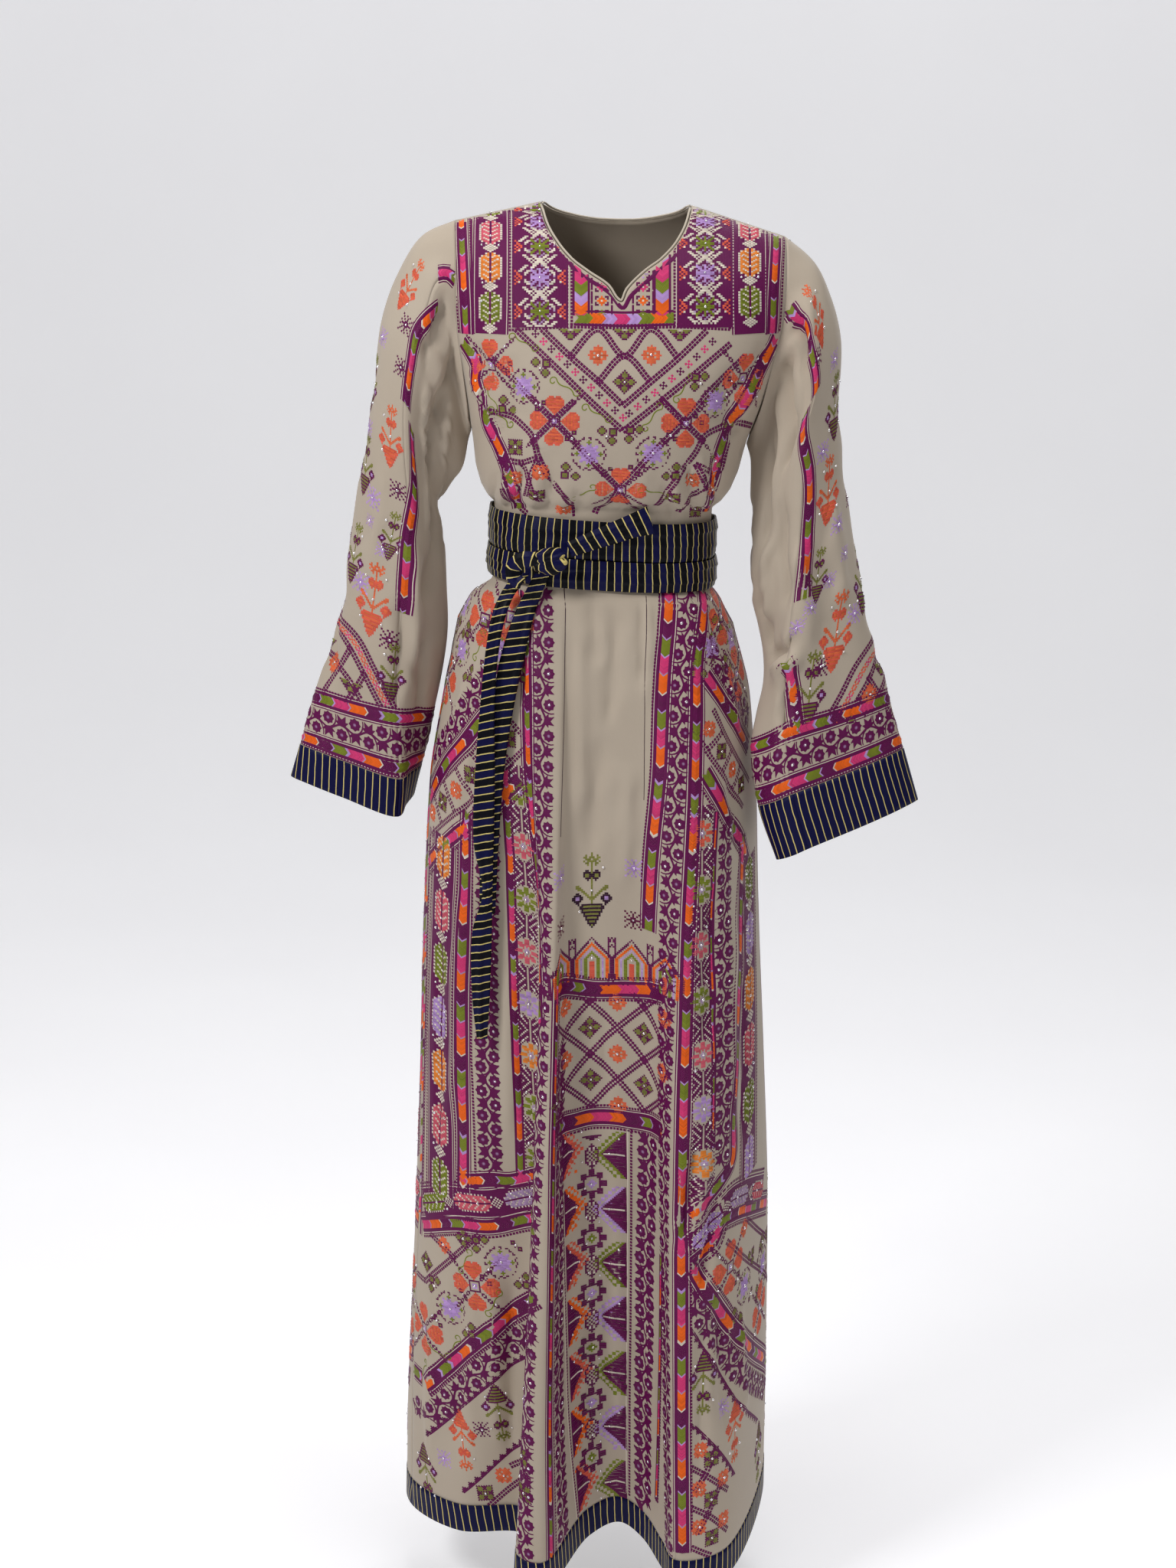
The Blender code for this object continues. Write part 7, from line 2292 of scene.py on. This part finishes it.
for side, cl in sleeve.items():
    S = Work(cl)
    m = cl.p.shape[0]
    nv = float(cl.v[m - 1 - SL_ROWS])           # top of the navy edge

    def hoop(d, n=30):
        """A level round the sleeve, a distance above the navy edge."""
        r = int(np.argmin(abs(cl.v - (nv - d))))
        return Strip(np.stack((np.linspace(cl.u[r, 0] + 0.0005, cl.u[r, -1] - 0.0005, n), np.full(n, nv - d)), 1))

    for d, ph in ((0.0115, 0.0), (0.0625, 0.03)):
        st = hoop(d)
        multi(S, st, 0.0, st.length, 0.0046, ph)
        S.line(st, 0.0070, 0.0, st.length, 0.0022, P_)
        S.line(st, -0.0070, 0.0, st.length, 0.0022, P_)
    st = hoop(0.0370)
    S.vine(st, 0.0, 0.0, st.length, 0.0318, 0.0076)
    for d in (0.0030, 0.0725):
        st = hoop(d)
        S.dots(st, 0.0, 0.0, st.length)
    for pts in SLEEVE_LINES[side]:
        st = seen(cl, pts)
        multi(S, st, 0.0, st.length, 0.0040, 0.01)
    for pts in SLEEVE_DASH[side]:
        crosses(S, cl, pts)
    st = seen(cl, SLEEVE_PINK[side])
    for k, y in enumerate(np.arange(0.004, st.length, 0.0066)):
        for a, b in ((0, 0), (-1, -1), (1, -1), (-1, 1), (1, 1)):
            S.studs(st, a * 0.0020, y + b * 0.0020, 0.0023, RGB["C" if k % 3 else "K"])
    for x, y, kind, cell, key in SLEEVE_SPOTS[side]:
        S.mid(spot(cl, x, y, 4 if side == "left" else -6), KINDS[kind], key=key, cell=cell)
    # the back of the outer piece, which the photo doesn't show: the same motifs in the same order
    for k in range(9):
        v = nv - 0.110 - 0.052 * k
        r = int(np.argmin(abs(cl.v - v)))
        a, b = cl.u[r, 0], cl.u[r, SL_TOP]
        S.mid(patch(a + (b - a) * (0.38 if k % 2 else 0.66), v), (POT, SNOW)[k % 2], key=(WARM, None, None, {"P": "L"})[k % 4], cell=(0.0017, 0.0024)[k % 2])
        S.mid(patch(a + (b - a) * (0.80 if k % 2 else 0.24), v - 0.018), (SNOW, POT)[k % 2], key=(None, None, {"P": "L"}, WARM)[k % 4], cell=(0.0022, 0.0015)[k % 2])

    def above(p, uvh):
        return uvh[:, 1] < nv - 0.0008
    STITCHED += S.build("stitches_sleeve_" + side, [("stitches_sleeve_%s_outer" % side, -9, 0.0), ("stitches_sleeve_%s_under" % side, 0.0, 9)], above)
    STONES += S.set_stones("stones_sleeve_" + side, above)


for ob in STITCHED + STONES:
    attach(ob, "root")

# ------------------------------------------------------------------ sash: two turns, knot, short end and tails
SASH_UPPER = (-0.323, -0.3645)
SASH_LOWER = (-0.3648, -0.3960)
SASH_DROP_R, SASH_DROP_F = -0.008, -0.006
KNOT, KNOT_SIZE = (-0.060, -0.1130, -0.373), (0.036, 0.021, 0.026)
SASH_END = ((-0.040, -0.362, 0.0080, 0.0080), (-0.018, -0.353, 0.0095, 0.0060), (0.005, -0.344, 0.0110, 0.0050),
            (0.028, -0.335, 0.0125, 0.0045), (0.046, -0.329, 0.0150, 0.0045))                       # x, z, half width, out
TAIL_FRONT = ((-0.389, -0.090, 0.0080, 0.0110), (-0.425, -0.110, 0.0070, 0.0110), (-0.470, -0.119, 0.0065, 0.0110),
              (-0.530, -0.123, 0.0075, 0.0110), (-0.600, -0.124, 0.0100, 0.0110), (-0.680, -0.124, 0.0105, 0.0110),
              (-0.735, -0.119, 0.0050, 0.0110), (-0.780, -0.124, 0.0105, 0.0110), (-0.850, -0.124, 0.0095, 0.0110),
              (-0.900, -0.122, 0.0055, 0.0110))                                                      # z, x, half width, out
TAIL_BACK = ((-0.389, -0.068, 0.0075, 0.0050), (-0.430, -0.085, 0.0100, 0.0058), (-0.480, -0.098, 0.0125, 0.0046),
             (-0.530, -0.106, 0.0110, 0.0044), (-0.600, -0.114, 0.0100, 0.0044), (-0.680, -0.118, 0.0095, 0.0044),
             (-0.760, -0.119, 0.0080, 0.0044))
WRAP_CX, WRAP_W, WRAP_DF, WRAP_DB = (float(a) for a in torso_row(np.array(-0.350)))


def sash_section(a, z, out):
    d = np.where(np.sin(a) > 0, WRAP_DB, WRAP_DF) + out
    x = WRAP_CX + (WRAP_W + out) * np.sign(np.cos(a)) * abs(np.cos(a)) ** (2 / SUPER)
    y = d * np.sign(np.sin(a)) * abs(np.sin(a)) ** (2 / SUPER)
    return np.stack((x, y, z + SASH_DROP_R * (x + WRAP_W) / (2 * WRAP_W) + SASH_DROP_F * np.maximum(-y / d, 0)), -1)


def sash_front_y(x, out):
    r = np.minimum(abs(x - WRAP_CX) / (WRAP_W + out), 1.0)
    return -(WRAP_DF + out) * (1 - r ** SUPER) ** (1 / SUPER)


def pleat(t, a, places, deep):
    """Soft folded-over pleats: each rises slowly and drops at its edge, its edge wandering round the waist."""
    h = np.zeros(np.broadcast(t, a).shape)
    for k, (at, wander, size) in enumerate(places):
        edge = at + wander * np.sin(a * (2 + k) + 1.7 * k) + 0.5 * wander * np.sin(a * 5 + k)
        d = (t - edge)
        h = h + deep * size * (np.exp(-np.maximum(-d, 0) / 0.22) * (d < 0) + np.exp(-np.maximum(d, 0) / 0.035) * (d >= 0))
    return h


def turn(name, z0, z1, out, places, waves):
    n, m = 240, 26
    a = np.linspace(0, 2 * pi, n + 1)
    # even steps along the section, so that the stripes keep their pitch
    ring = sash_section(a, 0 * a + z0, out)
    s = np.r_[0, np.cumsum(np.linalg.norm(np.diff(ring, axis=0), axis=1))]
    a = np.interp(np.linspace(0, s[-1], n + 1), s, a)
    t = np.linspace(0, 1, m)[:, None]
    h = pleat(t, a[None, :], places, 0.0016)
    h = h + 0.0004 * np.sin(a[None, :] * 9 + 6 * t) * waves + 0.0003 * np.sin(a[None, :] * 23 + 3 * t)
    h = h - 0.0012 * (np.exp(-t / 0.06) + np.exp(-(1 - t) / 0.06)) * 0.6
    g = sash_section(np.broadcast_to(a, (m, n + 1)), z0 + t * (z1 - z0) + 0 * a[None, :], out + 0.0004 * np.sin(pi * t))
    nor = normals(g, closed=False)
    c = g - np.array((WRAP_CX, 0, 0))
    c[..., 2] = 0
    flip = 1.0 if np.sum(nor * c) > 0 else -1.0
    nor = nor * flip
    nor[:, 0] = nor[:, -1] = unit(nor[:, 0] + nor[:, -1])
    p = g + nor * h[..., None]
    n2 = normals(p) * flip
    n2[:, 0] = n2[:, -1] = unit(n2[:, 0] + n2[:, -1])
    ob = shell_obj(name, p, n2, np.linspace(0, s[-1], n + 1)[None, :] + 0.0022 * t * np.sin(a * 2), (t * (z0 - z1)) + 0 * a[None, :], MAT_WRAP,
                   0.0008, 0.0008, flip=flip)
    return ob, s[-1]


wrap_up, long_up = turn("sash_turn_upper_cloth", *SASH_UPPER, 0.0056, ((0.30, 0.05, 1.0), (0.62, 0.09, 0.7), (0.88, 0.03, 0.6)), 1.0)
wrap_lo, long_lo = turn("sash_turn_lower_cloth", *SASH_LOWER, 0.0070, ((0.35, 0.10, 0.9), (0.72, 0.06, 1.0)), 0.8)


def ribbon(name, mid, across, face, half, fold, mat, k=13, twist=None, u0=0.0):
    """A strip of folded sash cloth: middle line, direction across, direction out, half widths."""
    m = len(mid)
    s = np.linspace(-1, 1, k)[None, :]
    h = fold(np.linspace(0, 1, m)[:, None], s)
    p = mid[:, None] + across[:, None] * (half[:, None] * s)[..., None] + face[:, None] * h[..., None]
    nor = normals(p)
    flip = 1.0 if np.sum(nor * face[:, None]) > 0 else -1.0
    nor = nor * flip
    v = np.r_[0, np.cumsum(np.linalg.norm(np.diff(mid, axis=0), axis=1))]
    u = s * half[:, None] + u0
    vv = v[:, None] + 0.0020 * s + 0 * u
    ob = shell_obj(name, p, nor, u, vv, mat, 0.0010, 0.0008, flip=flip)
    return ob, v[-1]


rows = spline(np.array(SASH_END), np.linspace(0, len(SASH_END) - 1, 60))
d = unit(np.gradient(rows[:, :2], axis=0))
mid = np.stack((rows[:, 0], sash_front_y(rows[:, 0], 0.0096) - rows[:, 3], rows[:, 1]), 1)
across = np.stack((-d[:, 1], 0 * d[:, 0], d[:, 0]), 1)
face = np.tile((0.0, -1.0, 0.0), (60, 1))


def end_fold(t, s):
    return 0.0022 * np.exp(-((s - 0.45 + 0.25 * t) / 0.28) ** 2) + 0.0014 * np.exp(-((s + 0.50) / 0.22) ** 2) - 0.0012 * abs(s) ** 3


end_short, long_end = ribbon("sash_end_short_cloth", mid, across, face, rows[:, 2], end_fold, MAT_TAIL)


def skirt_front_y(z):
    line = skirt_at(z, np.linspace(0, COL["crest_l"], 120))
    near = (line[:, 0] > -0.140) & (line[:, 0] < -0.084)
    return float(line[near, 1].min())


TAILS = []
for name, table, m, folds in (("sash_tail_front", TAIL_FRONT, 170, ((0.35, 0.24, 0.0016, 0.5), (-0.55, 0.20, 0.0013, -0.4))),
                              ("sash_tail_back", TAIL_BACK, 130, ((0.05, 0.24, 0.0014, 0.7), (0.75, 0.16, 0.0010, 0.0)))):
    r = spline(np.array(table), np.linspace(0, len(table) - 1, m))
    z, x, hw, out = r.T
    y_skirt = np.array([skirt_front_y(a) for a in z])
    y_sash = sash_front_y(x, 0.0096) - 0.0045
    y0 = y_skirt + (np.minimum(y_sash, y_skirt) - y_skirt) * ease((z + 0.445) / 0.035)
    mid = np.stack((x, y0 - out, z), 1)

    def fold(t, s, folds=folds):
        h = 0.0012 * (1 - s * s)
        for at, wide, deep, drift in folds:
            h = h + deep * np.exp(-((s - at - drift * np.sin(5 * t)) / wide) ** 2)
        return h
    ob, ln = ribbon(name + "_cloth", mid, np.tile((1.0, 0, 0), (m, 1)), np.tile((0.0, -1.0, 0.0), (m, 1)), hw, fold, MAT_TAIL,
                    u0=0.0)
    TAILS.append((ob, ln, float(hw.mean() * 2)))


def knot_mesh():
    """A tied knot: soft lobes with creases that run over it."""
    n, m = 72, 44
    a = np.linspace(0, 2 * pi, n + 1)[None, :]
    b = np.linspace(-pi / 2, pi / 2, m)[:, None]
    x = np.sign(np.cos(a)) * abs(np.cos(a)) ** 0.85 * abs(np.cos(b)) ** 0.8
    z = np.sign(np.sin(a)) * abs(np.sin(a)) ** 0.85 * abs(np.cos(b)) ** 0.8
    y = np.sin(b) + 0 * a
    k = 1.0 + 0.055 * np.sin(4.0 * (z * 1.5 + x * 0.7) + 0.6) + 0.04 * np.sin(9.0 * (z * 1.2 - x * 0.5)) - 0.10 * np.exp(-((z - 0.35 * x - 0.05) / 0.10) ** 2) \
        - 0.07 * np.exp(-((z + 0.5 * x + 0.55) / 0.09) ** 2)
    sz = np.array(KNOT_SIZE) * 0.5 * np.array((1.06, 1.02, 1.10))
    p = np.stack((x * k * sz[0], -y * k * sz[1], z * k * sz[2]), -1) + np.array(KNOT)
    lu = (z * 0.9 + x * 0.35) * sz[2] * 1.3
    lv = x * sz[0] + y * sz[1] + 0.2 * z * sz[2]
    q = grid_faces(m, n + 1)
    return p, q, lu, lv


kp, kq, ku, kv = knot_mesh()
nor = normals(kp)
out_dir = np.sum(nor * (kp - np.array(KNOT))) > 0
kq = kq if out_dir else kq[:, ::-1]
uvk = np.stack((np.broadcast_to(np.linspace(0.01, 0.99, kp.shape[1])[None, :], kp.shape[:2]),
                np.broadcast_to(np.linspace(0.01, 0.99, kp.shape[0])[:, None], kp.shape[:2])), -1).reshape(-1, 2)
knot = make_mesh("sash_knot_cloth", kp.reshape(-1, 3), [kq], [MAT_TAIL], uvk, np.stack((ku, kv + 0 * ku), -1).reshape(-1, 2))

# a loop of the sash that leaves the knot and turns down over the lower turn
lp = spline(np.array(((-0.066, -0.1160, -0.374), (-0.078, -0.1175, -0.371), (-0.091, -0.1135, -0.374), (-0.098, -0.1090, -0.383),
                      (-0.095, -0.1095, -0.394), (-0.088, -0.1130, -0.398))), np.linspace(0, 5, 60))
t = unit(np.gradient(lp, axis=0))
out_v = np.tile((0.0, -1.0, 0.0), (60, 1))
side_v = unit(np.cross(t, out_v))
loop, long_loop = ribbon("sash_loop_cloth", lp, side_v, unit(np.cross(side_v, t)) * np.sign(np.sum(np.cross(side_v, t) * out_v, axis=1))[:, None],
                         np.interp(np.linspace(0, 1, 60), (0, 0.3, 0.7, 1), (0.0050, 0.0085, 0.0085, 0.0060)),
                         lambda t, s: 0.0016 * np.exp(-((s - 0.3) / 0.25) ** 2) + 0.0016 * (1 - s * s), MAT_TAIL)

for ob, node in ((wrap_up, "sash_turn_upper"), (wrap_lo, "sash_turn_lower"), (end_short, "sash_end_short"), (TAILS[0][0], "sash_tail_front"),
                 (TAILS[1][0], "sash_tail_back"), (knot, "sash_knot"), (loop, None)):
    dress(ob, node)

# ------------------------------------------------------------------ neck binding: a soft pale piping with slanted wraps
SHOULDER_STEPS, NECK_PIPE, NECK_OFFSET = 4 * BOD_FINE, 0.0012, 0.0022


def rim_line(sewn):
    lo, hi = SHOULDER_STEPS, sewn.p.shape[1] - SHOULDER_STEPS
    line = sewn.p[0, lo:hi]
    nor = sewn.n[0, lo:hi]
    along = unit(np.gradient(line, axis=0))
    dd = unit(np.cross(along, nor))
    inner = sewn.p[1, lo:hi] - line
    inner[0] = inner[-1] = 0
    inner[0, 0], inner[-1, 0] = line[0, 0], line[-1, 0]
    return line + np.where(np.sum(dd * inner, axis=1) < 0, 1.0, -1.0)[:, None] * dd * NECK_OFFSET


neck_loop = np.vstack((rim_line(sewn_f), rim_line(sewn_b)[1:-1][::-1]))
keep = np.r_[True, np.linalg.norm(np.diff(neck_loop, axis=0), axis=1) > 0.0006]
neck_loop = neck_loop[keep]
al = np.linspace(0, 1, 13)
nn = len(neck_loop)
tang = unit(np.roll(neck_loop, -1, axis=0) - np.roll(neck_loop, 1, axis=0))
e1 = unit(np.cross(tang, (0.0, 1.0, 0.15)))
e2 = np.cross(tang, e1)
ang = al * 2 * pi
ring = neck_loop[:, None] + NECK_PIPE * (e1[:, None] * np.cos(ang)[None, :, None] + e2[:, None] * np.sin(ang)[None, :, None]) \
    * (1 + 0.06 * np.sin(np.arange(nn)[:, None] * 1.9 + ang[None, :]))[..., None]
ring = np.concatenate((ring, ring[:1]), axis=0)
q = grid_faces(nn + 1, 13)
mid_n = normals(ring)
if np.sum(mid_n * (ring - np.concatenate((neck_loop, neck_loop[:1]))[:, None])) < 0:
    q = q[:, ::-1]
uvb = np.stack((np.broadcast_to(np.linspace(0.01, 0.2, 13)[None, :], ring.shape[:2]),
                np.broadcast_to(np.linspace(0.01, 0.99, nn + 1)[:, None], ring.shape[:2])), -1).reshape(-1, 2)
binding = make_mesh("neck_binding_piping", ring.reshape(-1, 3), [q], [MAT_BIND], uvb, uvb)
dress(binding, "neck_binding")

# ------------------------------------------------------------------ every piece of cloth, with the size that it was cut to
BY_NAME = {o.name: o for o in STITCHED + STONES + PIECES}
ON_IT = {"skirt_front_left": ["stitches_skirt_front_left"], "skirt_front_centre": ["stitches_skirt_front_centre", "stones_skirt"],
         "skirt_front_right": ["stitches_skirt_front_right"], "skirt_back": ["stitches_skirt_back"],
         "bodice_front": ["stitches_bodice_front", "stones_bodice_front", "neck_binding_piping"],
         "bodice_back": ["stitches_bodice_back", "stones_bodice_back"],
         "sleeve_left_outer": ["stitches_sleeve_left_outer", "stones_sleeve_left"], "sleeve_left_under": ["stitches_sleeve_left_under"],
         "sleeve_right_outer": ["stitches_sleeve_right_outer", "stones_sleeve_right"], "sleeve_right_under": ["stitches_sleeve_right_under"]}
BODICE = ["bodice_front_cloth", "bodice_back_cloth"]
for name in list(CUT):
    node = name[:-6]
    if node.startswith("bodice"):
        held, on = "hung", [b for b in BODICE if b != name]
    elif node.startswith("skirt"):
        held, on = "hung", BODICE
    elif node.startswith("hem"):
        held, on = "hung", ["skirt" + node[3:] + "_cloth"]
    elif node.startswith("sleeve"):
        held, on = "hung", BODICE
    elif node.startswith("cuff"):
        held, on = "hung", ["sleeve" + node[4:] + "_cloth"]
    elif node.startswith("sash_turn"):
        held, on = "gathered", BODICE + ["skirt_back_cloth"]
    else:
        held, on = ("folded" if node == "sash_loop" else "hung"), ["sash_knot_cloth"]
    across, along, area_ = CUT[name]
    wide, long_ = round(across + 0.0005, 3), round(along + 0.0005, 3)
    max(wide, 0.01)
    max(long_, 0.01)
    round(float(np.clip(area_, 0.31 * wide * long_, wide * long_)), 5)
    [BY_NAME[n] for n in ON_IT.get(node, []) if n in BY_NAME]
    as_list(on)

# ------------------------------------------------------------------ floor, light and camera
def curved_backdrop():
    """A pale floor that curves up into a pale wall."""
    z0, y1, r = -1.575, 6.2, 2.6
    line = [(-7.0, z0), (-2.0, z0), (0.0, z0), (y1 - r, z0)]
    line += [(y1 - r + r * sin(t), z0 + r * (1 - cos(t))) for t in np.linspace(0.08, pi / 2, 20)]
    line += [(y1, 5.5)]
    xs = np.linspace(-8, 8, 9)
    verts = [(x, y, z) for y, z in line for x in xs]
    ob = make_mesh("backdrop", verts, [grid_faces(len(line), len(xs))], [])
    m = Mat("backdrop")
    obj = m.node("ShaderNodeTexCoord").outputs["Object"]
    m.link(m.mix(m.noise(obj, 1.4, 4.0), lin(226, 225, 228), lin(238, 238, 240)), m.b.inputs["Base Color"])
    m.set(Roughness=0.9, Emission_Color=(0.9, 0.9, 0.92, 1), Emission_Strength=0.45)
    ob.data.materials.append(m.m)
    return ob


curved_backdrop()

cam_data = bpy.data.cameras.new("camera")
cam_data.sensor_fit = "AUTO"
cam_data.sensor_width = 36.0
cam_data.lens = FOCAL * 36.0 / 2048
cam_data.clip_start = 0.05
cam = bpy.data.objects.new("camera", cam_data)
bpy.context.scene.collection.objects.link(cam)
cam.matrix_world = Matrix.Translation(Vector(EYE)) @ Matrix(
    [[RIGHT[k], UP[k], -FW[k]] for k in range(3)]).to_4x4()
bpy.context.scene.camera = cam


def area(name, place, aim, size, power, tint=(1, 1, 1)):
    d = bpy.data.lights.new(name, "AREA")
    d.shape = "RECTANGLE"
    d.size, d.size_y = size
    d.energy = power
    d.color = tint
    o = bpy.data.objects.new(name, d)
    bpy.context.scene.collection.objects.link(o)
    o.location = place
    o.rotation_euler = (Vector(aim) - Vector(place)).to_track_quat("-Z", "Y").to_euler()


area("key", (-1.8, -1.7, 1.3), (0, 0, -0.25), (0.8, 0.8), 50)
area("fill", (2.2, -2.2, 0.4), (0, 0, -0.8), (1.8, 2.2), 6)
area("top", (0.3, -0.4, 2.4), (0, 0, -0.6), (1.5, 1.1), 42)
area("back", (0.4, 1.6, 1.4), (0, 0, -0.7), (1.6, 1.2), 14)
world = bpy.data.worlds.new("studio")
world.use_nodes = True
world.node_tree.nodes["Background"].inputs["Color"].default_value = (0.97, 0.965, 0.97, 1)
world.node_tree.nodes["Background"].inputs["Strength"].default_value = 0.15
bpy.context.scene.world = world
bpy.context.scene.view_settings.view_transform = "Standard"
bpy.context.scene.view_settings.look = "None"
